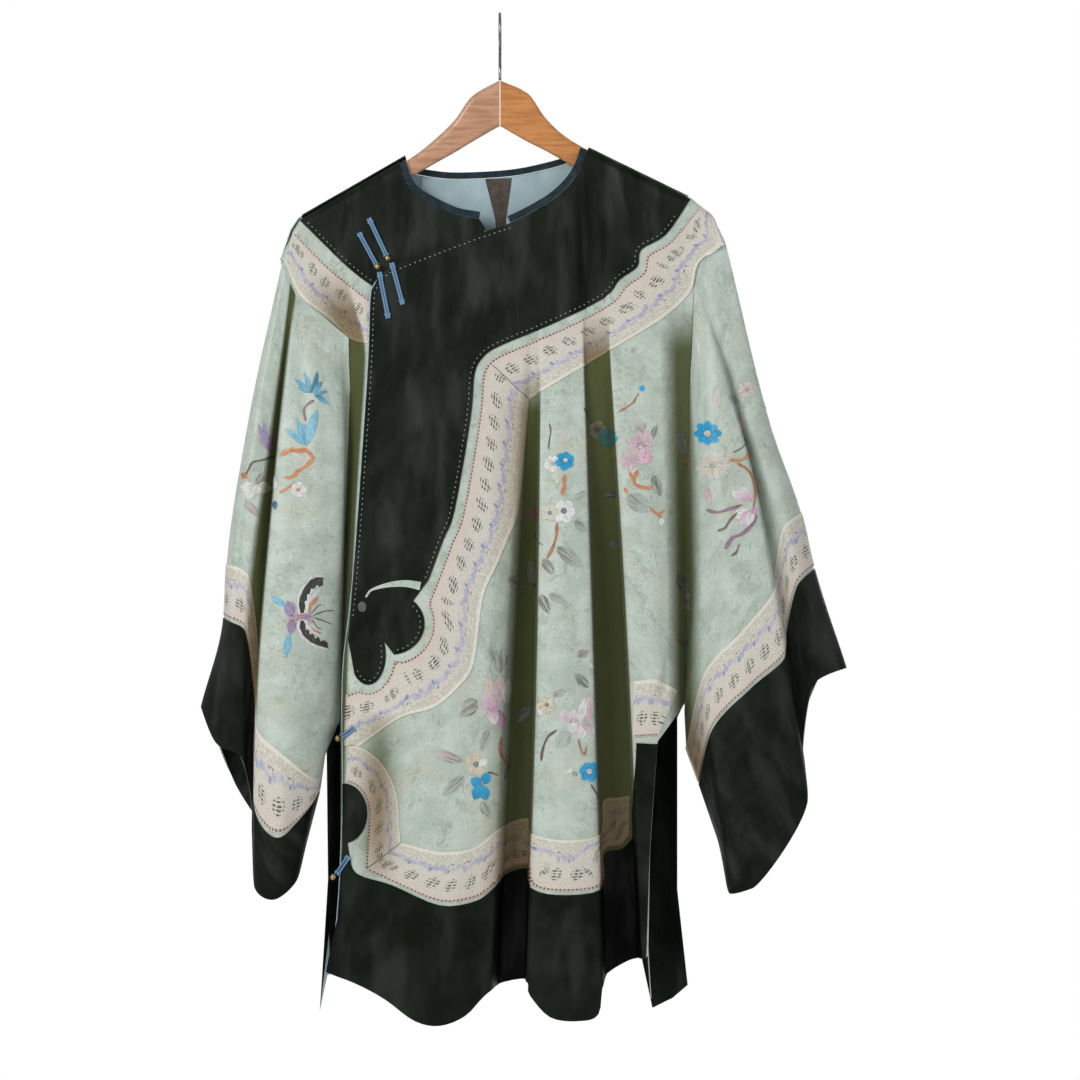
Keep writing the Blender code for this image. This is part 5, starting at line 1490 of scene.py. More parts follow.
yoke_edge = curved(places(YOKE_EDGE), 4)
cloud = oval(UPPER_LOBE, 48, -84, 22) + oval(LOWER_LOBE, 26, -140, 22)
placket = [place for place in beside(closing, -0.4) if place[1] > -284]
placket += [place for place in beside(closing, 0.8) if -620 < place[1] <= -284] + [(-160.5, -668)]
sew("yoke_over_satin", front, [(95, -143.8), (150, -171)] + yoke_edge + cloud + list(reversed(placket))
    + below_over_binding, LAID, [satin], "black_satin", ["yoke_over"])
sew("yoke_under_satin", front, [(-110, -157.2)] + curved(places(UNDER_YOKE_LOW), 4) + places(UNDER_EDGE)[-1:]
    + list(reversed(below_under_binding)), UNDER_LAID, [satin], "black_satin", ["yoke_under"])
back_edge = curved(places(BACK_YOKE_LOW), 5)
sew("yoke_back_satin", back, [(-211, -215.7), (-101, -152.1)] + below_back_binding
    + [(95, -143.5), (201, -195.6)] + list(reversed(back_edge))[1:-1], LAID, [satin], "black_satin",
    ["yoke_back"], facing=1)
for name in ("overlap_silk", "under_front_silk", "back_silk"):
    mesh = bpy.data.objects[name].data
    mesh.materials.append(satin)
    for face in mesh.polygons:
        x, z = face.center.x / MM, face.center.z / MM
        for x0, z0, x1, z1 in SHOULDER_EDGES:
            if x0 < x < x1 and z > z0 + (z1 - z0) * (x - x0) / (x1 - x0) - EDGE_WRAP:
                face.material_index = len(mesh.materials) - 1
hem_top = curved(places(HEM_TOP), 4)
sew("border_front_satin", front, list(reversed(oval(SLIT_LOBE, -80, 84, 24))) + hem_top
    + [(146, -778), (167.6, -779), (163.8, -832), (159.8, -893)] + hem
    + [(-172, -966), (-166.5, -893), (-166.5, -822)], LAID, [satin], "black_satin", ["border_front"])
back_top = places(BACK_BORDER_TOP)
back_top = back_top[:1] + curved(back_top[1:-1], 4) + back_top[-1:]
sew("border_back_satin", back, back_top + [(170, -779)] + back_left_slit[1:] + back_hem
    + list(reversed(back_right_slit)), LAID, [satin], "black_satin", ["border_back"], facing=1)
for side_name, sheet in (("right", right_sleeve), ("left", left_sleeve)):
    round_sleeve("cuff_" + side_name + "_satin", sheet, CUFF_TOP_ROW, sheet.down_count, LAID, [satin],
                 "black_satin", ["cuff_" + side_name])
    round_sleeve("cuff_" + side_name + "_facing", sheet, CUFF_TOP_ROW, sheet.down_count, BEHIND,
                 [satin], "black_satin", [])
SLIT_FACINGS = (
    ("slit_left_facing", ((150, -742), (190, -742), (190, -936), (201, -1038), (185, -1053), (164, -1064.5),
                          (152, -1009))),
    ("slit_right_facing", ((-186, -760), (-150, -760), (-150, -1012), (-182, -1024), (-184, -960))),
)
for name, outline in SLIT_FACINGS:
    sew(name, back, outline, BEHIND, [satin], "black_satin", facing=1)

# The silk turns in over the shoulder point, so its lining starts a little below.
TURN_IN = {"outer": -242, "inner": -212.5, "low": -262}
for name in ("under_front_silk", "back_silk"):
    mesh = bpy.data.objects[name].data
    for face in mesh.polygons:
        x, _, z = face.center / MM
        if TURN_IN["outer"] < x < TURN_IN["inner"] and z > TURN_IN["low"]:
            face.material_index = 0


# The woven ribbon: a cream band with a red and black edge thread, pink ground, round dotted medallions,
# a lavender scalloped line and a gold lace edge. It is sewn beside all the black satin.
RIBBON_CLEAR = 9.0
RIBBON_REPEAT = 0.0225
RIBBON_WIDTH = 0.047
MEDALLION = 0.0074
MEDALLION_PITCH = 2300.0
RIBBON_OUTER = (
    ("silhouette", 238, -246),
    ("band corner", 212, -266),
    ("band middle", 204, -295),
    ("armpit", 182, -318),
    ("slope", 158, -335),
    ("long slope", 86, -378),
    ("mitre", 30, -412),
    ("placket top", 26, -450),
    ("placket", 17, -533),
    ("placket low", -2, -585),
    ("lobe top", -18, -622),
    ("lobe side", -28, -692),
    ("lobe low", -44, -718),
    ("lobe foot", -70, -740),
    ("second foot", -106, -751),
    ("stub", -150, -782),
)
UNDER_RIBBON_INNER = (
    ("inner silhouette", -220, -234),
    ("inner upper", -182, -272),
    ("inner lower", -141, -304),
    ("below overlap", -118, -320),
)
UNDER_RIBBON_OUTER = (
    ("outer silhouette", -230, -263),
    ("band corner", -214, -300),
    ("band middle", -184, -324),
    ("armpit", -160, -347),
    ("outer lower", -138, -352),
)
HEM_RIBBON_CLEAR = 4.0
HEM_RIBBON_TOP = (
    ("slit ribbon", -104, -884),
    ("belly", -64, -893),
    ("belly left", -28, -889),
    ("belly edge", 0, -868),
    ("trough end", 30, -859),
    ("ridge start", 34, -874),
    ("ridge", 70, -881),
    ("ridge end", 107, -874),
    ("second trough", 110, -841),
    ("left rise", 128, -837),
    ("left slit border", 139, -835),
)
SLIT_RIBBON = {"inner": 27.5, "outer": 59, "squash": 1.25, "from": 84, "to": -4}
SLIT_MITRE = {"inner": (-142.2, -911.6), "outer": (-105, -883.4)}
LEFT_STUB_INNER = (("inner low", 143, -772), ("outer low", 168, -770))
LEFT_STUB_OUTER = (("inner top", 143, -712), ("ridge", 166, -710), ("outer top", 188, -722))
BACK_RIBBON_OUTER = (
    ("right silhouette", -231, -260),
    ("right corner", -214, -299),
    ("right middle", -184, -322),
    ("right slope", -168, -334),
    ("right cloud", -108, -356),
    ("middle", -6, -372),
    ("left cloud", 96, -358),
    ("left slope", 158, -337),
    ("left armpit", 182, -318),
    ("left middle", 204, -295),
    ("left corner", 211, -266),
    ("left silhouette", 236, -245),
)
BACK_RIBBON_TOP = (
    ("right slit", -98, -793),
    ("right corner", -100, -846),
    ("first trough", -60, -848),
    ("middle ridge", 4, -857),
    ("second trough", 70, -846),
    ("left corner", 98, -842),
    ("left slit", 93, -780),
)

ribbon, tree, shader = principled("woven_ribbon_cloth", (0.70, 0.64, 0.54), 0.62)
apart = node(tree, "ShaderNodeSeparateXYZ", {0: own_place(tree)})
run, width = apart.outputs[0], apart.outputs[1]
metric = node(tree, "ShaderNodeCombineXYZ", {
    0: run, 1: reckon(tree, "MULTIPLY", width, RIBBON_WIDTH)}).outputs[0]
repeat = reckon(tree, "FRACT", reckon(tree, "DIVIDE", run, RIBBON_REPEAT))
fleck = noise(tree, metric, 900.0, 2.0, 0.6)
cloudy = noise(tree, metric, 120.0, 3.0, 0.6)
colour = mix(tree, between(tree, fleck, 0.36, 0.64), (0.63, 0.595, 0.525), (0.46, 0.435, 0.375))
pink = reckon(tree, "MULTIPLY", between(tree, width, 0.36, 0.06),
              between(tree, cloudy, 0.30, 0.66, 0.10, 0.75))
colour = mix(tree, pink, colour, (0.57, 0.455, 0.40))
sprig = between(tree, noise(tree, metric, 330.0, 2.0), 0.58, 0.66, 0.0, 0.35)
colour = mix(tree, sprig, colour, (0.42, 0.37, 0.26))
# Medallions: clusters of short dark stitches in an oval
from_x = reckon(tree, "MULTIPLY", reckon(tree, "SUBTRACT", repeat, 0.5), RIBBON_REPEAT)
from_y = reckon(tree, "MULTIPLY", reckon(tree, "SUBTRACT", width, 0.33), RIBBON_WIDTH)
tall = reckon(tree, "MULTIPLY", from_y, 1.15)
disc = reckon(tree, "SQRT", reckon(tree, "ADD", reckon(tree, "MULTIPLY", from_x, from_x),
                                   reckon(tree, "MULTIPLY", tall, tall)))
dots = node(tree, "ShaderNodeTexVoronoi", {
    "Vector": metric, "Scale": 620.0, "Randomness": 0.7}).outputs["Distance"]
uneven = reckon(tree, "ADD", reckon(tree, "MULTIPLY", from_y, MEDALLION_PITCH),
                reckon(tree, "MULTIPLY", dots, 2.2))
pitch = reckon(tree, "SINE", uneven)
broken = reckon(tree, "SINE", reckon(tree, "ADD", reckon(tree, "MULTIPLY", from_x, MEDALLION_PITCH * 0.45),
                                     reckon(tree, "MULTIPLY", dots, 5.0)))
bars = reckon(tree, "MULTIPLY", between(tree, pitch, -0.45, 0.15), between(tree, broken, -0.75, -0.2))
cluster = reckon(tree, "MULTIPLY", between(tree, disc, MEDALLION, MEDALLION * 0.8), bars)
cluster = reckon(tree, "MULTIPLY", cluster, between(tree, fleck, 0.30, 0.46, 0.65, 1.0))
colour = mix(tree, reckon(tree, "MULTIPLY", cluster, 0.95), colour, (0.045, 0.052, 0.036))
# The lavender line scallops towards the medallions, with blue spots at its points and black dashes
hump = reckon(tree, "ABSOLUTE", reckon(tree, "SUBTRACT", repeat, 0.5))
ripple = reckon(tree, "PINGPONG", reckon(tree, "MULTIPLY", repeat, 4.0), 0.5)
wave_at = reckon(tree, "ADD", reckon(tree, "SUBTRACT", 0.69, reckon(tree, "MULTIPLY", hump, 0.16)),
                 reckon(tree, "MULTIPLY", reckon(tree, "SUBTRACT", ripple, 0.25), 0.10))
off_wave = reckon(tree, "ABSOLUTE", reckon(tree, "SUBTRACT", width, wave_at))
ragged = reckon(tree, "ADD", off_wave, reckon(tree, "MULTIPLY", reckon(tree, "SUBTRACT", cloudy, 0.5), 0.09))
lavender = reckon(tree, "MULTIPLY", between(tree, ragged, 0.062, 0.040),
                  between(tree, fleck, 0.30, 0.56, 0.35, 1.0))
thread = mix(tree, between(tree, cloudy, 0.40, 0.62), (0.27, 0.29, 0.46), (0.44, 0.43, 0.54))
colour = mix(tree, reckon(tree, "MULTIPLY", lavender, 0.78), colour, thread)
spot = reckon(tree, "MULTIPLY", between(tree, hump, 0.42, 0.47), between(tree, reckon(
    tree, "ABSOLUTE", reckon(tree, "SUBTRACT", width, 0.60)), 0.05, 0.03))
colour = mix(tree, reckon(tree, "MULTIPLY", spot, 0.7), colour, (0.15, 0.19, 0.36))
dash = reckon(tree, "MULTIPLY", between(tree, hump, 0.30, 0.36), between(tree, reckon(
    tree, "ABSOLUTE", reckon(tree, "SUBTRACT", width, 0.735)), 0.028, 0.014))
dash = reckon(tree, "MULTIPLY", dash, between(tree, dots, 0.55, 0.35))
colour = mix(tree, reckon(tree, "MULTIPLY", dash, 0.85), colour, (0.05, 0.055, 0.06))
# The inner edge thread is dashed red and black, and the outer edge is a gold and cream lace
edge_thread = reckon(tree, "MULTIPLY", between(tree, width, 0.050, 0.038), between(tree, width, 0.004, 0.014))
stitches = reckon(tree, "FRACT", reckon(tree, "DIVIDE", run, 0.0040))
twist = mix(tree, between(tree, cloudy, 0.46, 0.56), (0.17, 0.030, 0.022), (0.025, 0.020, 0.018))
gapped = reckon(tree, "MULTIPLY", edge_thread, between(tree, stitches, 0.30, 0.40))
colour = mix(tree, reckon(tree, "MULTIPLY", gapped, 0.85), colour, twist)
lace = between(tree, width, 0.76, 0.80)
net = node(tree, "ShaderNodeTexVoronoi", {"Vector": metric, "Scale": 430.0}).outputs["Distance"]
netting = mix(tree, between(tree, net, 0.20, 0.55), (0.67, 0.65, 0.58), (0.46, 0.44, 0.36))
colour = mix(tree, reckon(tree, "MULTIPLY", lace, 0.75), colour, netting)
bright = reckon(tree, "MULTIPLY", between(tree, width, 0.92, 0.95), between(tree, fleck, 0.3, 0.55, 0.4, 1.0))
colour = mix(tree, reckon(tree, "MULTIPLY", bright, 0.7), colour, (0.72, 0.69, 0.60))
# Painted shade: the ribbon turns a dark brown in the deep folds.
dark = node(tree, "ShaderNodeMix", {0: 1.0}, data_type="RGBA", blend_type="MULTIPLY")
tree.links.new(colour, dark.inputs[6])
dark.inputs[7].default_value = (0.27, 0.18, 0.065, 1)
colour = mix(tree, reckon(tree, "MULTIPLY", painted_fold_shade(tree), 0.92), colour, dark.outputs[2])
tree.links.new(colour, shader.inputs["Base Color"])
height = reckon(tree, "ADD", reckon(tree, "MULTIPLY", fleck, 0.5), reckon(tree, "MULTIPLY", lavender, 0.5))
height = reckon(tree, "ADD", height, reckon(tree, "MULTIPLY", cluster, 0.5))
bumped(tree, shader, height, 0.6, 0.0008)


def nearest(path, spots):
    """How far each place is from a path, and how far along the path that is."""
    path = np.array(path, float)
    start, run = path[:-1], np.diff(path, axis=0)
    length = np.linalg.norm(run, axis=1)
    to = spots[:, None, :] - start[None]
    share = np.clip((to * run).sum(axis=2) / length ** 2, 0, 1)
    away = np.linalg.norm(to - share[..., None] * run, axis=2)
    best = np.argmin(away, axis=1)
    pick = np.arange(len(spots))
    begun = np.concatenate(([0.0], np.cumsum(length)))[:-1]
    return away[pick, best], begun[best] + share[pick, best] * length[best], length.sum()


def ribbon_map(inner, outer):
    """A map for a ribbon between two edges: along it in metres, and across it from 0 to 1."""
    def own_map(spots):
        inner_off, inner_run, inner_length = nearest(inner, spots)
        outer_off, outer_run, outer_length = nearest(outer, spots)
        width = inner_off / (inner_off + outer_off + 1e-6)
        run = inner_run / inner_length * (1 - width) + outer_run / outer_length * width
        return np.stack((run * (inner_length + outer_length) / 2 * MM, width), axis=1)
    return own_map


def sew_ribbon(name, cloth, inner, outer, lifts, nodes, facing=-1, ends=((), ())):
    """A ribbon between its inner and outer edges, with places that close its two ends."""
    outline = list(inner) + list(ends[0]) + list(reversed(outer)) + list(ends[1])
    made = sew(name, cloth, outline, lifts, [ribbon], "woven_ribbon", nodes, facing, ribbon_map(inner, outer))
    length = (nearest(inner, np.zeros((1, 2)))[2] + nearest(outer, np.zeros((1, 2)))[2]) / 2 * MM
    area = sheets[name][1]
    sheets[name] = ((round(area / length, 4), round(length, 3)), area)
    return made


def widened(lobe, by):
    """The same oval, larger all round."""
    return {**lobe, "across": lobe["across"] + by, "high": lobe["high"] + by}


wider = widened(UPPER_LOBE, RIBBON_CLEAR)
lower = widened(LOWER_LOBE, RIBBON_CLEAR)
inner = (curved(beside(places(YOKE_EDGE), RIBBON_CLEAR), 4)[4:] + oval(wider, 30, -72, 20)
         + oval(lower, -8, -110, 14) + [(-163, -727)])
mitre = [row[0] for row in RIBBON_OUTER].index("mitre")
outer = places(RIBBON_OUTER)
outer = [(226, -217)] + curved(outer[:mitre + 1], 4) + curved(outer[mitre:], 4)[1:]
sew_ribbon("ribbon_yoke_over_band", front, [(213, -208)] + inner, outer, LAID, ["ribbon_yoke_over"],
           ends=([(-165, -781)], []))
under_inner, under_outer = curved(places(UNDER_RIBBON_INNER), 4), curved(places(UNDER_RIBBON_OUTER), 4)
sew_ribbon("ribbon_yoke_under_band", front, under_inner, under_outer, UNDER_LAID, ["ribbon_yoke_under"])
back_inner = curved(beside(places(BACK_YOKE_LOW), -RIBBON_CLEAR), 4)[3:-3]
sew_ribbon("ribbon_yoke_back_band", back, back_inner, curved(places(BACK_RIBBON_OUTER), 3), LAID,
           ["ribbon_yoke_back"], facing=1)
hem_inner = [(-141, -913)] + [(x, z + HEM_RIBBON_CLEAR) for x, z in curved(places(HEM_TOP)[2:-1], 4)]
sew_ribbon("ribbon_hem_front_band", front, hem_inner + [(138, -878)], curved(places(HEM_RIBBON_TOP), 4), LAID,
           ["ribbon_hem_front"])
slit_edges = []
for edge in ("inner", "outer"):
    arc = {**SLIT_LOBE, "across": SLIT_RIBBON[edge], "high": SLIT_RIBBON[edge] * SLIT_RIBBON["squash"]}
    slit_edges.append(oval(arc, SLIT_RIBBON["from"], SLIT_RIBBON["to"], 20) + [SLIT_MITRE[edge]])
sew_ribbon("ribbon_slit_right_band", front, slit_edges[0], slit_edges[1], LAID, ["ribbon_slit_right"])
sew_ribbon("ribbon_slit_left_band", front, places(LEFT_STUB_INNER), places(LEFT_STUB_OUTER), LAID,
           ["ribbon_slit_left"])
back_hem_inner = beside(places(BACK_BORDER_TOP), HEM_RIBBON_CLEAR)
sew_ribbon("ribbon_hem_back_band", back, back_hem_inner, places(BACK_RIBBON_TOP), LAID, ["ribbon_hem_back"],
           facing=1)
for side_name, sheet in (("right", right_sleeve), ("left", left_sleeve)):
    name = "ribbon_sleeve_" + side_name + "_band"
    round_sleeve(name, sheet, RIBBON_TOP_ROW, RIBBON_LOW_ROW, LAID, [ribbon], "woven_ribbon",
                 ["ribbon_sleeve_" + side_name], ribbon=True)


# The neck: a dark teal satin binding folded over the edge of each front and the back, and inside the
# back the pale blue cotton lining with a dark brown strip down its middle.
RIGHT_LINING = (
    ("top outer", -84, -173),
    ("top middle", -46, -176),
    ("top inner", -16, -175),
    ("low inner", -5, -219),
    ("foot inner", -5, -262),
    ("foot outer", -90, -262),
)
NECK_FACING = (
    ("top right", -15.4, -175),
    ("top left", 12.4, -174),
    ("low left", 6, -219),
    ("foot left", 6, -262),
    ("foot right", -4.4, -262),
    ("low right", -4.4, -219),
)
LEFT_LINING = (
    ("top inner", 13, -174),
    ("top outer", 54, -165.5),
    ("side", 82, -156),
    ("foot outer", 88, -262),
    ("foot inner", 6.6, -262),
    ("low inner", 6.6, -219),
)
binding, tree, shader = principled("teal_binding_satin", (0.012, 0.032, 0.042), 0.5)
place = own_place(tree)
worn = noise(tree, place, 90.0, 4.0, 0.6)
colour = mix(tree, between(tree, worn, 0.38, 0.68), (0.004, 0.014, 0.018), (0.013, 0.032, 0.040))
tree.links.new(colour, shader.inputs["Base Color"])
shader.inputs["Specular IOR Level"].default_value = 0.2
bumped(tree, shader, worn, 0.3, 0.0008)
strip, tree, shader = principled("brown_facing_cloth", (0.05, 0.035, 0.025), 0.7)
place = own_place(tree)
worn = noise(tree, place, 120.0, 4.0, 0.6)
tree.links.new(mix(tree, between(tree, worn, 0.35, 0.7), (0.040, 0.026, 0.018), (0.085, 0.060, 0.042)),
               shader.inputs["Base Color"])
bumped(tree, shader, worn, 0.3, 0.0008)


def bound(name, cloth, line, lifts, nodes, facing=-1):
    edge = list(line) + list(reversed(beside(line, -BINDING_WIDTH)))
    return sew(name, cloth, edge, lifts, [binding], "teal_binding", nodes, facing, step=2.5)


bound("neck_binding_over_satin", front, over_neck, (-0.5, 2.5), ["neck_binding_over"])
bound("neck_binding_under_satin", front, under_neck, (-3.5, -0.6), ["neck_binding_under"])
bound("neck_binding_back_satin", back, back_neck, (-1.2, 2.5), ["neck_binding_back"], 1)
for name, part, finish, slot, solid in (
        ("lining_right_cotton", RIGHT_LINING, lining, "blue_lining", "lining_neck_right"),
        ("facing_neck_strip", NECK_FACING, strip, "teal_binding", "facing_neck"),
        ("lining_left_cotton", LEFT_LINING, lining, "blue_lining", "lining_neck_left")):
    sew(name, back, places(part), (-1.2, -0.3), [finish], slot, [solid], 1, step=3.0)


# The frogs: two blue cords side by side, spread and whipped at their ends. The strands at the neck and
# the right slit end in round brass ball buttons, which the loops opposite close over.
FROGS = (
    ("neck_1_strand", -139.7, -218.8, -119.8, -261, 0.0, "lower"),
    ("neck_1_loop", -115.5, -266.5, -103.8, -310, 2.2, "none"),
    ("neck_2_strand", -150.2, -234.3, -130.8, -270, 0.0, "lower"),
    ("neck_2_loop", -128.6, -276.5, -119.2, -324.8, 2.2, "none"),
    ("slit_1_loop", -155, -762, -165, -771, 2.2, "end"),
    ("slit_2_loop", -160, -899, -171, -918, 2.2, "end"),
)
CORD_RADIUS = 1.15
CORD_SPREAD = 1.3
BUTTON_RADIUS = 3.4
BUTTON_GAP = 0.3

cord, tree, shader = principled("blue_cord_silk", (0.10, 0.22, 0.38), 0.55)
apart = node(tree, "ShaderNodeSeparateXYZ", {0: own_place(tree)})
twist = reckon(tree, "FRACT", reckon(tree, "ADD", apart.outputs[0],
                                     reckon(tree, "MULTIPLY", apart.outputs[1], 520.0)))
ply = reckon(tree, "ABSOLUTE", reckon(tree, "SUBTRACT", twist, 0.5))
colour = mix(tree, between(tree, ply, 0.12, 0.42), (0.17, 0.32, 0.48), (0.045, 0.12, 0.23))
tree.links.new(colour, shader.inputs["Base Color"])
bumped(tree, shader, ply, 0.7, 0.0004)
brass, tree, shader = principled("ball_button_brass", (0.42, 0.30, 0.12), 0.32, 1.0)
place = node(tree, "ShaderNodeTexCoord").outputs["Object"]
tarnish = noise(tree, place, 420.0, 4.0, 0.6)
tree.links.new(mix(tree, between(tree, tarnish, 0.40, 0.66), (0.52, 0.38, 0.17), (0.17, 0.12, 0.055)),
               shader.inputs["Base Color"])
tree.links.new(between(tree, tarnish, 0.35, 0.7, 0.26, 0.5), shader.inputs["Roughness"])
bumped(tree, shader, tarnish, 0.2, 0.0003)


def join(name, parts):
    """Several objects made one."""
    work = bmesh.new()
    finishes = []
    for part in parts:
        for finish in part.data.materials:
            if finish not in finishes:
                finishes.append(finish)
    merged = bpy.data.meshes.new(name)
    for finish in finishes:
        merged.materials.append(finish)
    for part in parts:
        first = len(work.faces)
        work.from_mesh(part.data)
        work.faces.ensure_lookup_table()
        own = [finishes.index(finish) for finish in part.data.materials]
        for face in work.faces[first:]:
            face.material_index = own[min(face.material_index, len(own) - 1)]
    work.to_mesh(merged)
    work.free()
    for part in parts:
        data = part.data
        bpy.data.objects.remove(part)
        bpy.data.meshes.remove(data)
    made = bpy.data.objects.new(name, merged)
    scene.collection.objects.link(made)
    return made


for name, x_high, z_high, x_low, z_low, lift, button in FROGS:
    path = stepped([(x_high, z_high), (x_low, z_low)], 2.0, closed=False)
    parts = []
    for side in (-1, 1):
        line, radii = [], []
        for k, (x, z) in enumerate(beside(path, side * CORD_SPREAD)):
            share = k / (len(path) - 1)
            flare = max(0.0, 1 - share / 0.16) + max(0.0, (share - 0.86) / 0.14)
            spot = front.find(x, z)
            line.append(front.at([spot], lift + CORD_RADIUS + 0.25)[0])
            radii.append(CORD_RADIUS * (1 + 0.35 * flare))
        parts.append(tube("strand", line, radii, cord, 10))
    for share in (0.07, 0.93):
        k = round(share * (len(path) - 1))
        x, z = path[k]
        ends = [front.at([front.find(*place)], lift + CORD_RADIUS + 0.4)[0]
                for place in (beside(path, 3.0)[k], beside(path, -3.0)[k])]
        parts.append(tube("whipping", [ends[0], (ends[0] + ends[1]) / 2, ends[1]], 0.75, cord, 8))
    frog = join("frog_" + name + "_cord", parts)
    hold(frog, "blue_cord", "frog_" + name)
    if button == "none":
        continue
    run = math.dist((x_high, z_high), (x_low, z_low))
    ahead = BUTTON_RADIUS + BUTTON_GAP if button == "end" else 0.0
    spot = (x_low + (x_low - x_high) / run * ahead, z_low + (z_low - z_high) / run * ahead)
    under = LAID[1] if button == "end" else lift + 2 * CORD_RADIUS + 0.6
    centre = front.at([front.find(*spot)], under + BUTTON_GAP + BUTTON_RADIUS)[0]
    ball = []
    for k in range(13):
        turn = math.pi * (k + 0.35) / 12.7
        radius = BUTTON_RADIUS * math.sin(turn) * (0.93 if k in (4, 8) else 1.0)
        ball.append([centre + np.array((radius * math.cos(a), radius * math.sin(a),
                                        BUTTON_RADIUS * math.cos(turn))) for a in
                     (math.tau * n / 24 for n in range(24))])
    made = ringed("button_" + name.rsplit("_", 1)[0] + "_ball", ball, brass, crisp=60)
    hold(made, "button_brass", "button_" + name.rsplit("_", 1)[0])


# The edges: the closing edge is piped in pale blue and the slit in white. A thin strip of the silk
# curls from the foot of the placket to a teardrop of celadon silk on the cloud, painted dark olive as
# painted shade, and a fine seam runs down the middle of the yoke and across the mitre of its ribbon.
piping_cloth, tree, shader = principled("pale_blue_piping", (0.36, 0.48, 0.56), 0.6)
place = node(tree, "ShaderNodeTexCoord").outputs["Object"]
worn = noise(tree, place, 200.0, 3.0)
tree.links.new(mix(tree, between(tree, worn, 0.35, 0.7), (0.42, 0.54, 0.60), (0.25, 0.36, 0.44)),
               shader.inputs["Base Color"])
# Painted shade: the celadon silk of the teardrop, dark olive all over.
painted_shade_teardrop_silk, tree, shader = principled("celadon_cord_silk", (0.070, 0.076, 0.056), 0.6)
place = node(tree, "ShaderNodeTexCoord").outputs["Object"]
worn = noise(tree, place, 200.0, 3.0)
tree.links.new(mix(tree, between(tree, worn, 0.35, 0.7), (0.090, 0.096, 0.072), (0.055, 0.060, 0.044)),
               shader.inputs["Base Color"])
thread_white = principled("white_edge_cotton", (0.62, 0.64, 0.60), 0.7)[0]
seam_thread = principled("dark_seam_thread", (0.012, 0.012, 0.010), 0.7)[0]
SLIT_PIPING = ((648.5, 856), (648.3, 900), (649, 950), (652.2, 1000))
SEAM_LINES = (
    ("yoke_centre_seam", ((514.5, 224), (516, 262), (517, 300), (519, 334))),
    ("ribbon_mitre_seam", ((493, 366), (505, 377), (517, 389), (527, 398.5))),
)
CURL_LINE = ((421, 586), (408, 583.5), (395, 584), (386, 585.5), (377, 588), (371, 591), (367, 597))
TEARDROP = {"x": -146.2, "z": -633.0, "across": 4.4, "high": 5.4}


def lay_cord(name, cloth, line, lift, radius, finish, slot, facing=-1, step=3.0):
    """A thin cord laid along a line seen from the front."""
    spots = [cloth.find(x, z, facing) for x, z in stepped(list(line), step, closed=False)]
    return hold(tube(name, list(cloth.at(spots, lift)), radius, finish, 8), slot)


edge_line = [(x, z) for x, z in beside(closing, 0.2) if -1018 < z < -286]
lay_cord("closing_edge_piping", front, edge_line, 1.40, 0.55, piping_cloth, "teal_binding")
slit_line = [seen(x, y) for x, y in SLIT_PIPING]
lay_cord("slit_edge_piping", back, slit_line, -1.5, 0.6, thread_white, "blue_lining", 1)
for name, line in SEAM_LINES:
    lay_cord(name, front, [seen(x, y) for x, y in line], LAID[1] + 0.1, 0.32, seam_thread, "black_satin")
curl = curved([seen(x, y) for x, y in CURL_LINE], 3)
thinning = [4.4 - 3.3 * min(1, 1.4 * k / len(curl)) for k in range(len(curl))]
lower_side = [beside(curl, half)[k] for k, half in enumerate(thinning)]
upper_side = [beside(curl, -half)[k] for k, half in enumerate(thinning)]
sew("cloud_curl_silk", front, lower_side + list(reversed(upper_side)), (LAID[1] + 0.05, LAID[1] + 0.8),
    [silk], "celadon_silk", step=2.0)
sew("cloud_teardrop", front, oval(TEARDROP, 0, 360, 24)[:-1], (LAID[1] + 0.1, LAID[1] + 1.5), [painted_shade_teardrop_silk],
    "celadon_silk", step=2.0)


# The running stitches: one line of white thread inside the edges of the satin yokes, the placket and the
# cloud, with even gaps.
# They are set along their lines on the cloth.
STITCH_LENGTH = 0.0017
STITCH_THICK = 0.0005
STITCH_SPACING = 0.0056
STITCH_INSET = 4.4
thread, tree, shader = principled("white_cotton_thread", (0.78, 0.78, 0.72), 0.7)
place = node(tree, "ShaderNodeTexCoord").outputs["Object"]
tree.links.new(mix(tree, between(tree, noise(tree, place, 900.0), 0.35, 0.7), (0.84, 0.84, 0.79),
                   (0.60, 0.60, 0.54)), shader.inputs["Base Color"])


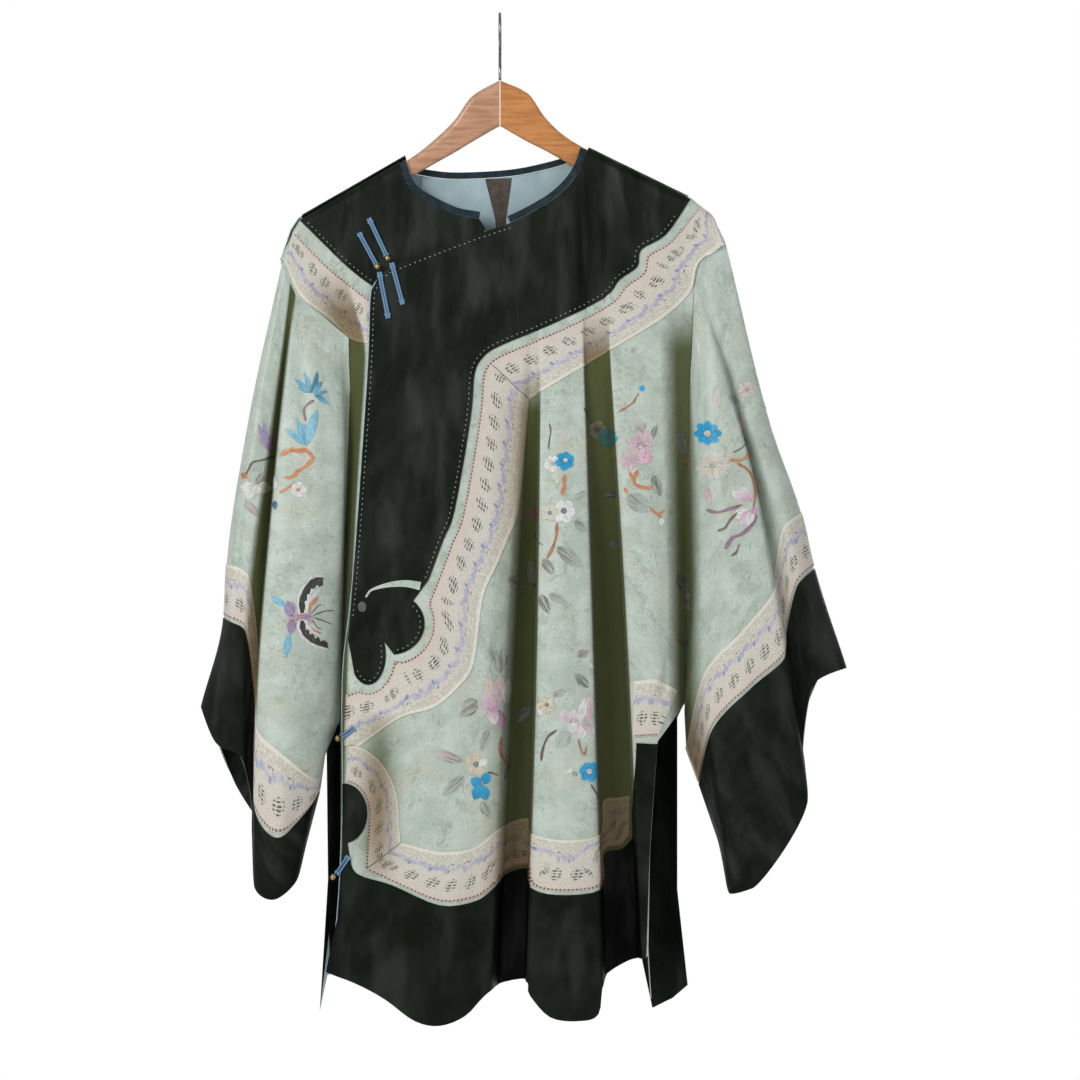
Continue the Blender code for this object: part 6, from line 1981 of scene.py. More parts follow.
def stitch_tree():
    """Stitches set end to end along the edges of a mesh."""
    group = bpy.data.node_groups.new("running_stitch", "GeometryNodeTree")
    group.interface.new_socket("Line", in_out="INPUT", socket_type="NodeSocketGeometry")
    for name in ("Spacing", "Length", "Thickness"):
        group.interface.new_socket(name, in_out="INPUT", socket_type="NodeSocketFloat")
    group.interface.new_socket("Thread", in_out="INPUT", socket_type="NodeSocketMaterial")
    group.interface.new_socket("Stitches", in_out="OUTPUT", socket_type="NodeSocketGeometry")
    given = group.nodes.new("NodeGroupInput").outputs
    line = node(group, "GeometryNodeMeshToCurve", {"Mesh": given["Line"]})
    even = node(group, "GeometryNodeResampleCurve", {"Curve": line.outputs[0], "Length": given["Spacing"]},
                mode="LENGTH")
    size = node(group, "ShaderNodeCombineXYZ", {
        0: given["Thickness"], 1: given["Thickness"], 2: given["Length"]})
    bead = node(group, "GeometryNodeMeshIcoSphere", {"Radius": 0.5, "Subdivisions": 2})
    way = node(group, "GeometryNodeInputTangent")
    turn = node(group, "FunctionNodeAlignRotationToVector", {"Vector": way.outputs[0]}, axis="Z")
    placed = node(group, "GeometryNodeInstanceOnPoints", {
        "Points": even.outputs[0], "Instance": bead.outputs[0], "Rotation": turn.outputs[0],
        "Scale": size.outputs[0]})
    real = node(group, "GeometryNodeRealizeInstances", {"Geometry": placed.outputs[0]})
    finished = node(group, "GeometryNodeSetMaterial", {
        "Geometry": real.outputs[0], "Material": given["Thread"]})
    node(group, "NodeGroupOutput", {"Stitches": finished.outputs[0]})
    return group


stitching = stitch_tree()


def stitch(name, lines, slot):
    """Running stitches along several lines of points in millimetres."""
    points, edges = [], []
    for line in lines:
        edges += [(len(points) + k, len(points) + k + 1) for k in range(len(line) - 1)]
        points += [tuple(p * MM for p in place) for place in line]
    guide_mesh = bpy.data.meshes.new(name + "_line")
    guide_mesh.from_pydata(points, edges, [])
    guide = bpy.data.objects.new(name + "_line", guide_mesh)
    scene.collection.objects.link(guide)
    modifier = guide.modifiers.new("stitches", "NODES")
    modifier.node_group = stitching
    sizes = {"Spacing": STITCH_SPACING, "Length": STITCH_LENGTH, "Thickness": STITCH_THICK, "Thread": thread}
    for item in stitching.interface.items_tree:
        if item.in_out == "INPUT" and item.name in sizes:
            modifier[item.identifier] = sizes[item.name]
    bpy.context.view_layer.update()
    result = bpy.data.meshes.new_from_object(guide.evaluated_get(bpy.context.evaluated_depsgraph_get()))
    guide.modifiers.remove(modifier)
    bpy.data.objects.remove(guide)
    bpy.data.meshes.remove(guide_mesh)
    result.name = name
    result.shade_smooth()
    made = bpy.data.objects.new(name, result)
    scene.collection.objects.link(made)
    return hold(made, slot)


def on_cloth(cloth, line, lift, facing=-1):
    spots = [cloth.find(x, z, facing) for x, z in stepped(list(line), 3.0, closed=False)]
    return list(cloth.at(spots, lift))


sewn = LAID[1] + 0.1
inset_closing = [place for place in beside(closing, STITCH_INSET) if place[1] > -650]
inset_yoke = beside(yoke_edge, -STITCH_INSET)[2:]
small_upper = widened(UPPER_LOBE, -STITCH_INSET)
small_lower = widened(LOWER_LOBE, -STITCH_INSET)
stitch("yoke_over_stitches", [
    on_cloth(front, inset_closing, sewn),
    on_cloth(front, inset_yoke, sewn),
    on_cloth(front, oval(small_upper, 40, -76, 20), sewn),
    on_cloth(front, oval(small_lower, 20, -140, 16), sewn)], "black_satin")
inset_under = beside(curved(places(UNDER_YOKE_LOW), 4), STITCH_INSET)
stitch("yoke_under_stitches", [on_cloth(front, inset_under[1:-3], UNDER_LAID[1] + 0.1)], "black_satin")
inset_back = beside(back_edge, STITCH_INSET)
stitch("yoke_back_stitches", [on_cloth(back, inset_back[1:-1], sewn, 1)], "black_satin")


# The embroidery: sprays of blossom on crooked branches, and a butterfly, in satin stitch on the damask.
# Each petal and leaf is one patch of side-by-side silk threads, a little raised, in a few shades.
TINTS = {
    "sky": (0.002, 0.350, 0.640), "deep_sky": (0.001, 0.230, 0.450), "teal": (0.006, 0.270, 0.310),
    "steel": (0.050, 0.200, 0.310), "pale_blue": (0.180, 0.430, 0.560), "navy": (0.020, 0.050, 0.110),
    "white": (0.700, 0.700, 0.680), "cream": (0.580, 0.520, 0.390), "pearl": (0.560, 0.560, 0.540),
    "rose": (0.520, 0.360, 0.430), "pink": (0.600, 0.290, 0.450), "mauve": (0.270, 0.150, 0.240),
    "blush": (0.590, 0.480, 0.470), "lilac": (0.330, 0.270, 0.430), "orange": (0.560, 0.215, 0.085),
    "rust": (0.400, 0.150, 0.065), "brown": (0.130, 0.070, 0.045), "umber": (0.190, 0.130, 0.100),
    "grey": (0.120, 0.125, 0.110), "silver": (0.330, 0.360, 0.330), "slate": (0.210, 0.230, 0.210),
    "black": (0.016, 0.015, 0.013),
}
# A flower: x, y, radius, petals, turn, tip and root tints, heart tint. A leaf: its foot x, y, its tip x, y,
# half width, foot and tip tints. A twig: half width, tint, then x, y for each bend.
RIDGE_SPRAY = (
    ("twig", 0.8, "brown", (549, 424, 551, 431, 549.5, 440, 548.5, 450)),
    ("leaf", 563, 445, 563, 433, 4, "blush", "blush"),
    ("flower", 553, 464, 9, 5, 15, "white", "pearl", "silver"),
    ("twig", 2.0, "orange", (565, 475, 563.5, 482, 564.5, 487, 561, 495)),
    ("flower", 565, 461, 10.5, 6, 40, "sky", "deep_sky", "pearl"),
    ("leaf", 574, 466, 581, 462, 2.5, "blush", "blush"),
    ("leaf", 556, 484, 559, 477, 2.2, "cream", "cream"),
    ("flower", 550, 513, 9.5, 5, 0, "cream", "pearl", "slate"),
    ("twig", 1.8, "rust", (557, 523, 556.5, 535, 553.5, 546, 547, 559)),
    ("flower", 563.5, 511, 13, 6, 8, "white", "white", "slate"),
    ("leaf", 574, 500, 585, 491, 3, "silver", "silver"),
    ("leaf", 575, 521, 584, 532, 4, "grey", "slate"),
    ("leaf", 557, 547, 582, 567, 6.5, "grey", "silver"),
    ("leaf", 543, 559, 553.5, 574, 5, "umber", "slate"),
    ("leaf", 549, 594, 567, 603, 5, "slate", "silver"),
    ("leaf", 541, 594, 549, 613, 5, "grey", "grey"),
)
SECOND_SPRAY = (
    ("leaf", 641.5, 392, 642, 385.5, 2.8, "sky", "sky"),
    ("twig", 1.1, "rust", (619, 412, 626, 408, 633, 403, 635, 399, 638.5, 394)),
    ("leaf", 642, 435, 638, 419, 5, "umber", "blush"),
    ("leaf", 652, 438, 656, 426, 3, "grey", "grey"),
    ("flower", 629, 461, 10, 5, 20, "blush", "rose", "rose"),
    ("twig", 2.0, "orange", (637.5, 470, 633.5, 480, 637, 486, 648, 488.5, 653, 487)),
    ("twig", 1.6, "orange", (629, 472, 634, 482)),
    ("twig", 1.6, "orange", (624, 488, 627.5, 494)),
    ("flower", 640, 444, 15, 11, 0, "blush", "rose", "blush"),
    ("flower", 640, 447, 9, 8, 20, "pearl", "mauve", "blush"),
    ("flower", 644, 458, 8.5, 6, 10, "pink", "blush", "pink"),
    ("leaf", 627, 496, 650, 511, 9, "slate", "silver"),
    ("leaf", 652.5, 475, 659.5, 497, 4.8, "grey", "grey"),
    ("twig", 1.3, "orange", (650, 508, 656, 514, 664, 510.5)),
    ("twig", 1.3, "orange", (657, 513, 660, 519)),
    ("leaf", 660, 518, 661, 526, 3, "white", "white"),
)
TROUGH_BLOOMS = (
    ("flower", 597, 430, 10, 5, 0, "cream", "umber", "brown"),
    ("twig", 0.8, "brown", (583, 408, 588, 418, 592, 424)),
    ("flower", 608.5, 438, 11, 6, 10, "teal", "teal", "umber"),
    ("leaf", 604, 496, 617, 494, 4.5, "brown", "grey"),
    ("leaf", 611, 548, 617, 540, 5, "grey", "grey"),
    ("leaf", 540, 513, 525, 512, 5, "rust", "mauve"),
    ("leaf", 538, 509, 530, 521, 4, "rust", "rust"),
    ("twig", 0.8, "umber", (533, 530, 538, 541, 543, 545)),
    ("leaf", 508, 577, 523, 588, 5.5, "umber", "brown"),
    ("leaf", 530, 560, 535, 588, 6, "umber", "brown"),
    ("leaf", 517, 722, 531, 706, 6, "grey", "grey"),
    ("twig", 0.9, "grey", (517, 746, 522, 738, 532, 734.5)),
    ("twig", 1.1, "umber", (516, 765, 507, 767.5, 503.5, 778)),
)
SIDE_BLOOMS = (
    ("leaf", 678, 432, 684, 456, 5.5, "grey", "slate"),
    ("leaf", 693, 466, 690, 482, 3.5, "grey", "grey"),
    ("twig", 2.2, "rust", (685, 467, 687.5, 458, 693, 453, 699, 451)),
    ("leaf", 676, 574, 688, 592, 5.5, "grey", "grey"),
    ("flower", 692, 602, 11, 5, 10, "cream", "umber", "umber"),
    ("flower", 693, 640, 9, 5, 20, "teal", "teal", "umber"),
    ("twig", 1.4, "rust", (677, 640, 683, 644, 688, 644)),
)
LOWER_SPRAY = (
    ("leaf", 502, 669, 489, 645, 5, "grey", "slate"),
    ("leaf", 503, 667, 503, 645, 4, "grey", "slate"),
    ("leaf", 500, 672, 497, 652, 5, "grey", "slate"),
    ("leaf", 494, 706, 487, 676, 7, "blush", "cream"),
    ("leaf", 499, 706, 500, 674, 7, "rose", "blush"),
    ("leaf", 494, 712, 480, 691, 6, "pink", "pearl"),
    ("leaf", 505, 704, 507, 677, 4, "pearl", "white"),
    ("leaf", 496, 706, 503, 692, 6, "rose", "pearl"),
    ("leaf", 498, 708, 503, 729, 4.5, "mauve", "pink"),
    ("leaf", 491, 706, 495, 724, 6, "pink", "white"),
    ("leaf", 495, 704, 491, 715, 5.5, "pink", "pearl"),
    ("leaf", 478, 700, 462, 706, 5.5, "umber", "silver"),
    ("leaf", 478, 705, 460, 715, 5, "umber", "slate"),
    ("leaf", 488, 729, 481, 750, 4.2, "slate", "silver"),
    ("leaf", 463, 760, 431, 750, 5.2, "umber", "blush"),
    ("twig", 1.5, "rust", (501, 736, 500, 752, 507, 764, 516, 765)),
    ("leaf", 464, 775, 443, 794, 5.2, "slate", "silver"),
    ("leaf", 482, 800, 488, 815, 4.6, "slate", "slate"),
    ("twig", 0.9, "brown", (488, 771, 493, 772, 498, 774)),
    ("flower", 476, 763, 13, 7, 12, "cream", "cream", "slate"),
    ("leaf", 479, 765, 488, 758, 4, "white", "white"),
    ("leaf", 481, 783, 471, 778, 5.4, "deep_sky", "sky"),
    ("leaf", 481, 784, 474, 798, 5.6, "sky", "deep_sky"),
    ("leaf", 482, 784, 486, 799, 5.6, "sky", "deep_sky"),
    ("leaf", 483, 783, 489, 771, 5.0, "deep_sky", "sky"),
    ("leaf", 481, 779, 481, 785, 2.6, "slate", "slate"),
)
RIDGE_LOW_SPRAY = (
    ("leaf", 577, 656, 588, 650, 4, "umber", "mauve"),
    ("leaf", 588, 662, 592, 668, 1.8, "white", "white"),
    ("leaf", 575, 673, 588, 687, 5, "slate", "grey"),
    ("leaf", 553, 695, 566, 689, 4, "umber", "silver"),
    ("flower", 547, 704, 9.5, 5, 20, "cream", "cream", "slate"),
    ("leaf", 543, 707, 540, 715, 3, "white", "white"),
    ("leaf", 585, 722, 589, 692, 5.5, "rose", "blush"),
    ("leaf", 580, 722, 584, 697, 4.5, "pearl", "white"),
    ("leaf", 568, 722, 561, 708, 6, "blush", "pearl"),
    ("leaf", 572, 724, 574, 708, 5, "rose", "white"),
    ("leaf", 576, 722, 568, 733, 5, "white", "pearl"),
    ("leaf", 580, 722, 583, 737, 5.5, "blush", "white"),
    ("leaf", 584, 722, 593, 733, 4.5, "rose", "pearl"),
    ("twig", 1.3, "brown", (557, 729, 548, 736, 543, 748, 541.5, 760)),
    ("leaf", 569, 730, 557, 747, 6.5, "silver", "silver"),
    ("twig", 0.9, "rust", (578, 738, 580, 747, 583.5, 754, 586, 746)),
    ("leaf", 572, 768, 565, 771, 3, "white", "white"),
    ("leaf", 576, 775, 573, 770, 2.6, "slate", "slate"),
    ("flower", 588.5, 770, 11, 6, 8, "sky", "deep_sky", "pearl"),
    ("twig", 0.8, "brown", (590, 783, 594, 790, 597, 797)),
)
LEFT_SLEEVE_SPRAY = (
    ("leaf", 717, 387, 713.5, 412, 5.2, "silver", "blush"),
    ("leaf", 727, 397, 741, 404, 4.5, "slate", "silver"),
    ("leaf", 744, 418, 738, 432, 4.5, "blush", "blush"),
    ("flower", 746, 390, 9, 5, 10, "cream", "blush", "silver"),
    ("twig", 0.7, "grey", (732, 453, 740, 449, 744, 444, 746, 437)),
    ("twig", 1.5, "orange", (728, 460.5, 738, 461, 744, 458.5, 748.5, 452)),
    ("twig", 1.4, "rust", (736, 464, 746, 470, 752, 482, 753.5, 495, 752, 508)),
    ("flower", 707.5, 434, 13.5, 8, 0, "sky", "deep_sky", "cream"),
    ("flower", 713.5, 466, 17.5, 11, 6, "pearl", "cream", "silver"),
    ("twig", 1.6, "mauve", (706, 510, 716, 512.5, 726, 510, 741, 505)),
    ("twig", 1.4, "umber", (717, 531, 724, 528, 729, 520, 736, 513)),
    ("twig", 1.9, "mauve", (724, 549, 731, 538, 741, 534, 752, 523, 755, 515)),
    ("twig", 1.3, "umber", (730, 556, 735, 552, 738, 544)),
    ("leaf", 707, 486, 709, 506, 3.5, "rose", "blush"),
    ("leaf", 747, 500, 730, 492, 5.4, "rose", "white"),
    ("leaf", 748, 500, 740, 487, 5.0, "pink", "white"),
    ("leaf", 749, 502, 746, 490, 3.6, "pink", "pearl"),
    ("leaf", 750, 512, 731, 516, 5.6, "pearl", "white"),
    ("leaf", 750, 511, 737, 526, 5.2, "pink", "pearl"),
    ("leaf", 750, 511, 747, 527, 4.8, "pearl", "white"),
    ("leaf", 750, 514, 756, 508, 3.2, "pink", "pink"),
)
RIGHT_SLEEVE_SPRAY = (
    ("leaf", 313, 394, 304.5, 372, 2.6, "steel", "pale_blue"),
    ("leaf", 312, 394, 295, 379, 2.8, "steel", "pale_blue"),
    ("leaf", 313, 393, 298, 388, 2.6, "steel", "pale_blue"),
    ("leaf", 314, 394, 318, 372, 2.6, "steel", "steel"),
    ("leaf", 314, 394, 323, 382, 2.4, "pale_blue", "steel"),
    ("leaf", 315, 395, 330, 405, 2.6, "steel", "pale_blue"),
    ("leaf", 315, 395, 328, 392, 2.2, "pale_blue", "steel"),
    ("twig", 1.4, "umber", (315, 401, 309, 405, 305, 411, 307, 422)),
    ("leaf", 308, 446, 286, 429, 3.4, "pale_blue", "pale_blue"),
    ("leaf", 308, 446, 297, 419, 3.6, "pale_blue", "pale_blue"),
    ("leaf", 308, 446, 305, 424, 3.8, "steel", "pale_blue"),
    ("leaf", 308, 446, 318, 410, 4.2, "pale_blue", "pale_blue"),
    ("leaf", 308, 446, 313, 416, 3.4, "steel", "pale_blue"),
    ("twig", 2.6, "orange", (282, 456, 291, 451, 300, 451.5, 308, 451, 315, 459)),
    ("twig", 2.2, "orange", (315, 459, 308, 466, 300, 471, 294, 477, 286, 478)),
    ("twig", 1.5, "orange", (281, 493, 287, 490, 292, 486, 296, 486)),
    ("flower", 299.5, 490, 8.5, 5, 0, "white", "pearl", "orange"),
    ("leaf", 277, 476, 277.5, 490, 2.4, "blush", "white"),
    ("leaf", 277, 501, 277, 510, 2.2, "navy", "steel"),
    ("leaf", 270, 452, 264, 421, 2.6, "lilac", "lilac"),
    ("leaf", 269, 451, 256, 431, 2.8, "lilac", "blush"),
    ("leaf", 269, 452, 259, 424, 2.6, "lilac", "lilac"),
    ("leaf", 270, 452, 270, 434, 2.6, "mauve", "lilac"),
    ("twig", 1.0, "brown", (276, 455, 264, 460, 254, 462.5, 250, 470, 247, 476)),
    ("leaf", 257, 484, 264, 473, 3.2, "umber", "mauve"),
    ("leaf", 249, 478, 243, 474, 3, "orange", "rust"),
    ("leaf", 256, 488, 242, 487, 5.4, "pearl", "white"),
    ("leaf", 254, 490, 249, 499, 4.6, "cream", "white"),
    ("leaf", 257, 487, 272, 489, 6, "cream", "white"),
    ("leaf", 256, 486, 258, 495, 4.4, "white", "pearl"),
    ("leaf", 243, 499, 261, 517, 4, "blush", "mauve"),
)
BUTTERFLY = (
    ("leaf", 288, 606, 272, 596, 3.6, "pale_blue", "pale_blue"),
    ("leaf", 291, 633, 287.5, 657, 3.8, "pale_blue", "pale_blue"),
    ("leaf", 294, 615, 289, 600, 5.2, "mauve", "lilac"),
    ("leaf", 294, 616, 286, 606, 3.6, "lilac", "lilac"),
    ("leaf", 294, 618, 292, 634, 4.4, "mauve", "lilac"),
    ("patch", "white", "pearl", (
        300, 614, 298, 605, 299, 595, 303, 586, 309, 578, 316, 574, 323, 573, 324, 583, 317, 588, 311,
        595, 308, 604, 307, 613)),
    ("patch", "black", "black", (
        301.5, 613, 300, 604, 301, 597, 305, 588, 311, 580, 317, 577, 323.5, 577, 323.5, 585, 319,
        586.5, 318, 584.5, 314.5, 589, 312, 588, 310.5, 594, 308, 594, 308, 600, 305.5, 601, 306.5, 607,
        304.5, 613)),
    ("patch", "white", "pearl", (
        305.5, 613, 306.5, 604, 310, 597, 315, 591, 321, 588, 319, 594, 315, 597, 311, 603, 309, 613)),
    ("patch", "orange", "orange", (
        309, 612, 310, 604, 313.5, 599, 319.5, 596.5, 316.5, 602, 312, 606, 311, 612)),
    ("patch", "white", "pearl", (
        300, 619, 297.5, 627, 302, 637, 309, 644, 318, 648, 328, 650, 326, 643, 318, 638, 311, 632, 307,
        625, 305, 619)),
    ("patch", "black", "black", (
        301.5, 620, 300.5, 627, 304, 635, 311, 641.5, 319, 645, 328, 648, 327.5, 642, 324, 639.5, 321,
        641, 319, 636.5, 315.5, 638, 314, 633, 310.5, 634, 309.5, 629, 306.5, 629, 306.5, 624, 304.5,
        620)),
    ("patch", "white", "pearl", (
        304.5, 620, 308, 627, 313, 633, 321, 637, 323, 635.5, 315, 631, 310, 625.5, 308, 620)),
    ("patch", "orange", "orange", (
        307.5, 620, 310, 625, 315, 629, 322, 632, 320, 634.5, 314, 632, 309.5, 626.5)),
    ("leaf", 300, 616, 314, 612, 3.4, "pink", "lilac"),
    ("leaf", 300, 616, 314, 622, 3.2, "lilac", "rose"),
    ("leaf", 288, 617, 314, 616, 3.6, "rose", "mauve"),
    ("twig", 0.5, "black", (314, 615, 324, 611, 334, 610)),
    ("twig", 0.5, "black", (314, 617, 323, 620, 332, 624)),
    ("twig", 0.5, "brown", (313, 612, 318, 606, 322, 604)),
    ("twig", 0.5, "brown", (313, 619, 318, 627, 322, 628)),
)
OPEN_TINTS = ("grey", "slate", "silver", "umber", "brown", "blush", "mauve")
THREAD_RAISED = 0.3
PATCH_PETAL = ((0.0, 0.25), (0.12, 0.55), (0.38, 0.92), (0.62, 1.0), (0.84, 0.78), (0.95, 0.42), (1.0, 0.0))
PATCH_LEAF = ((0.0, 0.0), (0.10, 0.50), (0.30, 0.90), (0.50, 1.0), (0.72, 0.80), (0.90, 0.36), (1.0, 0.0))

threads, tree, shader = principled("satin_stitch_silk", (0.5, 0.5, 0.5), 0.38)
sewn_tint = node(tree, "ShaderNodeAttribute", attribute_name="tint")
tint = sewn_tint.outputs["Color"]
apart = node(tree, "ShaderNodeSeparateXYZ", {0: own_place(tree)})
line_place = node(tree, "ShaderNodeCombineXYZ", {
    0: reckon(tree, "MULTIPLY", apart.outputs[0], 1500.0),
    1: reckon(tree, "MULTIPLY", apart.outputs[1], 110.0)}).outputs[0]
lines = noise(tree, line_place, 1.0, 2.0, 0.6)
dim = node(tree, "ShaderNodeMix", {0: 1.0}, data_type="RGBA", blend_type="MULTIPLY")
tree.links.new(tint, dim.inputs[6])
dim.inputs[7].default_value = (0.42, 0.42, 0.40, 1)
colour = mix(tree, between(tree, lines, 0.52, 0.40, 0.0, 0.62), tint, dim.outputs[2])
colour = mix(tree, between(tree, lines, 0.60, 0.72, 0.0, 0.28), colour, (0.72, 0.74, 0.70))
# Leaves are stitched in open rows, so that the silk shows between their threads
rows_place = node(tree, "ShaderNodeCombineXYZ", {
    0: reckon(tree, "MULTIPLY", apart.outputs[0], 980.0),
    1: reckon(tree, "MULTIPLY", apart.outputs[1], 42.0)}).outputs[0]
gaps = between(tree, noise(tree, rows_place, 1.0, 1.0, 0.5), 0.46, 0.52, 0.0, 0.62)
gaps = reckon(tree, "MULTIPLY", gaps, between(tree, sewn_tint.outputs["Alpha"], 0.0, 1.0, 1.0, 0.0))
colour = mix(tree, gaps, colour, (0.44, 0.50, 0.44))
# Painted shade: the threads darken towards olive in the deep folds.
shadowed = node(tree, "ShaderNodeMix", {0: 1.0}, data_type="RGBA", blend_type="MULTIPLY")
tree.links.new(colour, shadowed.inputs[6])
shadowed.inputs[7].default_value = (0.16, 0.17, 0.10, 1)
colour = mix(tree, reckon(tree, "MULTIPLY", painted_fold_shade(tree), 0.90), colour, shadowed.outputs[2])
tree.links.new(colour, shader.inputs["Base Color"])
shader.inputs["Sheen Weight"].default_value = 0.1
bumped(tree, shader, lines, 0.7, 0.0005)


def patch_outline(x0, y0, x1, y1, half, form):
    """The outline of a petal or leaf from its foot to its tip."""
    foot, tip = seen(x0, y0), seen(x1, y1)
    run = math.dist(foot, tip)
    ahead = ((tip[0] - foot[0]) / run, (tip[1] - foot[1]) / run)
    wide = half * VIEW_SCALE

    def rim(t, w):
        return (foot[0] + ahead[0] * run * t - ahead[1] * wide * w,
                foot[1] + ahead[1] * run * t + ahead[0] * wide * w)

    one = [rim(t, w) for t, w in form]
    other = [rim(t, -w) for t, w in form if w > 0]
    return one + list(reversed(other)), foot, tip


def motif_patches(rows):
    """Each petal, leaf and twig of a spray: its outline, its foot and tip, and its two tints."""
    for row in rows:
        kind = row[0]
        if kind == "leaf":
            x0, y0, x1, y1, half, foot_tint, tip_tint = row[1:]
            yield (*patch_outline(x0, y0, x1, y1, half, PATCH_LEAF), foot_tint, tip_tint,
                   foot_tint in OPEN_TINTS and tip_tint in OPEN_TINTS)
        elif kind == "flower":
            x, y, radius, count, turn, tip_tint, foot_tint, heart = row[1:]
            for k in range(count):
                angle = math.radians(turn + 360 * k / count)
                reach = radius * (0.92 + 0.08 * math.cos(5.0 * k + turn))
                half = radius * min(0.44, 2.15 / count)
                near, far = radius * 0.16, reach
                ahead, up = math.cos(angle), math.sin(angle)
                yield (*patch_outline(x + near * ahead, y + near * up, x + far * ahead, y + far * up, half,
                                      PATCH_PETAL), foot_tint, tip_tint, False)
            disc = radius * 0.24
            yield (*patch_outline(x - disc, y, x + disc, y + 0.1, disc, PATCH_PETAL), heart, heart, False)
        elif kind == "patch":
            foot_tint, tip_tint, line = row[1:]
            line = [seen(*line[k:k + 2]) for k in range(0, len(line), 2)]
            yield (line, line[0], line[len(line) // 2], foot_tint, tip_tint, False)
        else:
            half, shade, line = row[1:]
            line = curved([seen(*line[k:k + 2]) for k in range(0, len(line), 2)], 3)
            wide = half * VIEW_SCALE
            taper = [wide * (0.82 + 0.18 * math.sin(1.1 * k)) * (0.45 if k in (0, len(line) - 1) else 1.0)
                     for k in range(len(line))]
            one = [beside(line, half)[k] for k, half in enumerate(taper)]
            other = [beside(line, -half)[k] for k, half in enumerate(taper)]
            yield (one + list(reversed(other)), line[0], line[-1], shade, shade, False)


def moved(place, dx, dy, flip):
    """A place of a spray that is moved, and mirrored where flip is -1."""
    return place[0] * flip + dx, place[1] + dy


def embroider(name, cloth, sprays, facing=-1):
    """Joins the patches of several sprays into one piece on the cloth. A spray may be moved or mirrored."""
    points, faces, corner_map, painted_shade, tints = [], [], [], [], []
    number = 0
    for rows, *shift in sprays:
        for outline, foot, tip, foot_tint, tip_tint, is_open in motif_patches(rows):
            foot, tip = moved(foot, *shift), moved(tip, *shift)
            spots, parts = cut(cloth, [moved(p, *shift) for p in outline], facing, 3.5)
            if not parts:
                continue
            low = SILK[1] + 0.03 + 0.03 * (number % 12)
            number += 1
            flat = cloth.at(spots, 0.0)[:, (0, 2)]
            run = np.array(tip) - np.array(foot)
            size = max(np.linalg.norm(run), 1e-6)
            ahead = run / size
            off = flat - np.array(foot)
            along_it, across_it = off @ ahead, off @ np.array((-ahead[1], ahead[0]))
            own_map = np.stack((across_it * MM + 0.037 * number, along_it * MM), axis=1)
            made, every, mapped, dark, _ = shell(cloth, spots, parts, (low, low + THREAD_RAISED), own_map)
            if len(made) != 2 * len(spots):
                continue
            share = np.clip(along_it / size, 0, 1)[:, None]
            tone = np.array(TINTS[foot_tint]) * (1 - share) + np.array(TINTS[tip_tint]) * share
            first = sum(len(p) for p in points)
            points.append(made)
            faces += [[k + first for k in face] for face in every]
            corner_map.append(mapped)
            painted_shade.append(dark)
            tone = np.concatenate((tone, np.full((len(tone), 1), 0.0 if is_open else 1.0)), axis=1)
            tints.append(np.concatenate((tone, tone)))
    made = piece(name, np.concatenate(points), faces, [threads], np.concatenate(corner_map))
    # The painted fold shade of every patch, which the thread material reads
    mark(made, "fold", np.concatenate(painted_shade))
    tone = np.concatenate(tints)
    layer = made.data.attributes.new("tint", "FLOAT_COLOR", "POINT")
    layer.data.foreach_set("color", tone.astype(np.float32).ravel())
    return hold(made, "celadon_silk")


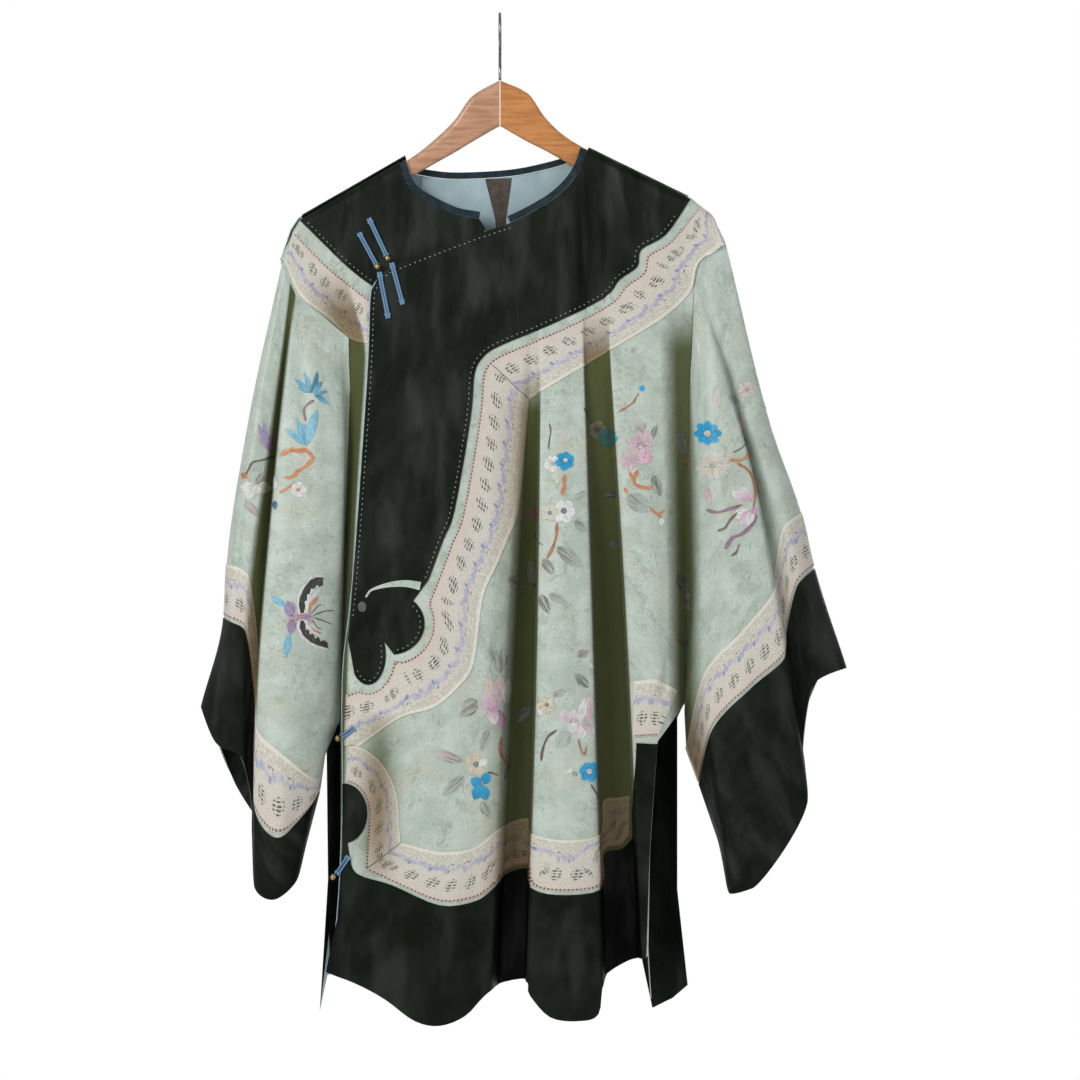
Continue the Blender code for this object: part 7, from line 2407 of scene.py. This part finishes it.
embroider("front_embroidery", front, [(rows, 0, 0, 1) for rows in (
    RIDGE_SPRAY, SECOND_SPRAY, TROUGH_BLOOMS, SIDE_BLOOMS, LOWER_SPRAY, RIDGE_LOW_SPRAY)])
embroider("back_embroidery", back, [
    (RIDGE_SPRAY, 66, -10, -1), (SECOND_SPRAY, 20, -30, -1), (LOWER_SPRAY, -100, 92, -1),
    (RIDGE_LOW_SPRAY, 186, 84, -1), (RIDGE_LOW_SPRAY, -50, 40, 1)], 1)
embroider("sleeve_left_embroidery", left_sleeve, [(LEFT_SLEEVE_SPRAY, 0, 0, 1)])
embroider("sleeve_left_back_embroidery", left_sleeve, [(LEFT_SLEEVE_SPRAY, 12, -20, 1)], 1)
embroider("sleeve_right_embroidery", right_sleeve, [(RIGHT_SLEEVE_SPRAY, 0, 0, 1), (BUTTERFLY, 0, 0, 1)])
embroider("sleeve_right_back_embroidery", right_sleeve, [(RIGHT_SLEEVE_SPRAY, -6, -40, 1)], 1)


# Every sheet of cloth, with the flat size that it was cut to and what carries it. The satin, ribbon,
# bindings and turnings lie on the sheet that they are sewn to.
LEAST_SHARE = 0.3
RESTS = {
    "overlap_silk": ("hanger_left_wood", ["yoke_over_satin", "ribbon_yoke_over_band", "border_front_satin",
                                          "ribbon_hem_front_band", "ribbon_slit_right_band",
                                          "ribbon_slit_left_band", "neck_binding_over_satin",
                                          "cloud_teardrop", "cloud_curl_silk", "turning_front_left_silk",
                                          "slit_left_facing", "slit_right_facing"]),
    "under_front_silk": ("hanger_right_wood", ["yoke_under_satin", "ribbon_yoke_under_band",
                                               "neck_binding_under_satin", "turning_front_right_silk"]),
    "back_silk": ("hanger_left_wood", ["yoke_back_satin", "ribbon_yoke_back_band", "border_back_satin",
                                       "ribbon_hem_back_band", "neck_binding_back_satin",
                                       "lining_right_cotton", "lining_left_cotton", "facing_neck_strip",
                                       "turning_back_right_silk", "turning_back_left_silk",
                                       "shoulder_fold_right_silk", "shoulder_fold_left_silk",
                                       "shoulder_turning_right_silk", "shoulder_turning_left_silk"]),
    "sleeve_right_silk": ("back_silk", ["cuff_right_satin", "cuff_right_facing", "ribbon_sleeve_right_band"]),
    "sleeve_left_silk": ("back_silk", ["cuff_left_satin", "cuff_left_facing", "ribbon_sleeve_left_band"]),
}
laid_on = {part: cloth for cloth, (_, parts) in RESTS.items() for part in parts}
for name, (flat, area) in sheets.items():
    width, length = flat
    flat_area = min(area, width * length)
    flat_area = max(flat_area, LEAST_SHARE * width * length)
    rests_on, parts = RESTS.get(name, (laid_on.get(name, "overlap_silk"), []))
    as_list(parts)
